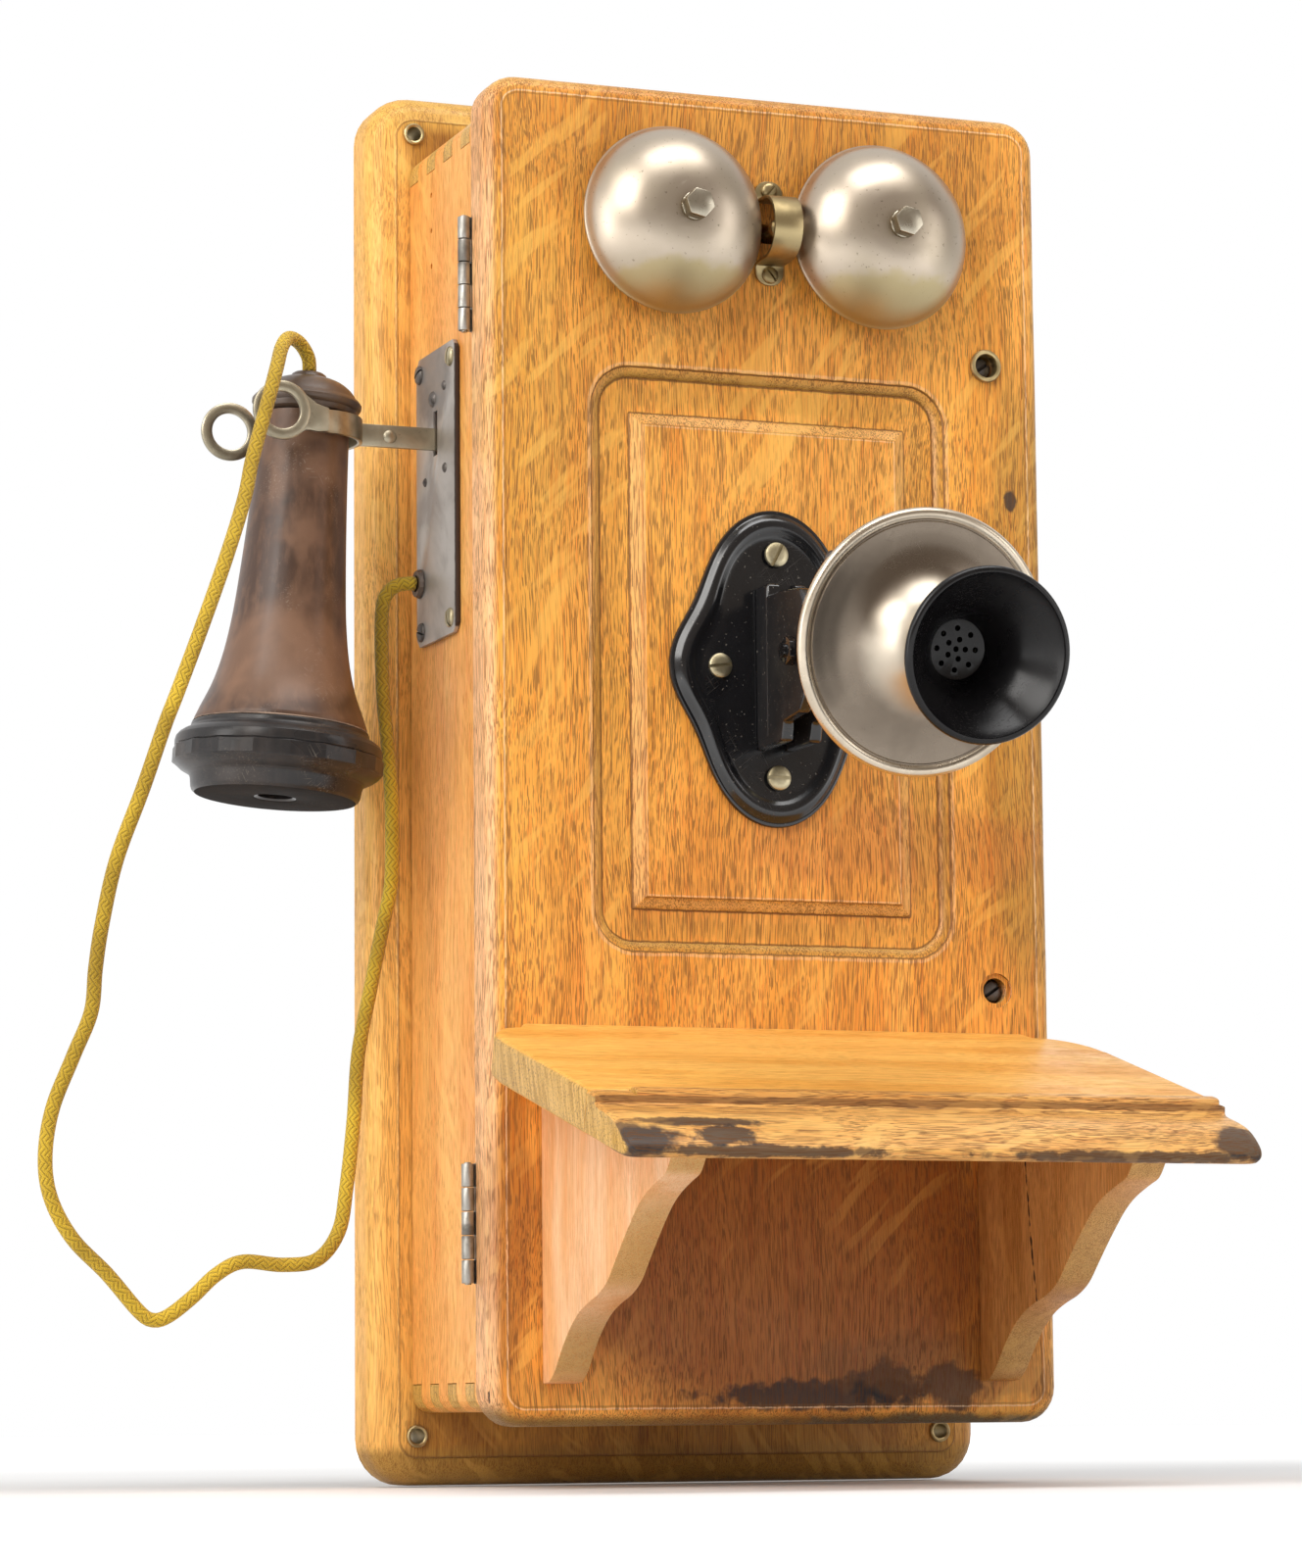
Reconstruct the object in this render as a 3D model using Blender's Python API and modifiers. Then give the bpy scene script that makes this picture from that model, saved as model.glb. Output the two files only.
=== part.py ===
# Hand crank wall telephone: oak case, gongs, transmitter, receiver on its hook, shelf and magneto.
# Metres, +Z up, the front faces -Y, the wall is the plane y = 0.
import math

import bmesh
import bpy
from mathutils import Matrix, Vector

MM = 0.001

# Fits that the whole object shares
SEAT = 0.3 * MM
RUN = 0.15 * MM
OVER = 1.0 * MM
BURY = 0.5 * MM
THIN = 0.01 * MM
AXIS = 0.0

# Case box
CASE_HALF = 100.4 * MM
CASE_TOP = 222.0 * MM
CASE_BOTTOM = -222.0 * MM
CASE_FRONT = -96.2 * MM
WALL = 9.5 * MM
CASE_CORNER = 6.0 * MM
FINGERS = 8
PIN_HOLES = 3
PIN_HOLE_Y = -45.0 * MM
PIN_HOLE_Z = 203.8 * MM
PIN_HOLE_STEP = 12.8 * MM
PIN_HOLE_R = 1.0 * MM
PIN_HOLE_DEEP = 6.0 * MM
INNER_SHELF_Z = -90.3 * MM
INNER_SHELF_T = 8.0 * MM
INNER_SHELF_BACK = 10.2 * MM
CASE_INNER = CASE_HALF - WALL

# Backboard and its eyelets
BACK_MARGIN = 14.6 * MM
BACK_PAST_CASE = 25.0 * MM
BACK_T = 20.8 * MM
BACK_ROUND = 8.5 * MM
BACK_CORNER = 16.0 * MM
BACK_HALF = CASE_HALF + BACK_MARGIN
BACK_END = CASE_TOP + BACK_PAST_CASE
CASE_REAR = -(BACK_T + SEAT)
FINGER = (CASE_REAR - CASE_FRONT) / FINGERS
EYELET_IN = 16.0 * MM
EYELET_BELOW_TOP = 15.0 * MM
EYELET_ABOVE_BOTTOM = 17.0 * MM
EYELET_FLANGE_R = 3.95 * MM
EYELET_TUBE_R = 3.3 * MM
EYELET_BORE_R = 2.6 * MM
EYELET_FLANGE_T = 1.2 * MM
EYELET_X = BACK_HALF - EYELET_IN
EYELET_TOP = BACK_END - EYELET_BELOW_TOP
EYELET_BOTTOM = EYELET_ABOVE_BOTTOM - BACK_END

# Door and its routed panel
DOOR_T = 15.8 * MM
DOOR_PAST_SIDE = 2.9 * MM
DOOR_PAST_TOP = 9.0 * MM
DOOR_PAST_BOTTOM = 5.0 * MM
DOOR_ROUND = 5.6 * MM
DOOR_CORNER = 12.0 * MM
DOOR_REAR = CASE_FRONT - SEAT
DOOR_FRONT = DOOR_REAR - DOOR_T
DOOR_FACE = DOOR_FRONT - SEAT
DOOR_HALF = CASE_HALF + DOOR_PAST_SIDE
DOOR_TOP = CASE_TOP + DOOR_PAST_TOP
DOOR_BOTTOM = CASE_BOTTOM - DOOR_PAST_BOTTOM
PANEL_HALF = 65.8 * MM
PANEL_TOP = 132.0 * MM
PANEL_BOTTOM = -68.8 * MM
PANEL_CORNER = 14.5 * MM
PANEL_DEPTH = 2.6 * MM
FIELD_IN = 14.6 * MM
FIELD_TOP_IN = 15.8 * MM
FIELD_BEVEL = 4.2 * MM

# Lock screws in the door's right edge
LOCK_IN = 21.3 * MM
LOCK_UPPER_Z = 141.0 * MM
LOCK_LOWER_Z = -79.0 * MM
LOCK_MOUTH_R = 6.0 * MM
LOCK_SEAT_R = 4.4 * MM
LOCK_SHANK_R = 2.2 * MM
LOCK_HEAD_R = 3.6 * MM
LOCK_HEAD_T = 2.2 * MM
LOCK_DEPTH = 8.0 * MM
LOCK_SINK = 1.2 * MM
LOCK_X = DOOR_HALF - LOCK_IN
RING_INNER_R = 3.6 * MM
RING_TUBE_T = 0.5 * MM
RING_TUBE_DEEP = 3.0 * MM
RING_OUTER_R = 6.0 * MM
RING_T = 1.3 * MM
RING_EDGE = 0.7 * MM

# Slotted screw heads
SLOT_HALF_W = 0.45 * MM
HEAD_CROWN = 0.7
HEAD_EDGE = 0.3
SLOT_DEEP = 0.55

# Hinges on the left edge of the door
KNUCKLE_R = 2.15 * MM
KNUCKLE_BORE_R = 1.3 * MM
HINGE_PIN_R = 1.0 * MM
HINGE_LEN = 40.0 * MM
HINGE_UPPER = 163.5 * MM
HINGE_LOWER = -159.7 * MM
KNUCKLES = 5
LEAF_T = 1.0 * MM
LEAF_REACH = 7.4 * MM
HINGE_X = -(DOOR_HALF + SEAT + KNUCKLE_R)
HINGE_Y = (CASE_FRONT + DOOR_REAR) / 2
LEAF_INNER_X = LEAF_REACH - CASE_HALF
LEAF_OUTER_X = HINGE_X + KNUCKLE_R + SEAT

# Gongs and their posts
GONG_X = 38.5 * MM
GONG_Z = 182.0 * MM
GONG_R = 32.7 * MM
GONG_CLEAR = 8.2 * MM
GONG_DEEP = 20.5 * MM
GONG_T = 1.5 * MM
GONG_FULLNESS = 0.82
GONG_BORE_R = 3.2 * MM
GONG_SCREW_R = 2.6 * MM
GONG_RIM_Y = DOOR_FRONT - GONG_CLEAR
GONG_TOP_Y = GONG_RIM_Y - GONG_DEEP
POST_R = 4.2 * MM
POST_FOOT_R = 7.8 * MM
POST_FOOT_T = 2.0 * MM
POST_FOOT_H = 6.0 * MM
POST_SCREW_IN = 3.0 * MM
HEX_R = 5.4 * MM
HEX_TOP_R = 5.1 * MM
HEX_T = 5.5 * MM
HEX_TURN = 0.3

# Hood over the striker
HOOD_HALF = 5.2 * MM
HOOD_STAND = 9.6 * MM
HOOD_SPAN = 11.0 * MM
HOOD_SQUASH = 0.9
HOOD_T = 1.2 * MM
HOOD_FLANGE = 7.5 * MM
HOOD_SCREW_R = 3.0 * MM
HOOD_SCREW_T = 1.6 * MM
HOOD_SHANK_R = 1.2 * MM
STRIKER_SLOT_HALF_W = 4.2 * MM
STRIKER_SLOT_HALF_H = 3.4 * MM

# Striker that swings on the ringer's pin
CLAP_DROP = 30.0 * MM
CLAP_BEHIND = 18.5 * MM
CLAP_PAST_RIM = 0.5 * MM
CLAP_BALL_R = 3.3 * MM
CLAP_ROD_R = 1.2 * MM
CLAP_REACH_R = 1.18 * MM
CLAP_HUB_R = 4.0 * MM
CLAP_HUB_HALF = 5.0 * MM
CLAP_BAR_HALF = 24.0 * MM
CLAP_BAR_DEEP = 4.5 * MM
CLAP_BAR_T = 4.0 * MM
CLAP_BAR_DROP = 2.5 * MM
CLAP_PIN_R = 1.5 * MM
CLAP_PIN_PAST = 2.0 * MM
CLAP_PIVOT_Z = GONG_Z - CLAP_DROP
CLAP_Y = DOOR_REAR + CLAP_BEHIND
CLAP_BALL_Y = GONG_RIM_Y - CLAP_PAST_RIM

# Ringer: coils on a yoke, behind a plate on the door
COIL_X = 16.0 * MM
COIL_R = 11.0 * MM
COIL_CORE_R = 4.0 * MM
COIL_CORE_OUT = 4.0 * MM
COIL_LEN = 48.0 * MM
COIL_GAP = 14.0 * MM
FLANGE_OUT = 1.0 * MM
FLANGE_T = 2.0 * MM
RINGER_HALF = 30.0 * MM
RINGER_T = 3.0 * MM
RINGER_ABOVE = 8.0 * MM
YOKE_T = 4.0 * MM
MAGNET_HALF = 8.0 * MM
MAGNET_T = 5.7 * MM
MAGNET_ABOVE = 5.0 * MM
MAGNET_EDGE = 1.0 * MM
COIL_TOP = CLAP_PIVOT_Z - COIL_GAP
COIL_FOOT = COIL_TOP - COIL_LEN
RINGER_Y0 = DOOR_REAR + SEAT
RINGER_Y1 = RINGER_Y0 + RINGER_T
YOKE_Y = CLAP_Y + COIL_R + FLANGE_OUT
YOKE_Z = COIL_FOOT - SEAT - YOKE_T

# Transmitter's cover plate, ears and tilting bolt
PLATE_Z = 29.5 * MM
PLATE_T = 4.0 * MM
PLATE_MEAN_R = 42.7 * MM
PLATE_TALLER = 8.15 * MM
PLATE_LOBED = 4.05 * MM
PLATE_EDGE = 1.6 * MM
LOBE_POINTS = 36
PLATE_SCREW_X = 20.5 * MM
PLATE_SCREW_UP = 39.1 * MM
PLATE_SCREW_DOWN = 38.1 * MM
PLATE_SCREW_R = 3.9 * MM
PLATE_SCREW_T = 2.2 * MM
PLATE_SHANK_R = 2.0 * MM
PIVOT_OUT = 36.7 * MM
PIVOT_ABOVE = 0.5 * MM
EAR_R = 8.0 * MM
EAR_T = 4.4 * MM
EAR_UP = 27.5 * MM
EAR_DOWN = 26.5 * MM
EAR_FOOT = 5.0 * MM
EAR_ARC = math.radians(75.0)
TONGUE_HALF = 2.7 * MM
BOLT_R = 2.5 * MM
BOLT_HEAD_R = 5.4 * MM
BOLT_HEAD_TOP_R = 4.4 * MM
BOLT_HEAD_T = 3.6 * MM
BOLT_PAST_NUT = 1.3 * MM
NUT_R = 5.0 * MM
NUT_T = 3.2 * MM
PLATE_FRONT = DOOR_FACE - PLATE_T
PIVOT_Y = DOOR_FRONT - PIVOT_OUT
PIVOT_Z = PLATE_Z + PIVOT_ABOVE
EAR_OUT = TONGUE_HALF + SEAT + EAR_T

# Transmitter head: distances run out along its sound axis from the bolt
TILT = math.radians(13.17)
FACE_S = 89.3 * MM
FACE_UP = 10.1 * MM
FACE_R = 43.2 * MM
FACE_T = 1.4 * MM
FACE_FLAT = 1.2 * MM
FACE_ROLL = 4.0 * MM
FACE_SKIRT = 3.0 * MM
FACE_SEAT_IN = 8.0 * MM
NECK_R = 12.4 * MM
NECK_S = 23.0 * MM
NECK_BORE_DEEP = 8.0 * MM
HORN_FOOT_R = 29.0 * MM
HORN_WAIST_R = 16.8 * MM
HORN_WAIST_S = 6.4 * MM
HORN_BACK_R = 24.0 * MM
HORN_POWER = 2.8
CUP_DEEP = 25.0 * MM
CUP_WALL = 3.0 * MM
CUP_RIM_IN = 2.6 * MM
CUP_SHOULDER_IN = 4.2 * MM
CUP_SHOULDER = 8.0 * MM
CUP_WAIST_R = 31.0 * MM
CUP_WAIST = 18.0 * MM
CUP_FLOOR_R = 24.0 * MM
CUP_BORE_IN = 7.4 * MM
TONGUE_EDGE = 1.0 * MM
TONGUE_ARC = math.radians(80.0)
TONGUE_NECK = 6.0 * MM
TONGUE_NECK_UP = 7.0 * MM
TONGUE_NECK_DOWN = 6.0 * MM
TONGUE_UP = 13.0 * MM
TONGUE_DOWN = 11.0 * MM
MOUTH_LEN = 50.5 * MM
MOUTH_R = 27.9 * MM
MOUTH_ROLL = 2.2 * MM
MOUTH_ROLL_T = 1.6 * MM
MOUTH_FOOT_OUT = 0.3 * MM
MOUTH_OUT_POWER = 1.7
MOUTH_IN_POWER = 1.35
THROAT_R = 9.4 * MM
GRILLE_T = 1.6 * MM
GRILLE_HOLE_R = 0.85 * MM
GRILLE_RINGS = ((1, 0.0), (5, 3.2 * MM), (8, 6.6 * MM))
CAPSULE_R = 17.0 * MM
CAPSULE_TOP_R = 15.0 * MM
CAPSULE_STEP = 4.7 * MM
CAPSULE_LEN = 8.7 * MM
DIAPHRAGM_T = 0.6 * MM
DIAPHRAGM_S = 6.2 * MM
CUP_BACK = FACE_S - CUP_DEEP

# Shelf, its moulded front strip and its brackets
SHELF_Z = -94.0 * MM
SHELF_SLOPE = math.radians(15.0)
SHELF_T = 14.5 * MM
SHELF_PAST_DOOR = 6.7 * MM
SHELF_DEEP = 150.0 * MM
SHELF_EDGE = 2.4 * MM
SHELF_TAPER = 1.0 * MM
SHELF_TAPER_AT = 31.0 * MM
HOLLOW_AT = 28.0 * MM
HOLLOW_DEEP = 22.96 * MM
HOLLOW_IN = 15.75 * MM
HOLLOW_STEP = 0.6 * MM
SHELF_REAR_IN = 19.0 * MM
STRIP_DEEP = 38.0 * MM
STRIP_SHORT = 1.0 * MM
STRIP_EDGE = 1.6 * MM
BEAD_DEEP = 8.2 * MM
BEAD_H = 1.5 * MM
COVE_DEEP = 16.5 * MM
COVE_H = 1.6 * MM
NOSE_H = 9.4 * MM
NOSE_UNDER = 5.5 * MM
BRACKET_IN = 29.8 * MM
BRACKET_T = 12.0 * MM
BRACKET_REACH = 122.0 * MM
BRACKET_DROP = 119.0 * MM
BRACKET_NOSE = 3.6 * MM
BRACKET_CHIN = 4.8 * MM
BRACKET_FOOT = 5.9 * MM
WAVE_H = 3.4 * MM
WAVE_MEAN = 1.4 * MM
WAVES = 1.87
WAVE_START = 0.48
SHELF_HALF = DOOR_HALF + SHELF_PAST_DOOR
STRIP_AT = SHELF_DEEP - STRIP_DEEP
BRACKET_INNER = DOOR_HALF - BRACKET_IN

# Hook switch: side plate, cord hole, forked lever and the works inside
HOOK_Y = -54.0 * MM
HOOK_Z = 114.2 * MM
HOOK_PIVOT_IN = 7.9 * MM
STRAP_H = 8.2 * MM
STRAP_T = 1.8 * MM
FLARE = 2.3 * MM
FORK_OUT = 48.6 * MM
FORK_R = 17.5 * MM
FORK_CORNER = 4.0 * MM
RING_R = 10.2 * MM
RING_BORE_R = 6.1 * MM
RING_THICKER = 1.1
RING_FRONT_OUT = 15.0 * MM
RING_REAR_OUT = 21.5 * MM
RING_UP = 2.4 * MM
RING_LAP = 0.8
ARM_SLIMMER = 0.96
HUB_R = 5.0 * MM
HUB_HALF = 4.0 * MM
HOOK_PIN_R = 2.0 * MM
TAIL = 10.5 * MM
SIDE_T = 1.5 * MM
SIDE_REAR = 20.8 * MM
SIDE_FRONT = 22.0 * MM
SIDE_UP = 31.8 * MM
SIDE_DOWN = 70.7 * MM
SIDE_CLIP = 3.0 * MM
SIDE_SCREW_IN = 5.4 * MM
SIDE_SCREW_R = 3.4 * MM
SIDE_SCREW_T = 1.6 * MM
SIDE_SHANK_R = 1.5 * MM
RIVET_R = 1.8 * MM
RIVET_TOP_R = 1.0 * MM
RIVET_T = 0.9 * MM
RIVET_Y = 10.4 * MM
RIVET_UP = 16.6 * MM
RIVET_DOWN = 13.0 * MM
SLOT_HALF = 2.2 * MM
SLOT_BELOW = 1.5 * MM
SLOT_ABOVE = 6.0 * MM
CORD_HOLE_BACK = 17.1 * MM
CORD_HOLE_DOWN = 48.2 * MM
BUSH_R = 4.0 * MM
BUSH_BORE_R = 3.0 * MM
BUSH_FLANGE_R = 5.2 * MM
BUSH_TOP_R = 4.6 * MM
BUSH_T = 1.4 * MM
HOOK_BASE_T = 2.0 * MM
HOOK_BASE_HALF = 12.0 * MM
HOOK_BASE_DOWN = 32.2 * MM
HOOK_BASE_UP = 27.8 * MM
HOOK_EAR_T = 2.5 * MM
HOOK_EAR_HALF_H = 7.0 * MM
HOOK_EAR_PAST = 6.0 * MM
STACK_REACH = 26.0 * MM
STACK_HALF = 8.0 * MM
STACK_DOWN = 30.2 * MM
STACK_H = 10.0 * MM
SPRINGS = 3
SPRING_AT = 13.2 * MM
SPRING_STEP = 4.0 * MM
SPRING_T = 0.5 * MM
SPRING_HALF = 3.0 * MM
SPRING_UP = 7.8 * MM
SPRING_RISE = 2.0 * MM
HOOK_PIVOT_X = HOOK_PIVOT_IN - CASE_INNER
FORK_X = -(CASE_HALF + FORK_OUT)
RING_Z = HOOK_Z + RING_UP
SLOT_Z0 = HOOK_Z - STRAP_H / 2 - SLOT_BELOW
SLOT_Z1 = HOOK_Z + STRAP_H / 2 + SLOT_ABOVE
CORD_HOLE_Y = HOOK_Y + CORD_HOLE_BACK
CORD_HOLE_Z = HOOK_Z - CORD_HOLE_DOWN
SIDE_FACE = -(CASE_HALF + SEAT + SIDE_T)

# Receiver: radii and heights up its own axis, which leans a little
REC_PAST_FORK = 11.2 * MM
REC_DOWN = 128.2 * MM
REC_LEAN = math.radians(4.7)
REC_CAP_R = 35.6 * MM
REC_CAP_H = 24.0 * MM
CAP_BORE_R = 27.6 * MM
CAP_TOP_R = 30.2 * MM
CAP_SHOULDER_R = 33.4 * MM
CAP_SHOULDER = 3.6 * MM
CAP_BEAD_TOP = 17.4 * MM
CAP_BEAD_FOOT = 9.6 * MM
CAP_NECK_R = 29.4 * MM
CAP_NECK_H = 5.6 * MM
CAP_FOOT_R = 26.8 * MM
CAP_FLOOR_T = 4.6 * MM
CAP_EAR_R = 9.0 * MM
CAP_EAR_BORE_R = 6.0 * MM
CAP_EAR_EDGE = 0.8 * MM
CAP_EAR_BACK_R = 8.0 * MM
REC_TOP_H = 149.0 * MM
REC_DOME_RISE = 14.1 * MM
REC_DOME_R = 18.9 * MM
REC_DOME_FOOT_R = 18.3 * MM
DOME_CURVE_H = 11.0 * MM
DOME_FOOT_H = 12.6 * MM
DOME_BOSS_R = 6.4 * MM
DOME_BOSS_TOP_R = 5.0 * MM
DOME_BORE_R = 3.0 * MM
DOME_LIP_R = 14.0 * MM
DOME_LIP = 1.4 * MM
SHELL_TOP_R = 15.2 * MM
SHELL_TAPER = 4.6 * MM
SHELL_FLARE = 9.8 * MM
SHELL_POWER = 5
SHELL_BORE_R = 25.0 * MM
SHELL_SEAT_H = 4.0 * MM
SHELL_WAIST_R = 14.0 * MM
SHELL_WAIST_H = 41.7 * MM
SHELL_NECK_R = 11.4 * MM
REC_MAGNET_R = 8.0 * MM
REC_MAGNET_BELOW = 16.9 * MM
REC_POLE_R = 11.0 * MM
REC_POLE_H = 15.7 * MM
REC_DISC_T = 3.4 * MM
CORD_R = 2.45 * MM
REC_DOME_H = REC_TOP_H - REC_DOME_RISE
REC_BASE = Vector((FORK_X - REC_PAST_FORK, HOOK_Y, HOOK_Z - REC_DOWN))
SHELL_FOOT_H = REC_CAP_H + SEAT
SHELL_TOP_H = REC_DOME_H - SEAT - DOME_LIP

# Crank: bushing, shaft, arm and knob
CRANK_Y = -56.0 * MM
CRANK_Z = 6.0 * MM
CRANK_LEN = 44.0 * MM
SHAFT_R = 5.0 * MM
CRANK_BUSH_R = 7.7 * MM
CRANK_FLANGE_R = 12.0 * MM
CRANK_FLANGE_TOP_R = 10.0 * MM
CRANK_FLANGE_T = 2.2 * MM
CRANK_FLANGE_EDGE = 1.2 * MM
CRANK_BUSH_IN = 2.0 * MM
ARM_T = 3.6 * MM
ARM_FOOT_R = 9.0 * MM
ARM_EYE_R = 6.5 * MM
CRANK_HUB_R = 8.1 * MM
CRANK_HUB_OUT = 2.0 * MM
CRANK_HUB_CAP = 1.0 * MM
KNOB_LEN = 17.0 * MM
KNOB_R = 8.0 * MM
KNOB_TOP_R = 4.6 * MM
KNOB_SHOULDER_R = 6.8 * MM
KNOB_SHOULDER = 1.4 * MM
KNOB_WIDEST = 5.0 * MM
KNOB_BELLY_R = 7.2 * MM
KNOB_BELLY_H = 8.0 * MM
KNOB_WAIST_R = 5.2 * MM
KNOB_WAIST_H = 4.0 * MM
KNOB_FOOT_R = 5.8 * MM
KNOB_FOOT_H = 1.2 * MM
KNOB_PIN_R = 2.2 * MM
KNOB_PIN_HEAD_R = 3.6 * MM
KNOB_PIN_HEAD_TOP_R = 2.8 * MM
KNOB_PIN_PAST = 1.6 * MM
HUB_X0 = CASE_HALF + CRANK_FLANGE_T + 3 * SEAT
ARM_X = BACK_HALF + 2 * SEAT
HUB_X1 = ARM_X + ARM_T + CRANK_HUB_OUT
SHAFT_X1 = HUB_X1 - CRANK_HUB_CAP - SEAT
KNOB_Z = CRANK_Z + CRANK_LEN
KNOB_X0 = ARM_X + ARM_T + SEAT
KNOB_X1 = KNOB_X0 + KNOB_LEN

# Magneto: gears, end plates, pole pieces, horseshoe magnets and armature
GEAR_TEETH = 40
PINION_TEETH = 10
MODULE = 1.5 * MM
MESH_PLAY = 0.25 * MM
TOOTH_ROOT = 1.22
TOOTH_TIP = 0.92
TOOTH_ROOT_SHARE = 0.34
TOOTH_TIP_SHARE = 0.11
GEAR_IN = 10.4 * MM
GEAR_T = 5.0 * MM
PINION_WIDER = 1.0 * MM
END_T = 3.0 * MM
END_GAP = 18.5 * MM
END_LEFT = -26.0 * MM
END_HALF = 27.0 * MM
END_ABOVE_CRANK = 12.0 * MM
END_ABOVE_ARMATURE = 20.0 * MM
POLE_NEAR = 9.0 * MM
POLE_FAR = 24.0 * MM
POLE_HALF_H = 14.0 * MM
ARMATURE_R = 16.0 * MM
ARMATURE_AIR = 0.6 * MM
ARMATURE_SHAFT_R = 3.0 * MM
ARMATURE_PAST = 4.0 * MM
ARMATURE_IN = 2.0 * MM
SHOE_T = 6.7 * MM
MAGNETS = 3
GROOVE_DEEP = 1.7 * MM
GEAR_X = CASE_INNER - GEAR_IN
END_RIGHT = GEAR_X - END_GAP
SHAFT_IN = END_RIGHT - END_T
FOOT_Z = INNER_SHELF_Z + SEAT
ARMATURE_Z = CRANK_Z - MODULE * (GEAR_TEETH + PINION_TEETH) / 2 - MESH_PLAY

# Induction coil and terminal strip
IND_X = -30.0 * MM
IND_Z = -130.0 * MM
IND_R = 13.0 * MM
IND_HALF = 40.0 * MM
IND_CORE_R = 5.0 * MM
IND_CORE_OUT = 4.0 * MM
IND_FLANGE_OUT = 2.0 * MM
IND_FLANGE_T = 4.0 * MM
STRIP_X = 50.0 * MM
STRIP_Z = -181.0 * MM
STRIP_HALF = 30.0 * MM
STRIP_HALF_H = 9.0 * MM
STRIP_T = 9.7 * MM
POSTS = 4
POST_STEP = 15.3 * MM
POST_NUT_R = 4.2 * MM
POST_NUT_T = 5.0 * MM
POST_STUD_R = 2.0 * MM
POST_STUD_LEN = 8.0 * MM

for old in list(bpy.data.objects):
    bpy.data.objects.remove(old)

PART = bpy.data.collections.new("hand_crank_telephone")
CUTTERS = bpy.data.collections.new("cutters")
bpy.context.scene.collection.children.link(PART)
bpy.context.scene.collection.children.link(CUTTERS)

# Looks: colour, metallic and roughness
LOOKS = {
    "oak": ((0.60, 0.33, 0.11), 0.0, 0.45),
    "oak_end": ((0.55, 0.38, 0.18), 0.0, 0.5),
    "japan": ((0.012, 0.012, 0.014), 0.0, 0.18),
    "nickel": ((0.62, 0.59, 0.54), 1.0, 0.3),
    "brass": ((0.60, 0.47, 0.24), 1.0, 0.35),
    "iron": ((0.07, 0.065, 0.065), 0.8, 0.5),
    "steel": ((0.42, 0.40, 0.37), 1.0, 0.4),
    "ebonite": ((0.10, 0.045, 0.025), 0.0, 0.4),
    "black": ((0.01, 0.01, 0.01), 0.0, 0.25),
    "paper": ((0.25, 0.08, 0.05), 0.0, 0.7),
    "cotton": ((0.50, 0.34, 0.03), 0.0, 0.9),
}


def dress(obj, look):
    colour, metal, rough = LOOKS[look]
    mat = bpy.data.materials.new(obj.name + "_" + look)
    mat.use_nodes = True
    shader = mat.node_tree.nodes["Principled BSDF"]
    shader.inputs["Base Color"].default_value = (*colour, 1.0)
    shader.inputs["Metallic"].default_value = metal
    shader.inputs["Roughness"].default_value = rough
    obj.data.materials.clear()
    obj.data.materials.append(mat)


# With a look the mesh is a part, without one it is a cutter
def add(name, mesh, look=None):
    obj = bpy.data.objects.new(name, mesh)
    if look:
        PART.objects.link(obj)
        dress(obj, look)
    else:
        CUTTERS.objects.link(obj)
        obj.hide_render = True
        obj.display_type = "WIRE"
    return obj


def from_bm(name, bm, look=None):
    mesh = bpy.data.meshes.new(name)
    bmesh.ops.recalc_face_normals(bm, faces=bm.faces)
    bm.to_mesh(mesh)
    bm.free()
    return add(name, mesh, look)


# Boxes and rods are added to a bmesh, so one cutter can hold several
def put_box(bm, lo, hi, place=None):
    lo = Vector(lo)
    hi = Vector(hi)
    size = hi - lo
    shape = Matrix.Translation((lo + hi) / 2) @ Matrix.Diagonal((abs(size.x), abs(size.y), abs(size.z), 1.0))
    made = bmesh.ops.create_cube(bm, size=1.0, matrix=(place @ shape) if place else shape)
    return made["verts"]


def put_rod(bm, start, end, r0, r1=None, sides=16, spin=0.0):
    start = Vector(start)
    end = Vector(end)
    span = end - start
    turn = span.to_track_quat("Z", "Y").to_matrix().to_4x4()
    place = Matrix.Translation((start + end) / 2) @ turn @ Matrix.Rotation(spin, 4, "Z")
    bmesh.ops.create_cone(bm, cap_ends=True, cap_tris=False, segments=sides, radius1=r0,
                          radius2=r0 if r1 is None else r1, depth=span.length, matrix=place)


def put_ball(bm, at, radius, sides=12):
    bmesh.ops.create_uvsphere(bm, u_segments=sides, v_segments=sides // 2, radius=radius,
                              matrix=Matrix.Translation(at))


def box(name, lo, hi, look=None):
    bm = bmesh.new()
    put_box(bm, lo, hi)
    return from_bm(name, bm, look)


def rod(name, start, end, r0, look=None, r1=None, sides=16, spin=0.0):
    bm = bmesh.new()
    put_rod(bm, start, end, r0, r1, sides, spin)
    obj = from_bm(name, bm, look)
    if look:
        round_shade(obj)
    return obj


def round_shade(obj, angle=35.0):
    obj.data.shade_smooth()
    obj.data.set_sharp_from_angle(angle=math.radians(angle))


def soften(obj, width, steps=2, angle=40.0):
    mod = obj.modifiers.new("edge", "BEVEL")
    mod.width = width
    mod.segments = steps
    mod.limit_method = "ANGLE"
    mod.angle_limit = math.radians(angle)


# Only the edge loop of a board's front face is rounded: a weight marks it
def round_front(obj, front_y, width, steps=3):
    bm = bmesh.new()
    bm.from_mesh(obj.data)
    mark = bm.edges.layers.float.new("bevel_weight_edge")
    for edge in bm.edges:
        on_front = all(abs(vert.co.y - front_y) < THIN for vert in edge.verts)
        if on_front and len(edge.link_faces) == 2 and edge.calc_face_angle(0.0) > 1.0:
            edge[mark] = 1.0
    bm.to_mesh(obj.data)
    bm.free()
    mod = obj.modifiers.new("front_edge", "BEVEL")
    mod.width = width
    mod.segments = steps
    mod.limit_method = "WEIGHT"


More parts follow.
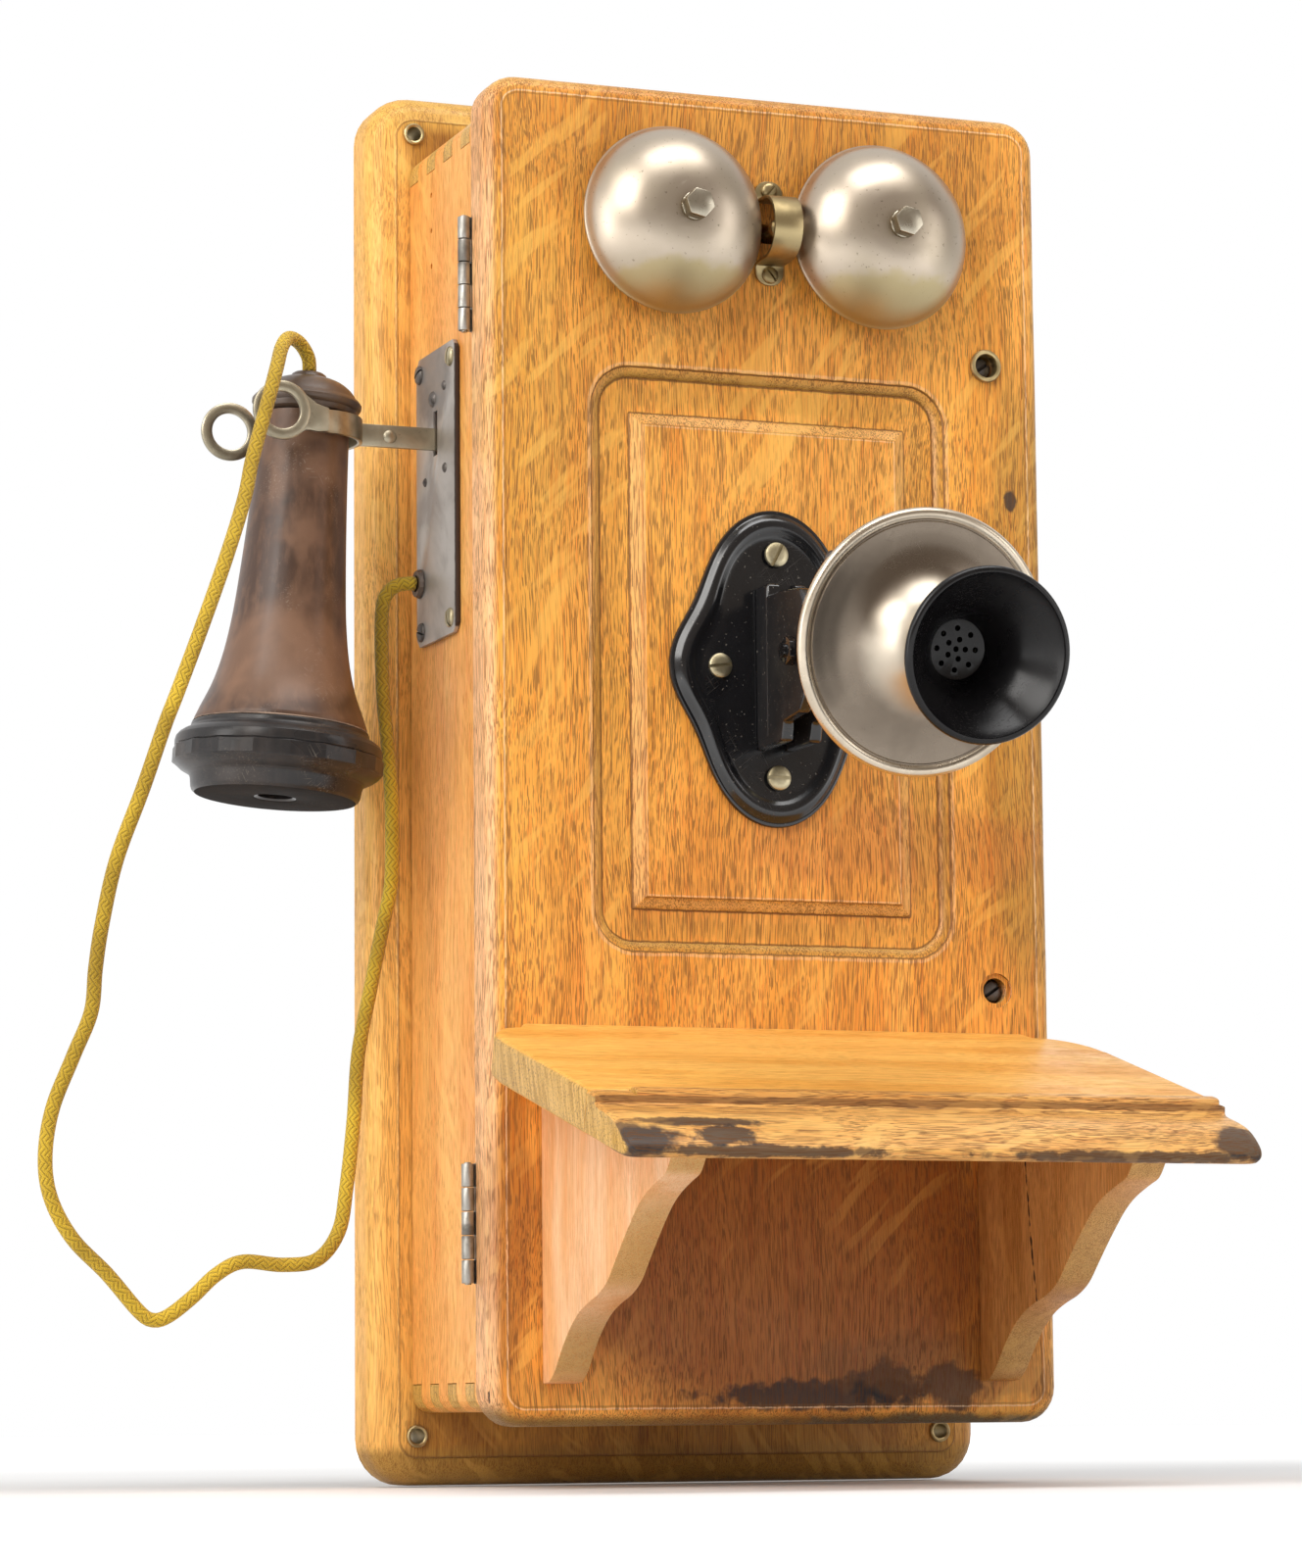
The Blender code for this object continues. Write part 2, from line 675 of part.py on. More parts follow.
def boolean(obj, other, how="DIFFERENCE"):
    mod = obj.modifiers.new(how.lower() + "_" + other.name, "BOOLEAN")
    mod.operation = how
    mod.solver = "EXACT"
    mod.object = other
    return obj


# The evaluated mesh of an object, with doubled points merged and the scratch object removed
def settle(scratch, name):
    graph = bpy.context.evaluated_depsgraph_get()
    mesh = bpy.data.meshes.new_from_object(scratch.evaluated_get(graph))
    mesh.name = name
    bm = bmesh.new()
    bm.from_mesh(mesh)
    bmesh.ops.remove_doubles(bm, verts=bm.verts, dist=0.000001)
    bmesh.ops.recalc_face_normals(bm, faces=bm.faces)
    bm.to_mesh(mesh)
    bm.free()
    mesh.transform(scratch.matrix_world)
    bpy.data.objects.remove(scratch)
    return mesh


# A turned body: (radius, height) points down the outer side, spun about Z, then placed
def turned(name, profile, place, look=None, steps=32, smooth=35.0):
    bm = bmesh.new()
    verts = [bm.verts.new((r, 0.0, h)) for r, h in profile]
    for a, b in zip(verts, verts[1:]):
        bm.edges.new((a, b))
    if profile[0][0] > AXIS and profile[-1][0] > AXIS:
        bm.edges.new((verts[-1], verts[0]))
    mesh = bpy.data.meshes.new(name)
    bm.to_mesh(mesh)
    bm.free()
    scratch = bpy.data.objects.new(name + "_profile", mesh)
    CUTTERS.objects.link(scratch)
    mod = scratch.modifiers.new("turn", "SCREW")
    mod.axis = "Z"
    mod.steps = steps
    mod.render_steps = steps
    mod.use_merge_vertices = True
    mod.merge_threshold = 0.00001
    made = settle(scratch, name)
    made.transform(place)
    obj = add(name, made, look)
    if smooth:
        round_shade(obj, smooth)
    return obj


# A flat outline given in its own XY plane, made thick about that plane, then placed
def slab(name, outline, thick, place, look=None, bevel=0.0):
    data = bpy.data.curves.new(name, "CURVE")
    data.dimensions = "2D"
    data.fill_mode = "BOTH"
    data.extrude = thick / 2 - bevel
    data.bevel_depth = bevel
    data.bevel_resolution = 1 if bevel else 0
    data.offset = -bevel
    spline = data.splines.new("POLY")
    spline.points.add(len(outline) - 1)
    for point, (x, y) in zip(spline.points, outline):
        point.co = (x, y, 0.0, 1.0)
    spline.use_cyclic_u = True
    scratch = bpy.data.objects.new(name + "_outline", data)
    CUTTERS.objects.link(scratch)
    mesh = settle(scratch, name)
    mesh.transform(place)
    return add(name, mesh, look)


def arc(cx, cy, r, a0, a1, steps):
    turns = [a0 + (a1 - a0) * i / steps for i in range(steps + 1)]
    return [(cx + r * math.cos(t), cy + r * math.sin(t)) for t in turns]


def round_rect(half_x, lo_y, hi_y, r, steps=6):
    quarter = math.pi / 2
    corners = ((half_x - r, hi_y - r), (r - half_x, hi_y - r), (r - half_x, lo_y + r), (half_x - r, lo_y + r))
    points = []
    for i, (x, y) in enumerate(corners):
        points += arc(x, y, r, i * quarter, (i + 1) * quarter, steps)
    return points


# Outline planes: frontal takes (x, z) and stands at a depth y, side takes (y, z) and stands at an x
def frontal(y):
    return Matrix.Translation((0, y, 0)) @ Matrix(((1, 0, 0, 0), (0, 0, -1, 0), (0, 1, 0, 0), (0, 0, 0, 1)))


def side(x):
    return Matrix.Translation((x, 0, 0)) @ Matrix(((0, 0, 1, 0), (1, 0, 0, 0), (0, 1, 0, 0), (0, 0, 0, 1)))


# A turned body's own Z put along a world axis, from a point
def along(start, axis):
    return Matrix.Translation(start) @ Vector(axis).to_track_quat("Z", "Y").to_matrix().to_4x4()


def forward(x, y, z):
    return along((x, y, z), (0, -1, 0))


# Slotted screws, each a place, a direction and a slot turn, sunk a little so that a union takes them
def screw_shapes(name, specs, head_r, head_t, shank_r, shank_len, look=None):
    shells = bmesh.new()
    cut = bmesh.new()
    for at, out, turn in specs:
        place = along(Vector(at), Vector(out))
        profile = [(AXIS, head_t), (head_r * HEAD_CROWN, head_t), (head_r, head_t * HEAD_EDGE), (head_r, 0.0),
                   (shank_r, 0.0), (shank_r, -shank_len), (AXIS, -shank_len)]
        piece = turned(name + "_one", profile, place, None, 10, 0.0)
        shells.from_mesh(piece.data)
        bpy.data.objects.remove(piece)
        put_box(cut, (-head_r - OVER, -SLOT_HALF_W, head_t * (1 - SLOT_DEEP)),
                (head_r + OVER, SLOT_HALF_W, head_t + OVER), place @ Matrix.Rotation(turn, 4, "Z"))
    obj = from_bm(name, shells, look)
    round_shade(obj)
    return boolean(obj, from_bm(name + "_slots", cut))


# Backboard with its four eyelets
board = slab("backboard", round_rect(BACK_HALF, -BACK_END, BACK_END, BACK_CORNER), BACK_T,
             frontal(-BACK_T / 2), "oak")
round_front(board, -BACK_T, BACK_ROUND)
holes = bmesh.new()
EYELET = [(EYELET_BORE_R, EYELET_FLANGE_T), (EYELET_TUBE_R, EYELET_FLANGE_T),
          (EYELET_FLANGE_R, EYELET_FLANGE_T * HEAD_EDGE), (EYELET_FLANGE_R, 0.0), (EYELET_TUBE_R, 0.0),
          (EYELET_TUBE_R, SEAT - BACK_T), (EYELET_BORE_R, SEAT - BACK_T)]
for tag_x, x in (("left", -EYELET_X), ("right", EYELET_X)):
    for tag_z, z in (("top", EYELET_TOP), ("bottom", EYELET_BOTTOM)):
        put_rod(holes, (x, SEAT, z), (x, -BACK_T - SEAT, z), EYELET_TUBE_R + SEAT)
        turned("eyelet_" + tag_z + "_" + tag_x, EYELET, forward(x, -BACK_T - SEAT, z), "brass", 12)
boolean(board, from_bm("eyelet_holes", holes))

# Case boards with finger joints, all rounded by one prism
prism = slab("case_prism", round_rect(CASE_HALF, CASE_BOTTOM, CASE_TOP, CASE_CORNER, 4),
             CASE_REAR - CASE_FRONT + 2 * OVER, frontal((CASE_FRONT + CASE_REAR) / 2))


# Every second finger of a board is cut away at one corner of the case
def put_fingers(bm, first, x, z):
    for i in range(first, FINGERS, 2):
        y_hi = CASE_REAR - i * FINGER + (OVER if i == 0 else RUN)
        y_lo = CASE_REAR - (i + 1) * FINGER - (OVER if i == FINGERS - 1 else RUN)
        put_box(bm, (x[0], y_lo, z[0]), (x[1], y_hi, z[1]))


def case_board(name, lo, hi, first, corners):
    obj = box(name, lo, hi, "oak")
    gap = SEAT if first else 0.0
    rise = 0.0 if first else SEAT
    cut = bmesh.new()
    for right, top in corners:
        x = (CASE_INNER - gap, CASE_HALF + OVER) if right else (-CASE_HALF - OVER, gap - CASE_INNER)
        z = (CASE_BOTTOM - OVER, CASE_BOTTOM + WALL + rise)
        if top:
            z = (CASE_TOP - WALL - rise, CASE_TOP + OVER)
        put_fingers(cut, first, x, z)
    boolean(obj, from_bm(name + "_fingers", cut))
    boolean(obj, prism, "INTERSECT")
    return obj


left = case_board("case_left", (-CASE_HALF, CASE_FRONT, CASE_BOTTOM), (-CASE_INNER, CASE_REAR, CASE_TOP), 0,
                  ((False, True), (False, False)))
right = case_board("case_right", (CASE_INNER, CASE_FRONT, CASE_BOTTOM), (CASE_HALF, CASE_REAR, CASE_TOP), 0,
                   ((True, True), (True, False)))
case_board("case_top", (-CASE_HALF, CASE_FRONT, CASE_TOP - WALL), (CASE_HALF, CASE_REAR, CASE_TOP), 1,
           ((False, True), (True, True)))
case_board("case_bottom", (-CASE_HALF, CASE_FRONT, CASE_BOTTOM), (CASE_HALF, CASE_REAR, CASE_BOTTOM + WALL), 1,
           ((False, False), (True, False)))

# Left side: the pin holes, the hook slot, the cord hole and the recesses of the hinge leaves
cuts = bmesh.new()
for i in range(PIN_HOLES):
    z = PIN_HOLE_Z - i * PIN_HOLE_STEP
    put_rod(cuts, (-CASE_HALF - OVER, PIN_HOLE_Y, z), (PIN_HOLE_DEEP - CASE_HALF, PIN_HOLE_Y, z), PIN_HOLE_R,
            None, 12)
put_box(cuts, (-CASE_HALF - OVER, HOOK_Y - SLOT_HALF - OVER, SLOT_Z0 - OVER),
        (OVER - CASE_INNER, HOOK_Y + SLOT_HALF + OVER, SLOT_Z1 + OVER))
put_rod(cuts, (-CASE_HALF - OVER, CORD_HOLE_Y, CORD_HOLE_Z), (OVER - CASE_INNER, CORD_HOLE_Y, CORD_HOLE_Z),
        BUSH_R + 2 * SEAT)
for mid in (HINGE_UPPER, HINGE_LOWER):
    put_box(cuts, (-CASE_HALF - OVER, CASE_FRONT - OVER, mid - HINGE_LEN / 2 - SEAT),
            (LEAF_INNER_X + SEAT, CASE_FRONT + LEAF_T + SEAT, mid + HINGE_LEN / 2 + SEAT))
boolean(left, from_bm("left_cuts", cuts))
boolean(right, rod("crank_hole", (CASE_INNER - OVER, CRANK_Y, CRANK_Z), (CASE_HALF + OVER, CRANK_Y, CRANK_Z),
                   CRANK_BUSH_R + SEAT, sides=32))

# Inner shelf that carries the magneto
box("inner_shelf", (SEAT - CASE_INNER, CASE_FRONT + INNER_SHELF_BACK, INNER_SHELF_Z - INNER_SHELF_T),
    (CASE_INNER - SEAT, CASE_REAR, INNER_SHELF_Z), "oak")

# Door board, whose routed recess leaves a raised field with sloping edges
door = slab("door_board", round_rect(DOOR_HALF, DOOR_BOTTOM, DOOR_TOP, DOOR_CORNER), DOOR_T,
            frontal((DOOR_REAR + DOOR_FRONT) / 2), "oak")
round_front(door, DOOR_FRONT, DOOR_ROUND)
recess_t = PANEL_DEPTH + OVER
recess = slab("panel_recess", round_rect(PANEL_HALF, PANEL_BOTTOM, PANEL_TOP, PANEL_CORNER), recess_t,
              frontal(DOOR_FRONT + PANEL_DEPTH - recess_t / 2))
FIELD_HALF = PANEL_HALF - FIELD_IN
FIELD_TOP = PANEL_TOP - FIELD_TOP_IN
FIELD_BOTTOM = PANEL_BOTTOM + FIELD_IN
FIELD_MID = (FIELD_TOP + FIELD_BOTTOM) / 2
field = bmesh.new()
for corner in put_box(field, (-FIELD_HALF, DOOR_FRONT - OVER, FIELD_BOTTOM),
                      (FIELD_HALF, DOOR_FRONT + PANEL_DEPTH + OVER, FIELD_TOP)):
    slope_in = FIELD_BEVEL * (DOOR_FRONT + PANEL_DEPTH - corner.co.y) / PANEL_DEPTH
    corner.co.x -= math.copysign(slope_in, corner.co.x)
    corner.co.z -= math.copysign(slope_in, corner.co.z - FIELD_MID)
boolean(recess, from_bm("panel_field", field))
boolean(door, recess)

# Door holes: striker slot, two lock screws and the door leaves' recesses
cuts = bmesh.new()
put_box(cuts, (-STRIKER_SLOT_HALF_W, DOOR_FRONT - OVER, GONG_Z - STRIKER_SLOT_HALF_H),
        (STRIKER_SLOT_HALF_W, DOOR_REAR + OVER, GONG_Z + STRIKER_SLOT_HALF_H))
for z, mouth_r in ((LOCK_UPPER_Z, LOCK_SEAT_R), (LOCK_LOWER_Z, LOCK_MOUTH_R)):
    shank_r = LOCK_SHANK_R + SEAT
    step_r = LOCK_SEAT_R - THIN
    bore = [(AXIS, OVER), (mouth_r, OVER), (mouth_r, -LOCK_SINK), (step_r, -LOCK_SINK), (step_r, -LOCK_DEPTH),
            (shank_r, -LOCK_DEPTH), (shank_r, -DOOR_T - OVER), (AXIS, -DOOR_T - OVER)]
    stepped = turned("lock_bore_one", bore, forward(LOCK_X, DOOR_FRONT, z), None, 16, 0.0)
    cuts.from_mesh(stepped.data)
    bpy.data.objects.remove(stepped)
for mid in (HINGE_UPPER, HINGE_LOWER):
    put_box(cuts, (-DOOR_HALF - OVER, DOOR_REAR - LEAF_T - SEAT, mid - HINGE_LEN / 2 - SEAT),
            (LEAF_INNER_X + SEAT, DOOR_REAR + OVER, mid + HINGE_LEN / 2 + SEAT))
boolean(door, from_bm("door_cuts", cuts))

# Lock screws, and the ring that is left on the upper one
for tag, z in (("upper", LOCK_UPPER_Z), ("lower", LOCK_LOWER_Z)):
    screw_shapes("lock_screw_" + tag, [((LOCK_X, DOOR_FRONT + LOCK_DEPTH - SEAT, z), (0, -1, 0), HEX_TURN)],
                 LOCK_HEAD_R, LOCK_HEAD_T, LOCK_SHANK_R, DOOR_T - LOCK_DEPTH, "iron")
tube_r = RING_INNER_R + RING_TUBE_T
turned("door_eyelet", [(tube_r, RING_T), (RING_OUTER_R - RING_EDGE, RING_T), (RING_OUTER_R, RING_T - RING_EDGE),
                       (RING_OUTER_R, 0.0), (tube_r, 0.0), (tube_r, -RING_TUBE_DEEP),
                       (RING_INNER_R, -RING_TUBE_DEEP), (RING_INNER_R, RING_T - RING_TUBE_T)],
       forward(LOCK_X, DOOR_FACE, LOCK_UPPER_Z), "brass", 14)


# One hinge leaf: plate, tabs and knuckles. The case leaf keeps the pin, the door leaf is bored for it
def leaf(name, mid, first, y_lo, y_hi):
    step = HINGE_LEN / KNUCKLES
    base = mid - HINGE_LEN / 2
    obj = box(name, (LEAF_OUTER_X, y_lo, base), (LEAF_INNER_X, y_hi, base + HINGE_LEN), "steel")
    knuckles = bmesh.new()
    tabs = bmesh.new()
    for i in range(first, KNUCKLES, 2):
        z0 = base + i * step + RUN
        z1 = base + (i + 1) * step - RUN
        put_rod(knuckles, (HINGE_X, HINGE_Y, z0), (HINGE_X, HINGE_Y, z1), KNUCKLE_R, None, 12)
        put_box(tabs, (HINGE_X + KNUCKLE_BORE_R + SEAT, y_lo, z0), (LEAF_OUTER_X + OVER, y_hi, z1))
    boolean(obj, from_bm(name + "_tabs", tabs), "UNION")
    boolean(obj, from_bm(name + "_knuckles", knuckles), "UNION")
    pin_ends = (HINGE_X, HINGE_Y, base - SEAT), (HINGE_X, HINGE_Y, base + HINGE_LEN + SEAT)
    if first:
        boolean(obj, rod(name + "_bore", *pin_ends, KNUCKLE_BORE_R, sides=12))
    else:
        boolean(obj, rod(name + "_pin", *pin_ends, HINGE_PIN_R, sides=12), "UNION")


for tag, mid in (("upper", HINGE_UPPER), ("lower", HINGE_LOWER)):
    leaf("hinge_" + tag + "_case_leaf", mid, 0, CASE_FRONT, CASE_FRONT + LEAF_T)
    leaf("hinge_" + tag + "_door_leaf", mid, 1, DOOR_REAR - LEAF_T, DOOR_REAR)


# Gong shell: a full quarter curve from the bored crown to the rim
def gong_profile():
    steps = 6
    outer = [(GONG_BORE_R, GONG_DEEP)]
    inner = [(GONG_BORE_R, GONG_DEEP - GONG_T)]
    for i in range(1, steps):
        t = math.pi / 2 * i / steps
        rise = GONG_DEEP * math.cos(t) ** GONG_FULLNESS
        outer.append((GONG_R * math.sin(t), rise))
        inner.append(((GONG_R - GONG_T) * math.sin(t), max(rise - GONG_T * math.cos(t), 0.0)))
    return outer + [(GONG_R, 0.0), (GONG_R - GONG_T, 0.0)] + inner[::-1]


POST_TOP = DOOR_FACE - GONG_TOP_Y - GONG_T - SEAT
HEX_Y = GONG_TOP_Y - SEAT
POST = [(AXIS, POST_TOP), (POST_R, POST_TOP), (POST_R, POST_FOOT_H), (POST_FOOT_R, POST_FOOT_T),
        (POST_FOOT_R, 0.0), (AXIS, 0.0)]
for tag, x in (("left", -GONG_X), ("right", GONG_X)):
    turned("gong_" + tag, gong_profile(), forward(x, GONG_RIM_Y, GONG_Z), "nickel", 28, 50.0)
    post = turned("gong_post_" + tag, POST, forward(x, DOOR_FACE, GONG_Z), "nickel", 20)
    boolean(post, rod("gong_shank_" + tag, (x, HEX_Y - HEX_T / 2, GONG_Z),
                      (x, DOOR_FRONT - POST_SCREW_IN, GONG_Z), GONG_SCREW_R), "UNION")
    boolean(post, rod("gong_hex_" + tag, (x, HEX_Y, GONG_Z), (x, HEX_Y - HEX_T, GONG_Z), HEX_R, r1=HEX_TOP_R,
                      sides=6, spin=HEX_TURN), "UNION")


# Hood over the striker: a bent strap, open at its left and right
def hood_outline():
    small = HOOD_SPAN - HOOD_T
    crown = DOOR_FACE - HOOD_STAND
    flange_z = HOOD_SPAN + HOOD_FLANGE
    edge = [(DOOR_FACE, flange_z), (DOOR_FACE - HOOD_T, flange_z), (DOOR_FACE - HOOD_T, HOOD_SPAN)]
    edge += [(crown - r * HOOD_SQUASH, h) for h, r in arc(0.0, 0.0, HOOD_SPAN, 0.0, math.pi, 10)]
    edge += [(DOOR_FACE - HOOD_T, -HOOD_SPAN), (DOOR_FACE - HOOD_T, -flange_z), (DOOR_FACE, -flange_z)]
    edge += [(DOOR_FACE, -small)]
    edge += [(crown - r * HOOD_SQUASH, h) for h, r in arc(0.0, 0.0, small, math.pi, 0.0, 10)]
    edge += [(DOOR_FACE, small)]
    return [(y, z + GONG_Z) for y, z in edge]


hood = slab("striker_hood", hood_outline(), 2 * HOOD_HALF, side(0.0), "nickel")
hood_screw_z = HOOD_SPAN + HOOD_FLANGE / 2
hood_screws = [((0, DOOR_FACE - HOOD_T, GONG_Z + sign * hood_screw_z), (0, -1, 0), 3 * sign * HEX_TURN)
               for sign in (-1, 1)]
hood_heads = screw_shapes("hood_heads", hood_screws, HOOD_SCREW_R, HOOD_SCREW_T, HOOD_SHANK_R, BURY)
boolean(hood, hood_heads, "UNION")

# Striker: hub, iron bar, bent rod and ball as one body that swings on the ringer's pin
clap = rod("clapper", (0, CLAP_Y - CLAP_HUB_HALF, CLAP_PIVOT_Z), (0, CLAP_Y + CLAP_HUB_HALF, CLAP_PIVOT_Z),
           CLAP_HUB_R, "brass")
boolean(clap, rod("clapper_riser", (0, CLAP_Y, CLAP_PIVOT_Z + CLAP_BAR_DROP), (0, CLAP_Y, GONG_Z + CLAP_ROD_R),
                  CLAP_ROD_R), "UNION")
boolean(clap, rod("clapper_reach", (0, CLAP_Y, GONG_Z), (0, CLAP_BALL_Y, GONG_Z), CLAP_REACH_R), "UNION")
ball = bmesh.new()
put_ball(ball, (0, CLAP_BALL_Y, GONG_Z), CLAP_BALL_R)
boolean(clap, from_bm("clapper_ball", ball), "UNION")
bar_top = CLAP_PIVOT_Z - CLAP_BAR_DROP
boolean(clap, box("clapper_bar", (-CLAP_BAR_HALF, CLAP_Y - CLAP_BAR_DEEP, bar_top - CLAP_BAR_T),
                  (CLAP_BAR_HALF, CLAP_Y + CLAP_BAR_DEEP, bar_top)), "UNION")
bore_out = CLAP_HUB_HALF + OVER
boolean(clap, rod("clapper_bore", (0, CLAP_Y - bore_out, CLAP_PIVOT_Z), (0, CLAP_Y + bore_out, CLAP_PIVOT_Z),
                  CLAP_PIN_R + RUN, sides=20))

# Ringer frame: plate on the door, yoke under the coils and the striker's pin
ringer = box("ringer_frame", (-RINGER_HALF, RINGER_Y0, YOKE_Z),
             (RINGER_HALF, RINGER_Y1, CLAP_PIVOT_Z + RINGER_ABOVE), "iron")
yoke = box("ringer_yoke", (-RINGER_HALF, RINGER_Y1 - OVER, YOKE_Z), (RINGER_HALF, YOKE_Y, YOKE_Z + YOKE_T))
boolean(ringer, yoke, "UNION")
boolean(ringer, rod("ringer_pin", (0, RINGER_Y1 - OVER, CLAP_PIVOT_Z),
                    (0, CLAP_Y + CLAP_HUB_HALF + CLAP_PIN_PAST, CLAP_PIVOT_Z), CLAP_PIN_R, sides=20), "UNION")


# A wound spool up its Z: flanges at both ends, and a core that can stand out of either
def spool(low, high, wound_r, core_r, flange_out, flange_t, core_low, core_high):
    flange_r = wound_r + flange_out
    top = high - flange_t
    foot = low + flange_t
    profile = [(AXIS, core_high), (core_r, core_high), (core_r, high), (flange_r, high), (flange_r, top),
               (wound_r, top), (wound_r, foot), (flange_r, foot), (flange_r, low)]
    if core_low < low:
        profile += [(core_r, low), (core_r, core_low)]
    return profile + [(AXIS, core_low)]


for tag, x in (("left", -COIL_X), ("right", COIL_X)):
    coil = spool(COIL_FOOT, COIL_TOP, COIL_R, COIL_CORE_R, FLANGE_OUT, FLANGE_T, COIL_FOOT, COIL_TOP + COIL_CORE_OUT)
    turned("ringer_coil_" + tag, coil, Matrix.Translation((x, CLAP_Y, 0)), "paper", 14)
bar = box("ringer_magnet", (-MAGNET_HALF, YOKE_Y + SEAT, YOKE_Z),
          (MAGNET_HALF, YOKE_Y + SEAT + MAGNET_T, CLAP_PIVOT_Z + MAGNET_ABOVE), "iron")
soften(bar, MAGNET_EDGE)


# Cover plate: a lobed outline, taller than wide
def lobed_outline():
    points = []
    for i in range(LOBE_POINTS):
        t = 2 * math.pi * i / LOBE_POINTS
        r = PLATE_MEAN_R - PLATE_TALLER * math.cos(2 * t) + PLATE_LOBED * math.cos(4 * t)
        points.append((r * math.cos(t), PLATE_Z + r * math.sin(t)))
    return points


mount = slab("transmitter_bracket", lobed_outline(), PLATE_T, frontal(DOOR_FACE - PLATE_T / 2), "japan")
round_front(mount, PLATE_FRONT, PLATE_EDGE, 2)
ear_edge = [(PLATE_FRONT + OVER, PLATE_Z + EAR_UP), (PLATE_FRONT + OVER, PLATE_Z - EAR_DOWN),
            (PLATE_FRONT - EAR_FOOT, PLATE_Z - EAR_DOWN)]
ear_edge += arc(PIVOT_Y, PIVOT_Z, EAR_R, math.pi + EAR_ARC, math.pi - EAR_ARC, 10)
ear_edge += [(PLATE_FRONT - EAR_FOOT, PLATE_Z + EAR_UP)]
ears = bmesh.new()
for sign in (-1, 1):
    ear = slab("ear_one", ear_edge, EAR_T, side(sign * (TONGUE_HALF + SEAT + EAR_T / 2)))
    ears.from_mesh(ear.data)
    bpy.data.objects.remove(ear)
boolean(mount, from_bm("bracket_ears", ears), "UNION")
PLATE_SCREWS = ((0.0, PLATE_Z + PLATE_SCREW_UP), (-PLATE_SCREW_X, PLATE_Z), (PLATE_SCREW_X, PLATE_Z),
                (0.0, PLATE_Z - PLATE_SCREW_DOWN))
mount_heads = screw_shapes("mount_heads", [((x, PLATE_FRONT, z), (0, -1, 0), (3 * i + 1) * HEX_TURN)
                                           for i, (x, z) in enumerate(PLATE_SCREWS)],
                           PLATE_SCREW_R, PLATE_SCREW_T, PLATE_SHANK_R, BURY)
boolean(mount, mount_heads, "UNION")
ear_ends = (-EAR_OUT - OVER, PIVOT_Y, PIVOT_Z), (EAR_OUT + OVER, PIVOT_Y, PIVOT_Z)
boolean(mount, rod("ear_bore", *ear_ends, BOLT_R + RUN, sides=20))

# Bolt through the ears, with its head on the right and its nut on the left
bolt_in = EAR_OUT + SEAT
bolt = rod("pivot_bolt", (-bolt_in - NUT_T - BOLT_PAST_NUT, PIVOT_Y, PIVOT_Z),
           (bolt_in + BOLT_HEAD_T - BURY, PIVOT_Y, PIVOT_Z), BOLT_R, "iron", sides=20)
heads = bmesh.new()
put_rod(heads, (-bolt_in, PIVOT_Y, PIVOT_Z), (-bolt_in - NUT_T, PIVOT_Y, PIVOT_Z), NUT_R, None, 6)
put_rod(heads, (bolt_in, PIVOT_Y, PIVOT_Z), (bolt_in + BOLT_HEAD_T, PIVOT_Y, PIVOT_Z), BOLT_HEAD_R,
        BOLT_HEAD_TOP_R, 20)
boolean(bolt, from_bm("pivot_heads", heads), "UNION")

# Head frame: its Z runs out along the sound axis, its Y up the face
out = Vector((0, -math.cos(TILT), -math.sin(TILT)))
up = Vector((0, -math.sin(TILT), math.cos(TILT)))
across = up.cross(out)
pivot = Vector((0, PIVOT_Y, PIVOT_Z))
HEAD = Matrix.Translation(pivot + up * FACE_UP) @ Matrix((
    (across.x, up.x, out.x, 0), (across.y, up.y, out.y, 0), (across.z, up.z, out.z, 0), (0, 0, 0, 1)))

# Back cup with the tongue that the bolt holds between the ears
rim_s = FACE_S - FACE_SKIRT - SEAT
bore_r = FACE_R - CUP_BORE_IN
cup_profile = [(FACE_R - CUP_RIM_IN, rim_s), (FACE_R - CUP_SHOULDER_IN, FACE_S - CUP_SHOULDER),
               (CUP_WAIST_R, FACE_S - CUP_WAIST), (CUP_FLOOR_R, CUP_BACK), (AXIS, CUP_BACK),
               (AXIS, CUP_BACK + CUP_WALL), (CUP_FLOOR_R - CUP_WALL, CUP_BACK + CUP_WALL),
               (CUP_WAIST_R - CUP_WALL, FACE_S - CUP_WAIST + CUP_WALL), (bore_r, FACE_S - CUP_SHOULDER + OVER),
               (bore_r, rim_s)]
cup = turned("transmitter_cup", cup_profile, HEAD, "japan", 24, 40.0)
tongue_edge = arc(0.0, 0.0, EAR_R - TONGUE_EDGE, math.pi - TONGUE_ARC, math.pi + TONGUE_ARC, 8)
tongue_edge += [(CUP_BACK - TONGUE_NECK, -TONGUE_NECK_DOWN), (CUP_BACK + OVER, -TONGUE_DOWN),
                (CUP_BACK + OVER, TONGUE_UP), (CUP_BACK - TONGUE_NECK, TONGUE_NECK_UP)]
TONGUE = Matrix.Translation(pivot) @ Matrix((
    (out.x, up.x, 1, 0), (out.y, up.y, 0, 0), (out.z, up.z, 0, 0), (0, 0, 0, 1)))
boolean(cup, slab("tongue", tongue_edge, 2 * TONGUE_HALF, TONGUE), "UNION")
boolean(cup, rod("tongue_bore", *ear_ends, BOLT_R + RUN, sides=20))


# A flared curve between two radii, read from its foot to its mouth
def flared(r0, s0, r1, s1, power, steps):
    shares = [i / steps for i in range(steps + 1)]
    return [(r0 + (r1 - r0) * t ** power, s0 + (s1 - s0) * t) for t in shares]


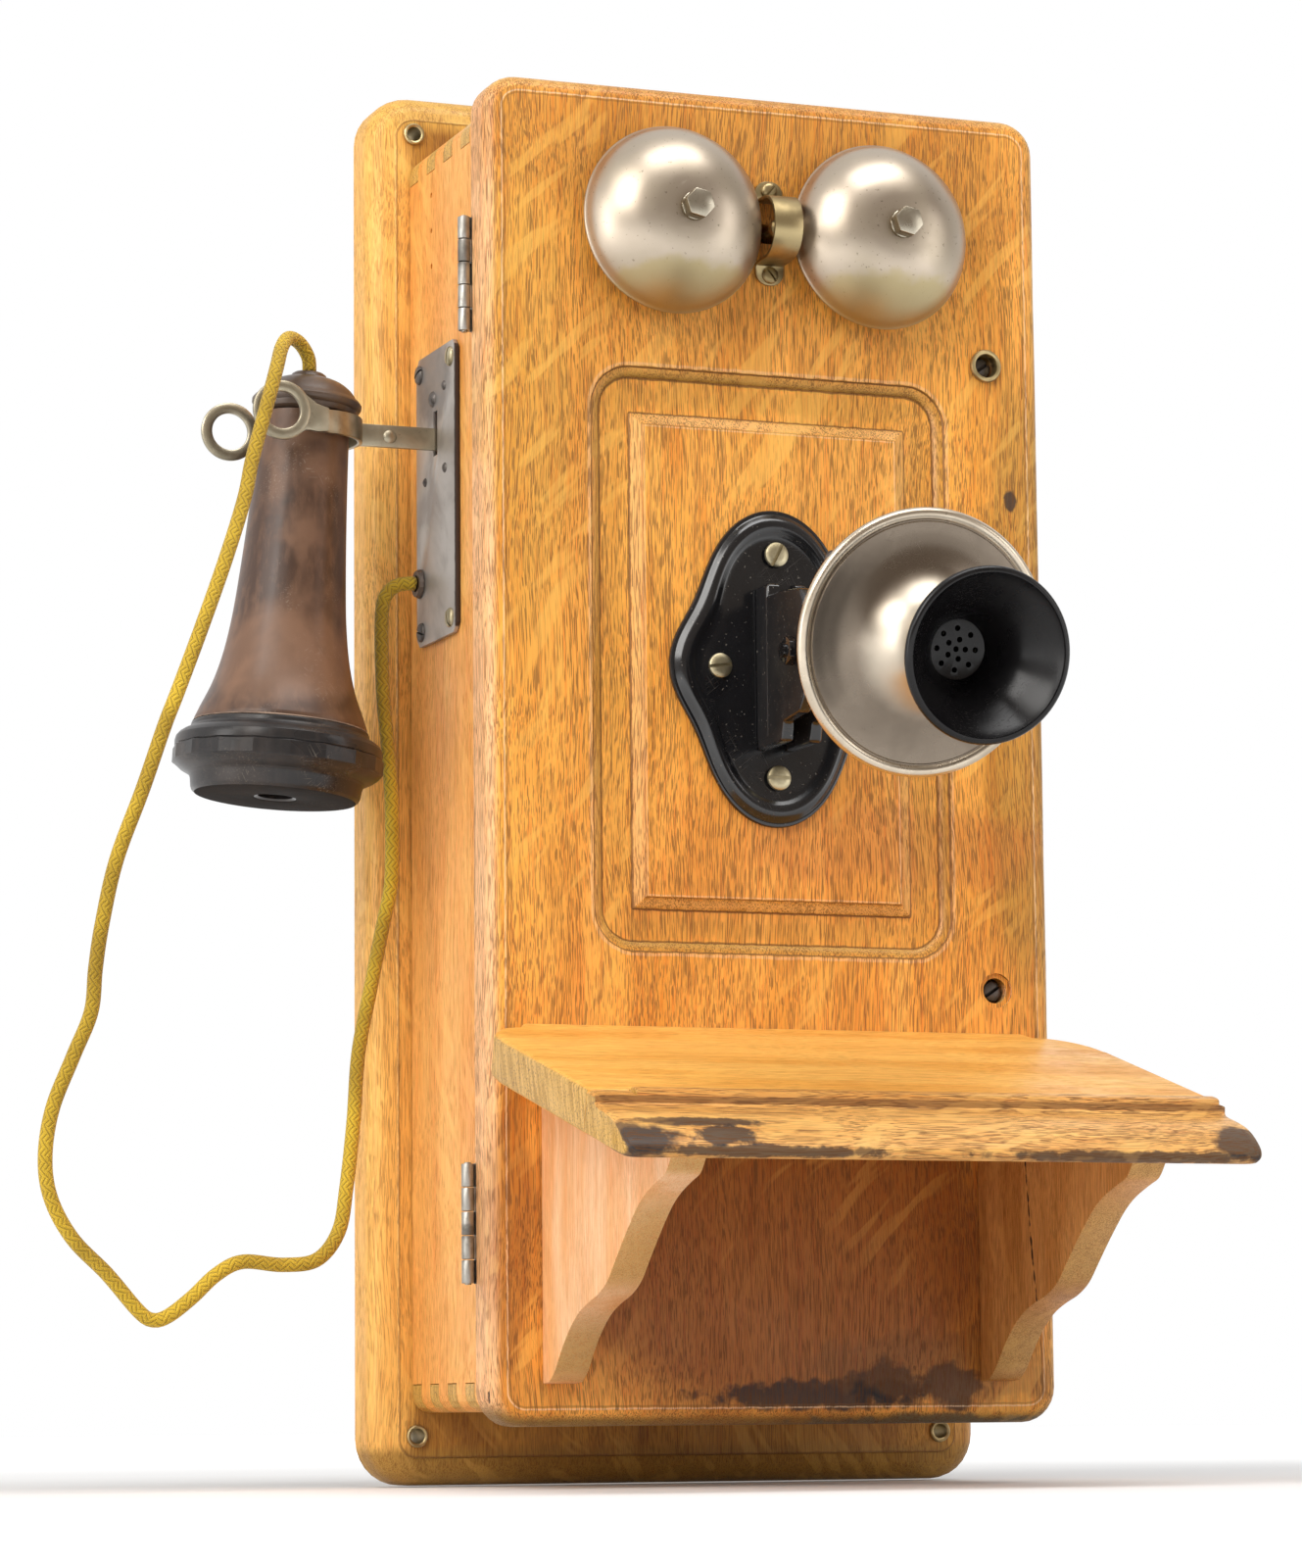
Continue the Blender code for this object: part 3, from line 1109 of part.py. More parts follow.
# Faceplate: rolled rim, flat ring and the horn that rises to the neck, hollow behind
neck_s = FACE_S + NECK_S
face_out = flared(NECK_R, neck_s, HORN_FOOT_R, FACE_S + FACE_FLAT, HORN_POWER, 5)
face_out += [(FACE_R - FACE_ROLL, FACE_S + FACE_FLAT / 3), (FACE_R - FACE_ROLL / 3, FACE_S + FACE_FLAT),
             (FACE_R, FACE_S - FACE_FLAT / 2), (FACE_R - FACE_FLAT / 2, FACE_S - FACE_SKIRT)]
face_in = [(FACE_R - FACE_SEAT_IN, FACE_S - FACE_SKIRT), (FACE_R - FACE_SEAT_IN, FACE_S - FACE_FLAT),
           (HORN_BACK_R, FACE_S), (HORN_WAIST_R, FACE_S + HORN_WAIST_S),
           (NECK_R - FACE_T, neck_s - NECK_BORE_DEEP), (NECK_R - FACE_T, neck_s)]
turned("faceplate", face_out + face_in, HEAD, "nickel", 28, 45.0)

# Mouthpiece: flared horn on the neck, moulded in one with its perforated throat
lip = FACE_S + MOUTH_LEN
foot = neck_s + SEAT
horn = [(AXIS, foot + GRILLE_T)]
horn += flared(THROAT_R, foot + GRILLE_T, MOUTH_R - MOUTH_ROLL, lip - MOUTH_ROLL_T / 3, MOUTH_IN_POWER, 4)
horn += [(MOUTH_R - MOUTH_ROLL / 2, lip)]
horn += flared(NECK_R + MOUTH_FOOT_OUT, foot, MOUTH_R, lip - MOUTH_ROLL_T, MOUTH_OUT_POWER, 5)[::-1]
horn += [(AXIS, foot)]
mouth = turned("mouthpiece", horn, HEAD, "black", 24, 50.0)
bores = bmesh.new()
for count, ring_r in GRILLE_RINGS:
    for i in range(count):
        t = 2 * math.pi * i / count
        start = HEAD @ Vector((ring_r * math.cos(t), ring_r * math.sin(t), foot - OVER))
        end = HEAD @ Vector((ring_r * math.cos(t), ring_r * math.sin(t), foot + GRILLE_T + OVER))
        put_rod(bores, start, end, GRILLE_HOLE_R, None, 6)
boolean(mouth, from_bm("throat_bores", bores))

# Sounding parts inside the cup
capsule_s = CUP_BACK + CUP_WALL + SEAT
turned("carbon_capsule", [(AXIS, capsule_s + CAPSULE_LEN), (CAPSULE_TOP_R, capsule_s + CAPSULE_LEN),
                          (CAPSULE_TOP_R, capsule_s + CAPSULE_STEP), (CAPSULE_R, capsule_s + CAPSULE_STEP),
                          (CAPSULE_R, capsule_s), (AXIS, capsule_s)], HEAD, "brass", 14)
diaphragm_r = FACE_R - CUP_BORE_IN - 2 * SEAT
turned("transmitter_diaphragm", [(AXIS, FACE_S - DIAPHRAGM_S), (diaphragm_r, FACE_S - DIAPHRAGM_S),
                                 (diaphragm_r, FACE_S - DIAPHRAGM_S - DIAPHRAGM_T),
                                 (AXIS, FACE_S - DIAPHRAGM_S - DIAPHRAGM_T)], HEAD, "steel", 24)

# Shelf frame: its Y runs back up the slope, its Z is square to the top
SHELF = Matrix.Translation((0, DOOR_FACE, SHELF_Z)) @ Matrix.Rotation(SHELF_SLOPE, 4, "X")


# Board outline seen from above in the shelf frame, its rear corners cut by a hollow curve
def shelf_outline():
    rear = -SHELF_T * math.tan(SHELF_SLOPE)
    points = [(SHELF_HALF - SHELF_TAPER, -STRIP_AT), (SHELF_HALF, -SHELF_TAPER_AT)]
    for i in range(9):
        t = math.pi / 2 * i / 8
        x = SHELF_HALF - HOLLOW_STEP - HOLLOW_IN * (1 - math.cos(t))
        points.append((x, HOLLOW_DEEP * math.sin(t) - HOLLOW_AT))
    points.append((SHELF_HALF - SHELF_REAR_IN, rear - BURY))
    return points + [(-x, y) for x, y in reversed(points)]


shelf = slab("shelf_board", shelf_outline(), SHELF_T, SHELF @ Matrix.Translation((0, 0, -SHELF_T / 2)), "oak",
             SHELF_EDGE)
flat = bmesh.new()
put_box(flat, (-DOOR_HALF - SHELF_HALF, -STRIP_AT, -2 * SHELF_T), (DOOR_HALF + SHELF_HALF, -SHELF_DEEP, SHELF_T),
        SHELF)
boolean(shelf, from_bm("shelf_front_cut", flat))
boolean(shelf, box("shelf_rear_cut", (-DOOR_HALF - SHELF_HALF, DOOR_FACE, SHELF_Z - 2 * SHELF_T),
                   (DOOR_HALF + SHELF_HALF, DOOR_REAR, SHELF_Z + SHELF_T)))


# Front strip's section in (depth, height): a bead, a shallow cove and a full nose
def strip_outline():
    rear = -STRIP_AT - SEAT
    cove_end = rear - BEAD_DEEP - COVE_DEEP
    points = [(rear, -SHELF_T), (rear, 0.0)]
    for i in range(1, 6):
        points.append((rear - BEAD_DEEP * i / 6, BEAD_H * math.sin(math.pi * i / 6)))
    for i in range(4):
        points.append((rear - BEAD_DEEP - COVE_DEEP * i / 4, -COVE_H * math.sin(math.pi / 2 * i / 4)))
    for i in range(5):
        t = math.pi / 2 * i / 4
        y = cove_end - (SHELF_DEEP + cove_end) * math.sin(t)
        points.append((y, -NOSE_H + (NOSE_H - COVE_H) * math.cos(t)))
    for i in range(1, 4):
        t = math.pi / 2 * i / 3
        points.append((NOSE_UNDER * (1 - math.cos(t)) - SHELF_DEEP, -NOSE_H - (SHELF_T - NOSE_H) * math.sin(t)))
    return points


strip = slab("shelf_front_strip", strip_outline(), 2 * (SHELF_HALF - STRIP_SHORT), SHELF @ side(0.0), "oak")
soften(strip, STRIP_EDGE, 2, 60.0)


# Shelf bracket in (y, z): its free edge waves about the slope from the nose to the foot
def bracket_outline():
    under = SHELF_Z - (SHELF_T + SEAT) / math.cos(SHELF_SLOPE)
    tip_y = DOOR_FACE - BRACKET_REACH
    tip_z = under - BRACKET_REACH * math.tan(SHELF_SLOPE)
    foot_z = SHELF_Z - BRACKET_DROP
    nose_y = tip_y + BRACKET_NOSE
    points = [(DOOR_FACE, under), (tip_y, tip_z)]
    for i in range(17):
        share = i / 16
        y = nose_y + (DOOR_FACE - BRACKET_FOOT - nose_y) * share
        z = tip_z + (foot_z - tip_z) * share - (BRACKET_CHIN - WAVE_H + WAVE_MEAN) * (1 - share)
        points.append((y, z + WAVE_MEAN + WAVE_H * math.cos(2 * math.pi * (WAVES * share - WAVE_START))))
    return points + [(DOOR_FACE, foot_z)]


for tag, sign in (("left", -1), ("right", 1)):
    place = side(sign * (BRACKET_INNER + BRACKET_T / 2))
    slab("shelf_bracket_" + tag, bracket_outline(), BRACKET_T, place, "oak_end")

# Side plate of the hook switch, with clipped corners, slot, cord hole, screws and rivets
side_y = (HOOK_Y - SIDE_FRONT, HOOK_Y + SIDE_REAR)
side_z = (HOOK_Z - SIDE_DOWN, HOOK_Z + SIDE_UP)
side_edge = []
for y, in_y in ((side_y[1], -SIDE_CLIP), (side_y[0], SIDE_CLIP)):
    corner = [(y + in_y, side_z[1]), (y, side_z[1] - SIDE_CLIP), (y, side_z[0] + SIDE_CLIP), (y + in_y, side_z[0])]
    side_edge += corner if in_y > 0 else corner[::-1]
hook_plate = slab("hook_plate", side_edge, SIDE_T, side(SIDE_FACE + SIDE_T / 2), "iron")
cuts = bmesh.new()
x0 = SIDE_FACE - OVER
x1 = SIDE_FACE + SIDE_T + OVER
put_box(cuts, (x0, HOOK_Y - SLOT_HALF, SLOT_Z0), (x1, HOOK_Y + SLOT_HALF, SLOT_Z1))
put_rod(cuts, (x0, CORD_HOLE_Y, CORD_HOLE_Z), (x1, CORD_HOLE_Y, CORD_HOLE_Z), BUSH_R + SEAT)
boolean(hook_plate, from_bm("hook_plate_cuts", cuts))
side_screws = [((SIDE_FACE, y, z), (-1, 0, 0), HEX_TURN + y / z)
               for y in (side_y[0] + SIDE_SCREW_IN, side_y[1] - SIDE_SCREW_IN)
               for z in (side_z[0] + SIDE_SCREW_IN, side_z[1] - SIDE_SCREW_IN)]
plate_heads = screw_shapes("plate_heads", side_screws, SIDE_SCREW_R, SIDE_SCREW_T, SIDE_SHANK_R, BURY)
boolean(hook_plate, plate_heads, "UNION")
rivets = bmesh.new()
for y in (HOOK_Y - RIVET_Y, HOOK_Y + RIVET_Y):
    for z in (HOOK_Z - RIVET_DOWN, HOOK_Z + RIVET_UP):
        put_rod(rivets, (SIDE_FACE + BURY, y, z), (SIDE_FACE - RIVET_T, y, z), RIVET_R, RIVET_TOP_R, 10)
boolean(hook_plate, from_bm("plate_rivets", rivets), "UNION")
bush_in = SIDE_T + WALL + 2 * SEAT
turned("cord_bushing", [(BUSH_BORE_R, BUSH_T), (BUSH_TOP_R, BUSH_T), (BUSH_FLANGE_R, 0.0), (BUSH_R, 0.0),
                        (BUSH_R, -bush_in), (BUSH_BORE_R, -bush_in)],
       along((SIDE_FACE - SEAT, CORD_HOLE_Y, CORD_HOLE_Z), (-1, 0, 0)), "ebonite", 16)


# Fork outline seen from above, about the middle of its round back
def fork_outline():
    outer_r = FORK_R + STRAP_T
    front_end = RING_R * RING_LAP - RING_FRONT_OUT
    rear_end = RING_R * RING_LAP - RING_REAR_OUT
    points = arc(0, 0, outer_r, math.pi / 2, -math.pi / 2, 12)
    points += [(-FORK_CORNER, -outer_r - FLARE), (front_end, -outer_r - FLARE), (front_end, -FORK_R - FLARE),
               (-FORK_CORNER, -FORK_R - FLARE)]
    points += arc(0, 0, FORK_R, -math.pi / 2, math.pi / 2, 12)
    points += [(-FORK_CORNER, FORK_R + FLARE), (rear_end, FORK_R + FLARE), (rear_end, outer_r + FLARE),
               (-FORK_CORNER, outer_r + FLARE)]
    return [(x + FORK_X, y + HOOK_Y) for x, y in points]


# Hook lever: forked strap, two rings, the arm, the hub and the tail as one body
lever = slab("hook_lever", fork_outline(), STRAP_H, Matrix.Translation((0, 0, HOOK_Z)), "nickel")
rings = bmesh.new()
ring_bores = bmesh.new()
for x, sign in ((FORK_X - RING_FRONT_OUT, -1), (FORK_X - RING_REAR_OUT, 1)):
    y = HOOK_Y + sign * (FORK_R + FLARE + STRAP_T / 2)
    half = STRAP_T * RING_THICKER / 2
    put_rod(rings, (x, y - half, RING_Z), (x, y + half, RING_Z), RING_R, None, 20)
    put_rod(ring_bores, (x, y - half - OVER, RING_Z), (x, y + half + OVER, RING_Z), RING_BORE_R)
boolean(lever, from_bm("fork_rings", rings), "UNION")
arm_half_h = STRAP_H * ARM_SLIMMER / 2
boolean(lever, box("hook_arm", (FORK_X + FORK_R + STRAP_T / 2, HOOK_Y - STRAP_T / 2, HOOK_Z - arm_half_h),
                   (HOOK_PIVOT_X + TAIL, HOOK_Y + STRAP_T / 2, HOOK_Z + arm_half_h)), "UNION")
boolean(lever, rod("hook_hub", (HOOK_PIVOT_X, HOOK_Y - HUB_HALF, HOOK_Z),
                   (HOOK_PIVOT_X, HOOK_Y + HUB_HALF, HOOK_Z), HUB_R), "UNION")
put_rod(ring_bores, (HOOK_PIVOT_X, HOOK_Y - HUB_HALF - OVER, HOOK_Z),
        (HOOK_PIVOT_X, HOOK_Y + HUB_HALF + OVER, HOOK_Z), HOOK_PIN_R + RUN, None, 20)
boolean(lever, from_bm("hook_bores", ring_bores))
round_shade(lever, 30.0)

# Hook bracket inside the case, with its ears, its pin and a window for the lever
inside = SEAT - CASE_INNER
bracket = box("hook_bracket", (inside, HOOK_Y - HOOK_BASE_HALF, HOOK_Z - HOOK_BASE_DOWN),
              (inside + HOOK_BASE_T, HOOK_Y + HOOK_BASE_HALF, HOOK_Z + HOOK_BASE_UP), "iron")
ears = bmesh.new()
for sign in (-1, 1):
    near = HOOK_Y + sign * (HUB_HALF + SEAT)
    far = HOOK_Y + sign * (HUB_HALF + SEAT + HOOK_EAR_T)
    put_box(ears, (inside + OVER, near, HOOK_Z - HOOK_EAR_HALF_H),
            (HOOK_PIVOT_X + HOOK_EAR_PAST, far, HOOK_Z + HOOK_EAR_HALF_H))
boolean(bracket, from_bm("hook_ears", ears), "UNION")
pin_half = HUB_HALF + HOOK_EAR_T + OVER
boolean(bracket, rod("hook_pin", (HOOK_PIVOT_X, HOOK_Y - pin_half, HOOK_Z),
                     (HOOK_PIVOT_X, HOOK_Y + pin_half, HOOK_Z), HOOK_PIN_R, sides=20), "UNION")
boolean(bracket, box("hook_window", (inside - OVER, HOOK_Y - SLOT_HALF - OVER, SLOT_Z0 - OVER),
                     (inside + HOOK_BASE_T + BURY, HOOK_Y + SLOT_HALF + OVER, SLOT_Z1 + OVER)))

# Contact block under the lever's tail, with its row of springs
stack_top = HOOK_Z - STACK_DOWN + STACK_H
block = box("contact_stack", (inside + HOOK_BASE_T + SEAT, HOOK_Y - STACK_HALF, HOOK_Z - STACK_DOWN),
            (HOOK_PIVOT_X + STACK_REACH, HOOK_Y + STACK_HALF, stack_top), "ebonite")
springs = bmesh.new()
for i in range(SPRINGS):
    x = HOOK_PIVOT_X + SPRING_AT + i * SPRING_STEP
    put_box(springs, (x, HOOK_Y - SPRING_HALF, stack_top - OVER),
            (x + SPRING_T, HOOK_Y + SPRING_HALF, HOOK_Z + SPRING_UP + i * SPRING_RISE))
boolean(block, from_bm("contact_springs", springs), "UNION")

# Receiver cap: bored for the sound, beaded outside, open at its top
REC = Matrix.Translation(REC_BASE) @ Matrix.Rotation(REC_LEAN, 4, "Y")
cap_profile = [(CAP_BORE_R, CAP_FLOOR_T), (CAP_BORE_R, REC_CAP_H), (CAP_TOP_R, REC_CAP_H),
               (CAP_TOP_R, REC_CAP_H - CAP_SHOULDER / 2), (CAP_SHOULDER_R, REC_CAP_H - CAP_SHOULDER),
               (REC_CAP_R, CAP_BEAD_TOP), (REC_CAP_R, CAP_BEAD_FOOT), (CAP_NECK_R, CAP_NECK_H),
               (CAP_FOOT_R, 0.0), (CAP_EAR_R, 0.0), (CAP_EAR_BORE_R, CAP_EAR_EDGE),
               (CAP_EAR_BACK_R, CAP_FLOOR_T)]
turned("receiver_cap", cap_profile, REC, "black", 24, 30.0)


# Shell: its outside tapers up to the dome and flares fast at its foot
def shell_profile():
    steps = 8
    points = []
    for i in range(steps + 1):
        t = i / steps
        points.append((SHELL_TOP_R + SHELL_TAPER * t + SHELL_FLARE * t ** SHELL_POWER,
                       SHELL_TOP_H + (SHELL_FOOT_H - SHELL_TOP_H) * t))
    return points + [(SHELL_BORE_R, SHELL_FOOT_H), (SHELL_BORE_R, SHELL_FOOT_H + SHELL_SEAT_H),
                     (SHELL_WAIST_R, SHELL_FOOT_H + SHELL_WAIST_H), (SHELL_NECK_R, SHELL_TOP_H)]


turned("receiver_shell", shell_profile(), REC, "ebonite", 24, 40.0)


# Dome: an elliptic crown about a low boss, bored for the cord and lipped to sit on the shell
def dome_profile():
    points = [(DOME_BORE_R, REC_TOP_H), (DOME_BOSS_TOP_R, REC_TOP_H)]
    start = math.asin(DOME_BOSS_R / REC_DOME_R)
    for i in range(5):
        t = start + (math.pi / 2 - start) * i / 4
        points.append((REC_DOME_R * math.sin(t), REC_TOP_H - DOME_FOOT_H + DOME_CURVE_H * math.cos(t)))
    return points + [(REC_DOME_FOOT_R, REC_DOME_H), (DOME_LIP_R, REC_DOME_H - DOME_LIP),
                     (DOME_BORE_R, REC_DOME_H - DOME_LIP)]


turned("receiver_dome", dome_profile(), REC, "ebonite", 20, 40.0)
magnet_top = REC_DOME_H - REC_MAGNET_BELOW
pole_top = SHELL_FOOT_H + REC_POLE_H
disc_top = SHELL_FOOT_H + REC_DISC_T
turned("receiver_magnet", [(AXIS, magnet_top), (REC_MAGNET_R, magnet_top), (REC_MAGNET_R, pole_top),
                           (REC_POLE_R, pole_top), (REC_POLE_R, disc_top), (SHELL_BORE_R - SEAT, disc_top),
                           (SHELL_BORE_R - SEAT, SHELL_FOOT_H), (AXIS, SHELL_FOOT_H)], REC, "steel", 20)


# Gear outline: straight-flanked teeth that narrow from root to tip
def gear_outline(teeth, y, z, phase):
    root = MODULE * (teeth / 2 - TOOTH_ROOT)
    tip = MODULE * (teeth / 2 + TOOTH_TIP)
    step = 2 * math.pi / teeth
    flanks = ((root, -TOOTH_ROOT_SHARE), (tip, -TOOTH_TIP_SHARE), (tip, TOOTH_TIP_SHARE),
              (root, TOOTH_ROOT_SHARE))
    points = []
    for i in range(teeth):
        for r, share in flanks:
            t = phase + (i + share) * step
            points.append((y + r * math.cos(t), z + r * math.sin(t)))
    return points


# Crank bushing in the case's right side, and the shaft with the drive gear
bush_out_r = SHAFT_R + RUN
turned("crank_bushing", [(bush_out_r, CRANK_FLANGE_T), (CRANK_FLANGE_TOP_R, CRANK_FLANGE_T),
                         (CRANK_FLANGE_R, CRANK_FLANGE_T - CRANK_FLANGE_EDGE), (CRANK_FLANGE_R, 0.0),
                         (CRANK_BUSH_R, 0.0), (CRANK_BUSH_R, -WALL - CRANK_BUSH_IN),
                         (bush_out_r, -WALL - CRANK_BUSH_IN)],
       along((CASE_HALF + SEAT, CRANK_Y, CRANK_Z), (1, 0, 0)), "brass", 16)
shaft = rod("crank_shaft", (SHAFT_IN, CRANK_Y, CRANK_Z), (SHAFT_X1, CRANK_Y, CRANK_Z), SHAFT_R, "steel")
drive = slab("drive_teeth", gear_outline(GEAR_TEETH, CRANK_Y, CRANK_Z, -math.pi / 2), GEAR_T, side(GEAR_X))
boolean(shaft, drive, "UNION")

# Crank arm with its hub, its eye and the knob's pin
arm_edge = arc(CRANK_Y, KNOB_Z, ARM_EYE_R, 0.0, math.pi, 8)
arm_edge += arc(CRANK_Y, CRANK_Z, ARM_FOOT_R, math.pi, 2 * math.pi, 10)
crank = slab("crank_arm", arm_edge, ARM_T, side(ARM_X + ARM_T / 2), "nickel")
boolean(crank, rod("crank_hub", (HUB_X0, CRANK_Y, CRANK_Z), (HUB_X1, CRANK_Y, CRANK_Z), CRANK_HUB_R), "UNION")
boolean(crank, rod("crank_bore", (HUB_X0 - OVER, CRANK_Y, CRANK_Z), (HUB_X1 - CRANK_HUB_CAP, CRANK_Y, CRANK_Z),
                   SHAFT_R + RUN))
pin_end = KNOB_X1 + KNOB_PIN_PAST
boolean(crank, rod("knob_pin", (ARM_X + OVER, CRANK_Y, KNOB_Z), (pin_end, CRANK_Y, KNOB_Z), KNOB_PIN_R,
                   sides=20), "UNION")
boolean(crank, rod("knob_pin_head", (KNOB_X1 + SEAT, CRANK_Y, KNOB_Z), (pin_end, CRANK_Y, KNOB_Z),
                   KNOB_PIN_HEAD_R, r1=KNOB_PIN_HEAD_TOP_R, sides=20), "UNION")
knob_profile = [(KNOB_PIN_R + SEAT, KNOB_LEN), (KNOB_TOP_R, KNOB_LEN), (KNOB_SHOULDER_R, KNOB_LEN - KNOB_SHOULDER),
                (KNOB_R, KNOB_LEN - KNOB_WIDEST), (KNOB_BELLY_R, KNOB_BELLY_H), (KNOB_WAIST_R, KNOB_WAIST_H),
                (KNOB_FOOT_R, KNOB_FOOT_H), (KNOB_FOOT_R, 0.0), (KNOB_PIN_R + SEAT, 0.0)]
turned("crank_knob", knob_profile, along((KNOB_X0, CRANK_Y, KNOB_Z), (1, 0, 0)), "black", 16)

# Magneto frame: end plates joined by the pole pieces, bored for the armature and the shafts
ends = box("magneto_frame", (END_RIGHT, CRANK_Y - END_HALF, FOOT_Z),
           (END_RIGHT + END_T, CRANK_Y + END_HALF, CRANK_Z + END_ABOVE_CRANK), "brass")
boolean(ends, box("magneto_left_end", (END_LEFT, CRANK_Y - END_HALF, FOOT_Z),
                  (END_LEFT + END_T, CRANK_Y + END_HALF, ARMATURE_Z + END_ABOVE_ARMATURE)), "UNION")
poles = bmesh.new()
for sign in (-1, 1):
    put_box(poles, (END_LEFT + OVER, CRANK_Y + sign * POLE_NEAR, ARMATURE_Z - POLE_HALF_H),
            (END_RIGHT + OVER, CRANK_Y + sign * POLE_FAR, ARMATURE_Z + POLE_HALF_H))
boolean(ends, from_bm("pole_pieces", poles), "UNION")
boolean(ends, rod("pole_bore", (END_LEFT + END_T, CRANK_Y, ARMATURE_Z), (END_RIGHT, CRANK_Y, ARMATURE_Z),
                  ARMATURE_R + ARMATURE_AIR, sides=24))
bores = bmesh.new()
put_rod(bores, (END_RIGHT - OVER, CRANK_Y, CRANK_Z), (END_RIGHT + END_T + OVER, CRANK_Y, CRANK_Z), SHAFT_R + RUN)
put_rod(bores, (END_LEFT - OVER, CRANK_Y, ARMATURE_Z), (END_RIGHT + END_T + OVER, CRANK_Y, ARMATURE_Z),
        ARMATURE_SHAFT_R + RUN, None, 20)
boolean(ends, from_bm("end_plate_bores", bores))

# Horseshoe magnets: one body, grooved where three magnets meet
MAGNET_X0 = END_LEFT + END_T + SEAT
MAGNET_X1 = END_RIGHT - SEAT
shoe_in = POLE_FAR + SEAT
shoe_out = shoe_in + SHOE_T
shoe_mid = FOOT_Z + SEAT + shoe_out
shoe_top = ARMATURE_Z + POLE_HALF_H
shoe = [(CRANK_Y + shoe_out, shoe_top)] + arc(CRANK_Y, shoe_mid, shoe_out, 0.0, -math.pi, 16)
shoe += [(CRANK_Y - shoe_out, shoe_top), (CRANK_Y - shoe_in, shoe_top)]
shoe += arc(CRANK_Y, shoe_mid, shoe_in, -math.pi, 0.0, 16) + [(CRANK_Y + shoe_in, shoe_top)]
magnets = slab("horseshoe_magnets", shoe, MAGNET_X1 - MAGNET_X0, side((MAGNET_X1 + MAGNET_X0) / 2), "iron")
grooves = bmesh.new()
for i in range(1, MAGNETS):
    x = MAGNET_X0 + (MAGNET_X1 - MAGNET_X0) * i / MAGNETS
    for sign in (-1, 1):
        put_box(grooves, (x - SEAT, CRANK_Y + sign * (shoe_out - GROOVE_DEEP), FOOT_Z - OVER),
                (x + SEAT, CRANK_Y + sign * (shoe_out + OVER), shoe_top + OVER))
boolean(magnets, from_bm("magnet_grooves", grooves))

# Armature: shaft, wound drum and the pinion that the drive gear turns
armature = rod("armature", (END_LEFT - ARMATURE_PAST, CRANK_Y, ARMATURE_Z),
               (GEAR_X + GEAR_T / 2 + ARMATURE_IN, CRANK_Y, ARMATURE_Z), ARMATURE_SHAFT_R, "iron", sides=20)
boolean(armature, rod("armature_drum", (MAGNET_X0 + ARMATURE_IN, CRANK_Y, ARMATURE_Z),
                      (MAGNET_X1 - ARMATURE_IN, CRANK_Y, ARMATURE_Z), ARMATURE_R, sides=24), "UNION")
half_tooth = math.pi / PINION_TEETH
pinion = slab("pinion_teeth", gear_outline(PINION_TEETH, CRANK_Y, ARMATURE_Z, math.pi / 2 + half_tooth),
              GEAR_T + PINION_WIDER, side(GEAR_X))
boolean(armature, pinion, "UNION")

# Induction coil and terminal strip in the lower part of the case
turned("induction_coil", spool(-IND_HALF, IND_HALF, IND_R, IND_CORE_R, IND_FLANGE_OUT, IND_FLANGE_T,
                               -IND_HALF - IND_CORE_OUT, IND_HALF + IND_CORE_OUT),
       along((IND_X, CASE_REAR - IND_R - IND_FLANGE_OUT - SEAT, IND_Z), (1, 0, 0)), "paper", 14)
strip_y = CASE_REAR - SEAT - STRIP_T
terminals = box("terminal_strip", (STRIP_X - STRIP_HALF, strip_y, STRIP_Z - STRIP_HALF_H),
                (STRIP_X + STRIP_HALF, CASE_REAR - SEAT, STRIP_Z + STRIP_HALF_H), "brass")
posts = bmesh.new()
for i in range(POSTS):
    x = STRIP_X + (i - (POSTS - 1) / 2) * POST_STEP
    put_rod(posts, (x, strip_y + OVER, STRIP_Z), (x, strip_y - POST_NUT_T, STRIP_Z), POST_NUT_R)
    put_rod(posts, (x, strip_y - POST_NUT_T + OVER, STRIP_Z), (x, strip_y - POST_STUD_LEN, STRIP_Z),
            POST_STUD_R, None, 12)
boolean(terminals, from_bm("binding_posts", posts), "UNION")

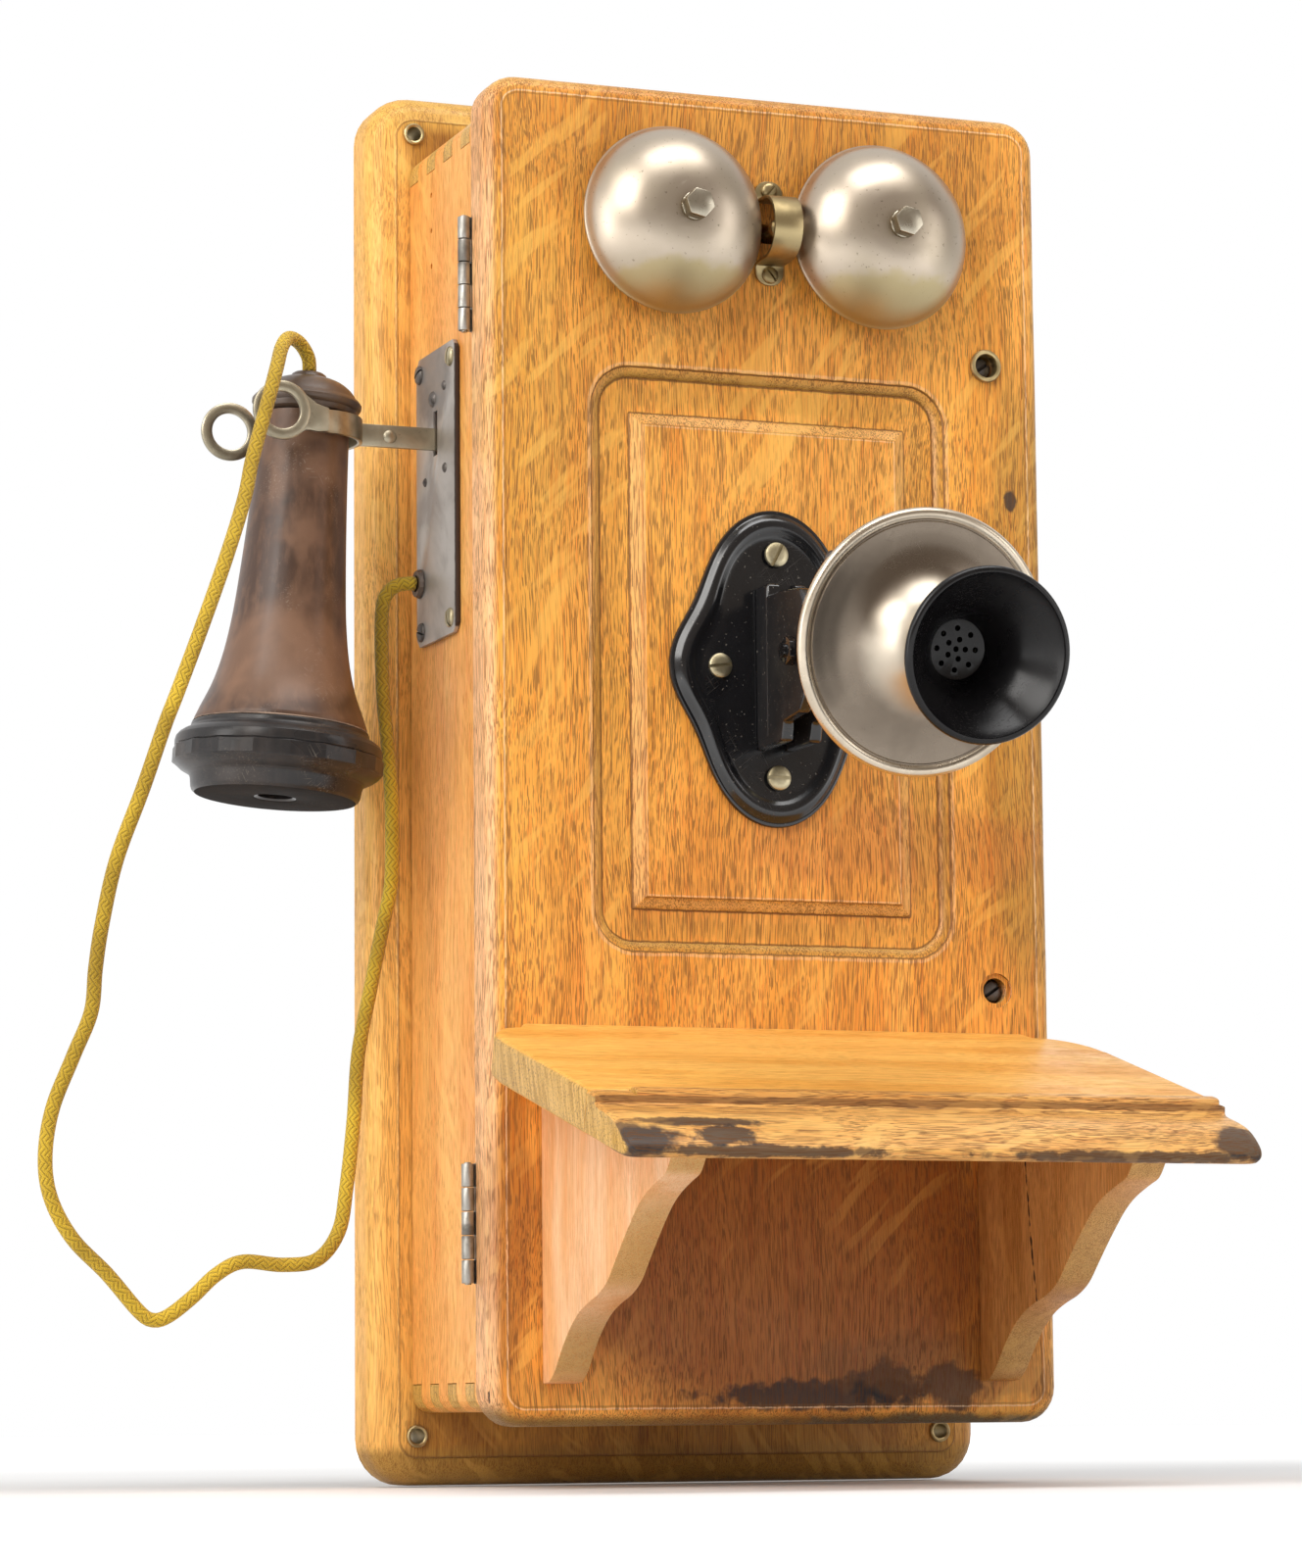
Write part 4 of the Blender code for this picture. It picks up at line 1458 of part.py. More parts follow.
# Receiver cord in mm: from the dome over the fork, down in front, and back up to the side plate
cord_start = REC @ Vector((0, 0, REC_TOP_H + SEAT))
cord_end = Vector((SIDE_FACE - 2 * SEAT - BUSH_T, CORD_HOLE_Y, CORD_HOLE_Z))
CORD_RUN_IN = Vector((-2.4 * MM, 0, 0))
ROUTE = (
    (-148.4, -54.3, 140.0), (-152.2, -56.6, 144.4), (-157.8, -62.4, 144.6), (-162.8, -70.6, 139.4),
    (-166.8, -78.0, 130.6), (-170.4, -82.2, 120.6), (-174.2, -84.4, 108.4), (-178.2, -87.0, 95.6),
    (-181.6, -89.6, 82.0), (-189.4, -94.6, 60.4), (-198.4, -97.6, 36.6), (-206.9, -98.2, 14.0),
    (-211.0, -97.6, 3.0), (-217.6, -95.0, -18.0), (-225.0, -90.0, -41.0), (-228.4, -85.0, -61.5),
    (-229.3, -80.0, -76.0), (-229.4, -75.0, -90.0), (-234.4, -71.0, -104.6), (-240.0, -66.0, -121.6),
    (-241.6, -63.0, -137.6), (-239.0, -61.0, -151.0), (-231.4, -60.0, -164.0), (-219.6, -60.0, -175.6),
    (-209.0, -60.0, -187.6), (-204.0, -60.0, -190.8), (-198.6, -60.0, -189.4), (-190.6, -60.0, -183.4),
    (-182.0, -60.0, -175.6), (-173.0, -60.0, -171.4), (-159.0, -60.0, -172.4), (-147.0, -60.0, -170.6),
    (-138.8, -58.0, -161.0), (-135.4, -56.0, -146.0), (-131.6, -52.0, -123.4), (-128.6, -48.0, -100.0),
    (-123.6, -46.0, -77.6), (-118.6, -45.0, -54.6), (-115.4, -44.0, -40.0), (-114.8, -43.0, -15.0),
    (-115.9, -42.0, 8.0), (-117.0, -41.0, 22.0), (-117.2, -39.8, 36.0), (-117.0, -38.6, 47.0),
    (-116.4, -37.6, 56.0), (-114.9, -37.0, 61.2), (-111.4, -36.9, 64.8),
)


# A smooth curve through the points, read at an even step
def smooth_route(points, step):
    dense = []
    last = len(points) - 1
    for i in range(last):
        p1 = points[i]
        p2 = points[i + 1]
        lead = (p2 - points[max(i - 1, 0)]) / 2
        trail = (points[min(i + 2, last)] - p1) / 2
        for k in range(12):
            t = k / 12
            ease = t * t * (3 - 2 * t)
            dense.append(p1.lerp(p2, ease) + lead * t * (1 - t) ** 2 - trail * t * t * (1 - t))
    dense.append(points[-1])
    total = sum((b - a).length for a, b in zip(dense, dense[1:]))
    count = round(total / step)
    even = [dense[0]]
    walked = 0.0
    for a, b in zip(dense, dense[1:]):
        length = (b - a).length
        while walked + length >= total / count * len(even) and len(even) < count:
            even.append(a.lerp(b, (total / count * len(even) - walked) / length))
        walked += length
    return even + [dense[-1]]


route = [cord_start] + [Vector(point) * MM for point in ROUTE] + [cord_end + CORD_RUN_IN, cord_end]
cord_points = smooth_route(route, CORD_R * 5)
cord_curve = bpy.data.curves.new("receiver_cord", "CURVE")
cord_curve.dimensions = "3D"
cord_curve.bevel_depth = CORD_R
cord_curve.bevel_resolution = 2
cord_curve.use_fill_caps = True
spline = cord_curve.splines.new("POLY")
spline.points.add(len(cord_points) - 1)
for point, co in zip(spline.points, cord_points):
    point.co = (*co, 1.0)
cord = bpy.data.objects.new("receiver_cord", cord_curve)
PART.objects.link(cord)
dress(cord, "cotton")

# Joint origins: every moving piece stands on its own axis
ORIGINS = {
    "door_board": Vector((HINGE_X, HINGE_Y, 0.0)),
    "clapper": Vector((0.0, CLAP_Y, CLAP_PIVOT_Z)),
    "transmitter_cup": pivot,
    "hook_lever": Vector((HOOK_PIVOT_X, HOOK_Y, HOOK_Z)),
    "receiver_shell": REC_BASE,
    "crank_shaft": Vector((SHAFT_IN, CRANK_Y, CRANK_Z)),
    "crank_knob": Vector((KNOB_X0, CRANK_Y, KNOB_Z)),
    "armature": Vector((END_LEFT, CRANK_Y, ARMATURE_Z)),
}
CHILDREN = {
    "door_board": ("hinge_upper_door_leaf", "hinge_lower_door_leaf", "lock_screw_upper", "lock_screw_lower",
                   "door_eyelet", "gong_left", "gong_right", "gong_post_left", "gong_post_right",
                   "striker_hood", "ringer_frame", "ringer_coil_left", "ringer_coil_right", "ringer_magnet",
                   "transmitter_bracket", "pivot_bolt", "shelf_board", "shelf_front_strip",
                   "shelf_bracket_left", "shelf_bracket_right", "clapper", "transmitter_cup"),
    "transmitter_cup": ("faceplate", "mouthpiece", "carbon_capsule", "transmitter_diaphragm"),
    "receiver_shell": ("receiver_cap", "receiver_dome", "receiver_magnet"),
    "crank_shaft": ("crank_arm", "crank_knob"),
}
for name, at in ORIGINS.items():
    obj = bpy.data.objects[name]
    obj.data.transform(Matrix.Translation(-at))
    obj.location = at
bpy.context.view_layer.update()
for name, children in CHILDREN.items():
    parent = bpy.data.objects[name]
    for child in children:
        obj = bpy.data.objects[child]
        place = obj.matrix_world.copy()
        obj.parent = parent
        obj.matrix_parent_inverse = parent.matrix_world.inverted()
        obj.matrix_world = place
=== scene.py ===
from math import copysign, cos, pi, radians, sin, tan

import bmesh
import bpy
from mathutils import Matrix, Vector, noise


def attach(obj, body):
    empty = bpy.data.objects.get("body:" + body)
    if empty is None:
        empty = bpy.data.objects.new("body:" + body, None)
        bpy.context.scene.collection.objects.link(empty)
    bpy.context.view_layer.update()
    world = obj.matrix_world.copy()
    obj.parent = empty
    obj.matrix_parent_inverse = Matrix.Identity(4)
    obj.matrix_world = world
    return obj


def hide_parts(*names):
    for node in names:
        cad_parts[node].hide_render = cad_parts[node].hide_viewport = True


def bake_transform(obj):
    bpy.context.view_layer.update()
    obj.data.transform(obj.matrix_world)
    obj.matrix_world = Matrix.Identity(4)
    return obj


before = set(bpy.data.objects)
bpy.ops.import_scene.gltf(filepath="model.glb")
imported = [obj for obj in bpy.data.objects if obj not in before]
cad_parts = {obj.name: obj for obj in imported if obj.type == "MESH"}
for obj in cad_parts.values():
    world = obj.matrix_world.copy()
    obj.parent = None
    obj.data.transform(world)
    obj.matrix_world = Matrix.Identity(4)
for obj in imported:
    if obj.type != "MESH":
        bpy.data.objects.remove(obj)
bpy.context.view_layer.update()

MM = 0.001
TAU = 2 * pi
X, Y, Z = Vector((1, 0, 0)), Vector((0, 1, 0)), Vector((0, 0, 1))
scene = bpy.context.scene

# Camera at the photograph's angle
YAW, PITCH, ROLL = radians(21.025), radians(7.416), -0.00896
look = Vector((sin(YAW) * cos(PITCH), cos(YAW) * cos(PITCH), sin(PITCH)))
level = Vector((cos(YAW), -sin(YAW), 0))
head = level.cross(look)
right = level * cos(ROLL) + head * sin(ROLL)
above = head * cos(ROLL) - level * sin(ROLL)
camera = bpy.data.objects.new("camera", bpy.data.cameras.new("camera"))
scene.collection.objects.link(camera)
camera.data.lens = 111.75
camera.data.sensor_width = 36
camera.data.clip_start = 0.05
camera.data.clip_end = 50
camera.matrix_world = Matrix(((right.x, above.x, -look.x, -0.6308), (right.y, above.y, -look.y, -1.6359),
        (right.z, above.z, -look.z, -0.2243), (0, 0, 0, 1)))
scene.camera = camera


def placed(name, data):
    obj = bpy.data.objects.new(name, data)
    scene.collection.objects.link(obj)
    return obj


# Node trees are written through this short hand
class Net:
    def __init__(self, tree):
        self.tree = tree

    def add(self, kind, inputs=None, **settings):
        node = self.tree.nodes.new("ShaderNode" + kind)
        for name, value in settings.items():
            setattr(node, name, value)
        for name, value in (inputs or {}).items():
            self.put(node.inputs[name], value)
        return node

    def put(self, socket, value):
        if isinstance(value, bpy.types.NodeSocket):
            self.tree.links.new(value, socket)
        elif socket.type == "RGBA" and len(value) == 3:
            socket.default_value = (*value, 1)
        else:
            socket.default_value = value

    def math(self, kind, *values, clamp=False):
        node = self.add("Math", operation=kind, use_clamp=clamp)
        for socket, value in zip(node.inputs, values):
            self.put(socket, value)
        return node.outputs[0]

    def times(self, a, b):
        return self.math("MULTIPLY", a, b)

    def plus(self, a, b):
        return self.math("ADD", a, b)

    def minus(self, a, b):
        return self.math("SUBTRACT", a, b)

    def most(self, a, b):
        return self.math("MAXIMUM", a, b)

    def size(self, value):
        return self.math("ABSOLUTE", value)

    def vector(self, kind, *values):
        node = self.add("VectorMath", operation=kind)
        for socket, value in zip(node.inputs, values):
            self.put(socket, value)
        return node.outputs["Value" if kind in ("DOT_PRODUCT", "LENGTH", "DISTANCE") else "Vector"]

    def mix(self, share, a, b, kind="MIX"):
        node = self.add("Mix", data_type="RGBA", blend_type=kind, clamp_factor=True)
        for index, value in ((0, share), (6, a), (7, b)):
            self.put(node.inputs[index], value)
        return node.outputs[2]

    def over(self, colour, mask, share, tint, kind="MIX"):
        return self.mix(self.times(mask, share), colour, tint, kind)

    def step(self, value, low, high, to_low=0, to_high=1):
        return self.add("MapRange", {"Value": value, "From Min": low, "From Max": high, "To Min": to_low,
                "To Max": to_high}, interpolation_type="SMOOTHSTEP").outputs[0]

    def scaled(self, vector, factors):
        return self.vector("MULTIPLY", vector, factors)

    def noise(self, vector, scale=1, detail=2, rough=0.5, twist=0):
        return self.add("TexNoise", {"Vector": vector, "Scale": scale, "Detail": detail, "Roughness": rough,
                "Distortion": twist}).outputs["Fac"]

    def bump(self, height, strength, distance):
        return self.add("Bump", {"Height": height, "Strength": strength, "Distance": distance}).outputs[0]

    def coords(self, shift=(0, 0, 0), turn=(0, 0, 0)):
        place = self.add("TexCoord").outputs["Object"]
        return self.add("Mapping", {"Vector": place, "Location": shift, "Rotation": turn,
                "Scale": (1000, 1000, 1000)}).outputs[0]

    def call(self, tree, **inputs):
        node = self.add("Group", node_tree=tree)
        for name, value in inputs.items():
            self.put(node.inputs[name], value)
        return node.outputs


def effect(name, inputs, outputs):
    tree = bpy.data.node_groups.new(name, "ShaderNodeTree")
    for label, kind, value in inputs:
        socket = tree.interface.new_socket(name=label, in_out="INPUT", socket_type="NodeSocket" + kind)
        if value is not None:
            socket.default_value = value
    for label, kind in outputs:
        tree.interface.new_socket(name=label, in_out="OUTPUT", socket_type="NodeSocket" + kind)
    net = Net(tree)
    return net, tree.nodes.new("NodeGroupInput").outputs, tree.nodes.new("NodeGroupOutput").inputs


# Oak with its grain along Z, on millimetres: broad tone, hair streaks, open pores, ray flecks, relief
net, given, out = effect("oak_grain", [("Place", "Vector", None), ("Fleck lean", "Float", 0.6)],
    [("Tone", "Float"), ("Streaks", "Float"), ("Pores", "Float"), ("Flecks", "Float"), ("Relief", "Float")])
sway = net.add("TexNoise", {"Vector": given["Place"], "Scale": 0.011, "Detail": 1}).outputs["Color"]
sway = net.vector("SUBTRACT", sway, (0.5, 0.5, 0.5))
grain = net.vector("ADD", given["Place"], net.scaled(sway, (10, 10, 40)))
tone = net.noise(net.scaled(grain, (0.055, 0.055, 0.008)), 1, 3, 0.55)
streaks = net.noise(net.scaled(grain, (1.5, 1.5, 0.02)), 1, 3, 0.65)
rings = net.noise(net.scaled(grain, (0.42, 0.42, 0.006)), 1, 1)
cells = net.noise(net.scaled(grain, (3.6, 3.6, 0.13)), 1, 1, 0.4)
pores = net.step(net.plus(cells, net.times(rings, 0.24)), 0.63, 0.71)
leaned = net.add("VectorRotate", {"Vector": grain, "Angle": given["Fleck lean"]},
    rotation_type="Y_AXIS").outputs[0]
fleck = net.noise(net.scaled(leaned, (0.15, 0.15, 0.022)), 1, 2, 0.45)
where = net.noise(net.scaled(given["Place"], (0.017, 0.017, 0.012)), 1, 1)
flecks = net.times(net.step(fleck, 0.55, 0.62), net.step(where, 0.4, 0.58))
shown = net.times(pores, net.minus(1, net.times(flecks, 0.65)))
relief = net.minus(net.times(streaks, 0.25), shown)
for label, value in (("Tone", tone), ("Streaks", streaks), ("Pores", shown), ("Flecks", flecks),
        ("Relief", relief)):
    net.put(out[label], value)

# End grain: fine rings cut across, with pores as dots
net, given, out = effect("end_grain", [("Place", "Vector", None)], [("Rings", "Float"), ("Dots", "Float")])
rings_at = net.vector("ADD", given["Place"], (0, 40, 30))
net.put(out["Rings"], net.noise(net.scaled(rings_at, (0.05, 0.7, 0.9)), 1, 3, 0.6, 0.4))
net.put(out["Dots"], net.step(net.noise(rings_at, 1.6, 1), 0.56, 0.66))

# A soft patch with a ragged edge round a point, for stains and for painted light and shade: 1 in its middle,
# 0 outside
net, given, out = effect("ragged_patch", [("Place", "Vector", None), ("Centre", "Vector", None),
        ("Reach", "Vector", (1, 1, 1)), ("Raggedness", "Float", 0.6), ("Fineness", "Float", 0.2)],
    [("Mask", "Float")])
away = net.vector("DIVIDE", net.vector("SUBTRACT", given["Place"], given["Centre"]), given["Reach"])
rag = net.minus(net.noise(given["Place"], given["Fineness"], 3, 0.6), 0.5)
reach = net.plus(net.vector("LENGTH", away), net.times(rag, net.times(given["Raggedness"], 2)))
net.put(out["Mask"], net.step(reach, 1.1, 0.7))

# Distance in millimetres from a rounded rectangle standing in the XZ plane, less than 0 inside it
net, given, out = effect("outline_distance", [("Place", "Vector", None), ("Centre", "Vector", None),
        ("Core", "Vector", None), ("Corner", "Float", 1)], [("Distance", "Float")])
flat = net.scaled(net.vector("SUBTRACT", given["Place"], given["Centre"]), (1, 0, 1))
past = net.vector("SUBTRACT", net.vector("ABSOLUTE", flat), given["Core"])
sides = net.add("SeparateXYZ", {0: past}).outputs
inward = net.math("MINIMUM", net.most(sides[0], sides[2]), 0)
outward = net.vector("LENGTH", net.vector("MAXIMUM", past, (0, 0, 0)))
net.put(out["Distance"], net.minus(net.plus(outward, inward), given["Corner"]))

# Handling marks: hair scratches in three directions, dull smudges and small pits
net, given, out = effect("handling_marks", [("Place", "Vector", None), ("Size", "Float", 1)],
    [("Scratches", "Float"), ("Smudges", "Float"), ("Pits", "Float")])
place = net.vector("SCALE", given["Place"])
net.tree.links.new(given["Size"], place.node.inputs["Scale"])
broken = net.step(net.noise(place, 0.06, 1), 0.52, 0.62)
hair = []
for lean, across in ((0.5, 3.4), (-0.9, 2.9), (1.6, 3.8)):
    turned_to = net.add("VectorRotate", {"Vector": place, "Angle": lean}, rotation_type="Y_AXIS").outputs[0]
    wave = net.noise(net.scaled(turned_to, (across, across, 0.12)), 1, 0)
    hair.append(net.step(wave, 0.74, 0.78))
scratches = net.most(hair[0], net.most(hair[1], hair[2]))
net.put(out["Scratches"], net.times(scratches, broken))
net.put(out["Smudges"], net.noise(place, 0.05, 3, 0.55, 0.4))
net.put(out["Pits"], net.step(net.noise(place, 0.9, 2), 0.68, 0.73))


# The sockets of a material's own shader, set by name
class Surface:
    def __init__(self, net, node):
        self.net, self.node = net, node

    def __setitem__(self, name, value):
        self.net.put(self.node.inputs[name], value)


def blank(name):
    mat = bpy.data.materials.new(name)
    mat.use_nodes = True
    net = Net(mat.node_tree)
    return mat, net, Surface(net, mat.node_tree.nodes["Principled BSDF"])


GROUPS = bpy.data.node_groups
GOLD, HONEY, PORE = (1, 0.455, 0.078), (0.82, 0.335, 0.044), (0.13, 0.05, 0.012)
OLIVE, TAN, PINK, PALE_WEAR_AND_HIGHLIGHT = (0.46, 0.245, 0.035), (0.76, 0.455, 0.125), (0.93, 0.56, 0.3), (1, 0.7, 0.42)
RED_OAK_AND_SHELF_SHADE, BRIGHT = (0.3, 0.09, 0.014), (0.55, 0.27, 0.06)
CHAR, DIRT_AND_SHADE = (0.018, 0.018, 0.022), (0.2, 0.085, 0.018)

# Outlines that dirt, worn edges and painted shade and highlight follow: centre, core (half size less the
# corner) and corner radius
DOOR_LINE = ((0, 0, 2), (91.3, 1000, 217), 12)
PANEL_LINE = ((0, 0, 31.6), (51.3, 1000, 85.9), 14.5)
FIELD_LINE = ((0, 0, 31), (50.6, 1000, 84.6), 0.6)
BACK_LINE = ((0, 0, 0), (99, 1000, 231), 16)


# Stains, and painted light and shade, laid over a colour, with their masks: (centre, reach, tint, share,
# raggedness, fineness)
def stain_and_paint_light(net, place, colour, stains_and_painted_light):
    masks = []
    for centre, size, tint, share, rag, fine in stains_and_painted_light:
        mask = net.call(GROUPS["ragged_patch"], Place=place, Centre=centre, Reach=size, Raggedness=rag,
            Fineness=fine)["Mask"]
        colour = net.over(colour, mask, share, tint)
        masks.append((mask, share, sum(tint)))
    return colour, masks


# One oak material. edges: (facing, tint, share), tints on faces that turn one way, for end-grain tone and for
# painted light and shade; lines: (outline, offset, half width, tint, share), lines along outlines for dirt,
# wear and painted shade and highlight
def oak(name, light=GOLD, dark=HONEY, turn=(0, 0, 0), shift=(0, 0, 0), pores=0.8, flecks=0.5, lean=0.65,
        edges=(), stains_and_painted_light=(), lines=(), rough=0.4, tone=(0.36, 0.62), end_axis=None, cracks=()):
    mat, net, shader = blank(name)
    place = net.coords()
    cut = net.coords(shift, turn)
    grain = net.call(GROUPS["oak_grain"], **{"Place": cut, "Fleck lean": lean})
    colour = net.mix(net.step(grain["Tone"], *tone), dark, light)
    normal = net.add("TexCoord").outputs["Normal"]
    for axis, tint, share in edges:
        facing = net.step(net.vector("DOT_PRODUCT", normal, axis), 0.2, 0.75)
        colour = net.over(colour, facing, share, tint)
    colour, masks = stain_and_paint_light(net, place, colour, stains_and_painted_light)
    dull = 0
    for mask, share, light_of in masks:
        if light_of < 0.2:
            dull = net.plus(dull, net.times(mask, 0.15))
    colour = net.over(colour, net.step(grain["Streaks"], 0.46, 0.68), 0.42, dark, "MULTIPLY")
    colour = net.over(colour, grain["Flecks"], flecks, BRIGHT, "SCREEN")
    waver = net.minus(net.noise(place, 0.35, 2), 0.5)
    for (centre, core, corner), offset, width, tint, share in lines:
        away = net.call(GROUPS["outline_distance"], Place=place, Centre=centre, Core=core,
            Corner=corner)["Distance"]
        away = net.plus(away, net.times(waver, width * 1.4))
        line = net.step(net.size(net.minus(away, offset)), width, width * 0.25)
        colour = net.over(colour, line, share, tint)
    open_pores = grain["Pores"]
    if end_axis:
        facing = net.size(net.vector("DOT_PRODUCT", normal, end_axis))
        ends = net.step(facing, 0.55, 0.9)
        seen = net.call(GROUPS["end_grain"], Place=cut)
        end_colour = net.mix(net.step(seen["Rings"], 0.35, 0.65), OLIVE, TAN)
        colour = net.mix(ends, colour, net.mix(net.times(seen["Dots"], 0.6), end_colour, PORE))
        open_pores = net.times(open_pores, net.minus(1, ends))
    colour = net.over(colour, open_pores, pores, PORE)
    dull = net.plus(dull, net.times(open_pores, 0.25))
    relief = grain["Relief"]
    for points, width in cracks:
        line = crack(net, place, points, width)
        colour = net.mix(line, colour, (0.03, 0.015, 0.006))
        relief = net.minus(relief, net.times(line, 2))
    shader["Base Color"] = colour
    marks = net.call(GROUPS["handling_marks"], Place=place, Size=0.6)
    shader["Roughness"] = net.plus(net.step(marks["Smudges"], 0.3, 0.7, rough - 0.06, rough + 0.08), dull)
    shader["Specular IOR Level"] = 0.35
    shader["Coat Weight"] = 0.1
    shader["Coat Roughness"] = 0.25
    relief = net.minus(relief, net.times(marks["Scratches"], 0.3))
    shader["Normal"] = net.bump(relief, 0.45, 0.0003)
    return mat


# A crack along straight legs between points, 1 inside it
def crack(net, place, points, width):
    best = None
    wander = net.times(net.minus(net.noise(place, 0.25, 3), 0.5), 3)
    for a, b in zip(points, points[1:]):
        start, leg = Vector(a), Vector(b) - Vector(a)
        from_start = net.vector("SUBTRACT", place, tuple(start))
        share = net.math("DIVIDE", net.vector("DOT_PRODUCT", from_start, tuple(leg)), leg.length_squared,
            clamp=True)
        foot = net.add("VectorMath", {0: tuple(leg)}, operation="SCALE")
        net.put(foot.inputs["Scale"], share)
        away = net.vector("LENGTH", net.vector("SUBTRACT", from_start, foot.outputs[0]))
        best = away if best is None else net.math("MINIMUM", best, away)
    return net.step(net.plus(best, wander), width, width * 0.4)


# One metal: polished tone, tarnish, its roughness, and how much tarnish, pits, stains and painted light and
# shade show
def metal(name, tint, tarnish, rough, spread=0.08, worn=0.4, metallic=1, pits=0, size=1, stains_and_painted_light=(),
        scratch=0.1):
    mat, net, shader = blank(name)
    place = net.coords()
    marks = net.call(GROUPS["handling_marks"], Place=place, Size=size)
    film = net.times(net.step(marks["Smudges"], 0.4, 0.68), worn)
    colour = net.mix(film, tint, tarnish)
    colour = net.over(colour, marks["Pits"], pits, tuple(0.45 * c for c in tarnish))
    colour, masks = stain_and_paint_light(net, place, colour, stains_and_painted_light)
    extra = 0
    for mask, share, light_of in masks:
        extra = net.plus(extra, net.times(mask, 0.12 * share))
    shader["Base Color"] = colour
    shader["Metallic"] = metallic
    gloss = net.plus(net.step(marks["Smudges"], 0.3, 0.7, rough, rough + spread),
        net.times(marks["Scratches"], scratch))
    shader["Roughness"] = net.plus(gloss, extra)
    relief = net.plus(net.times(marks["Scratches"], -0.4), net.times(marks["Pits"], -pits))
    shader["Normal"] = net.bump(relief, 0.12, 0.0001)
    return mat


# Hard rubber and black japan: a dark body with brown bloom where it has faded
def moulded(name, tint, faded, rough, bloom=(0.45, 0.7), share=0.6, speck=0, coat=0, stains_and_painted_light=(),
        scratch=0.12, mottled=0.5, shine=0.5):
    mat, net, shader = blank(name)
    place = net.coords()
    marks = net.call(GROUPS["handling_marks"], Place=place, Size=0.8)
    colour = net.mix(net.times(net.step(marks["Smudges"], *bloom), share), tint, faded)
    mottle = net.noise(net.scaled(place, (0.32, 0.32, 0.1)), 1, 4, 0.65)
    colour = net.over(colour, net.step(mottle, 0.45, 0.7), share * mottled, faded)
    colour = net.over(colour, marks["Scratches"], scratch, (0.45, 0.38, 0.3))
    if speck:
        dots = net.step(net.noise(place, 1.1, 1), 0.72, 0.76)
        colour = net.over(colour, dots, speck, (0.42, 0.38, 0.32))
    colour = stain_and_paint_light(net, place, colour, stains_and_painted_light)[0]
    shader["Base Color"] = colour
    gloss = net.step(marks["Smudges"], 0.3, 0.7, rough, rough + 0.12)
    shader["Roughness"] = net.plus(gloss, net.times(marks["Scratches"], 0.1))
    shader["Specular IOR Level"] = shine
    shader["Coat Weight"] = coat
    shader["Coat Roughness"] = 0.12
    height = net.plus(net.times(mottle, 0.5), net.times(marks["Scratches"], -0.4))
    shader["Normal"] = net.bump(height, 0.1, 0.0002)
    return mat


# Lines round the routed panel, the field and the door's rounded edge: darker bands on the recess floor and
# slopes are painted shade, dark lines in the creases are dirt with painted shade, the paler band round the
# field is painted highlight, and pale lines on the arrises are wear with painted highlight
PANEL_LINES = ((PANEL_LINE, -9, 6, (0.55, 0.28, 0.045), 0.35), (PANEL_LINE, -1.9, 2.2, (0.5, 0.26, 0.04),
        0.6), (PANEL_LINE, -0.1, 0.5, DIRT_AND_SHADE, 0.8), (PANEL_LINE, -3.7, 0.6, DIRT_AND_SHADE, 0.8),
    (PANEL_LINE, 0.9, 0.8, PALE_WEAR_AND_HIGHLIGHT, 0.3), (FIELD_LINE, -2, 2.2, (0.9, 0.5, 0.16), 0.45),
    (FIELD_LINE, 0.1, 0.6, DIRT_AND_SHADE, 0.8), (FIELD_LINE, -4.6, 0.35, PALE_WEAR_AND_HIGHLIGHT, 0.4),
    (FIELD_LINE, -4, 0.35, DIRT_AND_SHADE, 0.4), (DOOR_LINE, -5.7, 0.4, PALE_WEAR_AND_HIGHLIGHT, 0.6),
    (DOOR_LINE, -6.5, 0.5, DIRT_AND_SHADE, 0.45))
OAK = {}
# Door oak: faces turned left are paler, painted light, and faces turned down are darker, painted shade
OAK["door"] = oak("oak_door", flecks=0.32, lean=-0.7, pores=0.66, edges=((-X, PINK, 0.75), (X, TAN, 0.6),
        (Z, TAN, 0.85), (-Z, (0.29, 0.165, 0.028), 0.95)),
    stains_and_painted_light=(((0, -112, 206), (125, 60, 38), (0.56, 0.225, 0.03), 0.6, 0.4, 0.02),
        ((-88, -112, 120), (16, 60, 90), (0.7, 0.36, 0.06), 0.55, 0.5, 0.02),
        ((96, -112, 30), (20, 60, 120), (0.42, 0.215, 0.03), 0.6, 0.5, 0.02),
        ((45, -112, -30), (60, 60, 16), (0.62, 0.22, 0.04), 0.5, 0.5, 0.03),
        # Under the shelf: redder, less faded oak, darkened further as painted shade of the shelf
        ((0, -112, -166), (102, 60, 66), RED_OAK_AND_SHELF_SHADE, 0.85, 0.2, 0.02), ((-96, -112, -160), (8, 60, 60),
            RED_OAK_AND_SHELF_SHADE, 0.5, 0.4, 0.03), ((14, -112.3, -217), (44, 4, 5.5), CHAR, 0.9, 0.8, 0.14),
        ((38, -112.3, -213), (15, 4, 8), CHAR, 0.9, 0.8, 0.14), ((62, -112.3, -214.5), (12, 4, 8.5), CHAR,
            0.9, 0.7, 0.14), ((60, -112.3, -208), (54, 4, 13), DIRT_AND_SHADE, 0.45, 0.8, 0.08),
        ((90.8, -112.3, 93.6), (2.6, 3, 4.4), CHAR, 0.9, 0.4, 0.3), ((60, -104, -227), (60, 16, 4),
            (0.1, 0.09, 0.05), 0.8, 0.9, 0.1)), lines=PANEL_LINES,
    cracks=((((-99.5, -110.5, -129), (-98.4, -110.8, -155), (-97.6, -111, -182), (-99.3, -110.6, -197),
            (-103, -108, -219)), 0.55),))
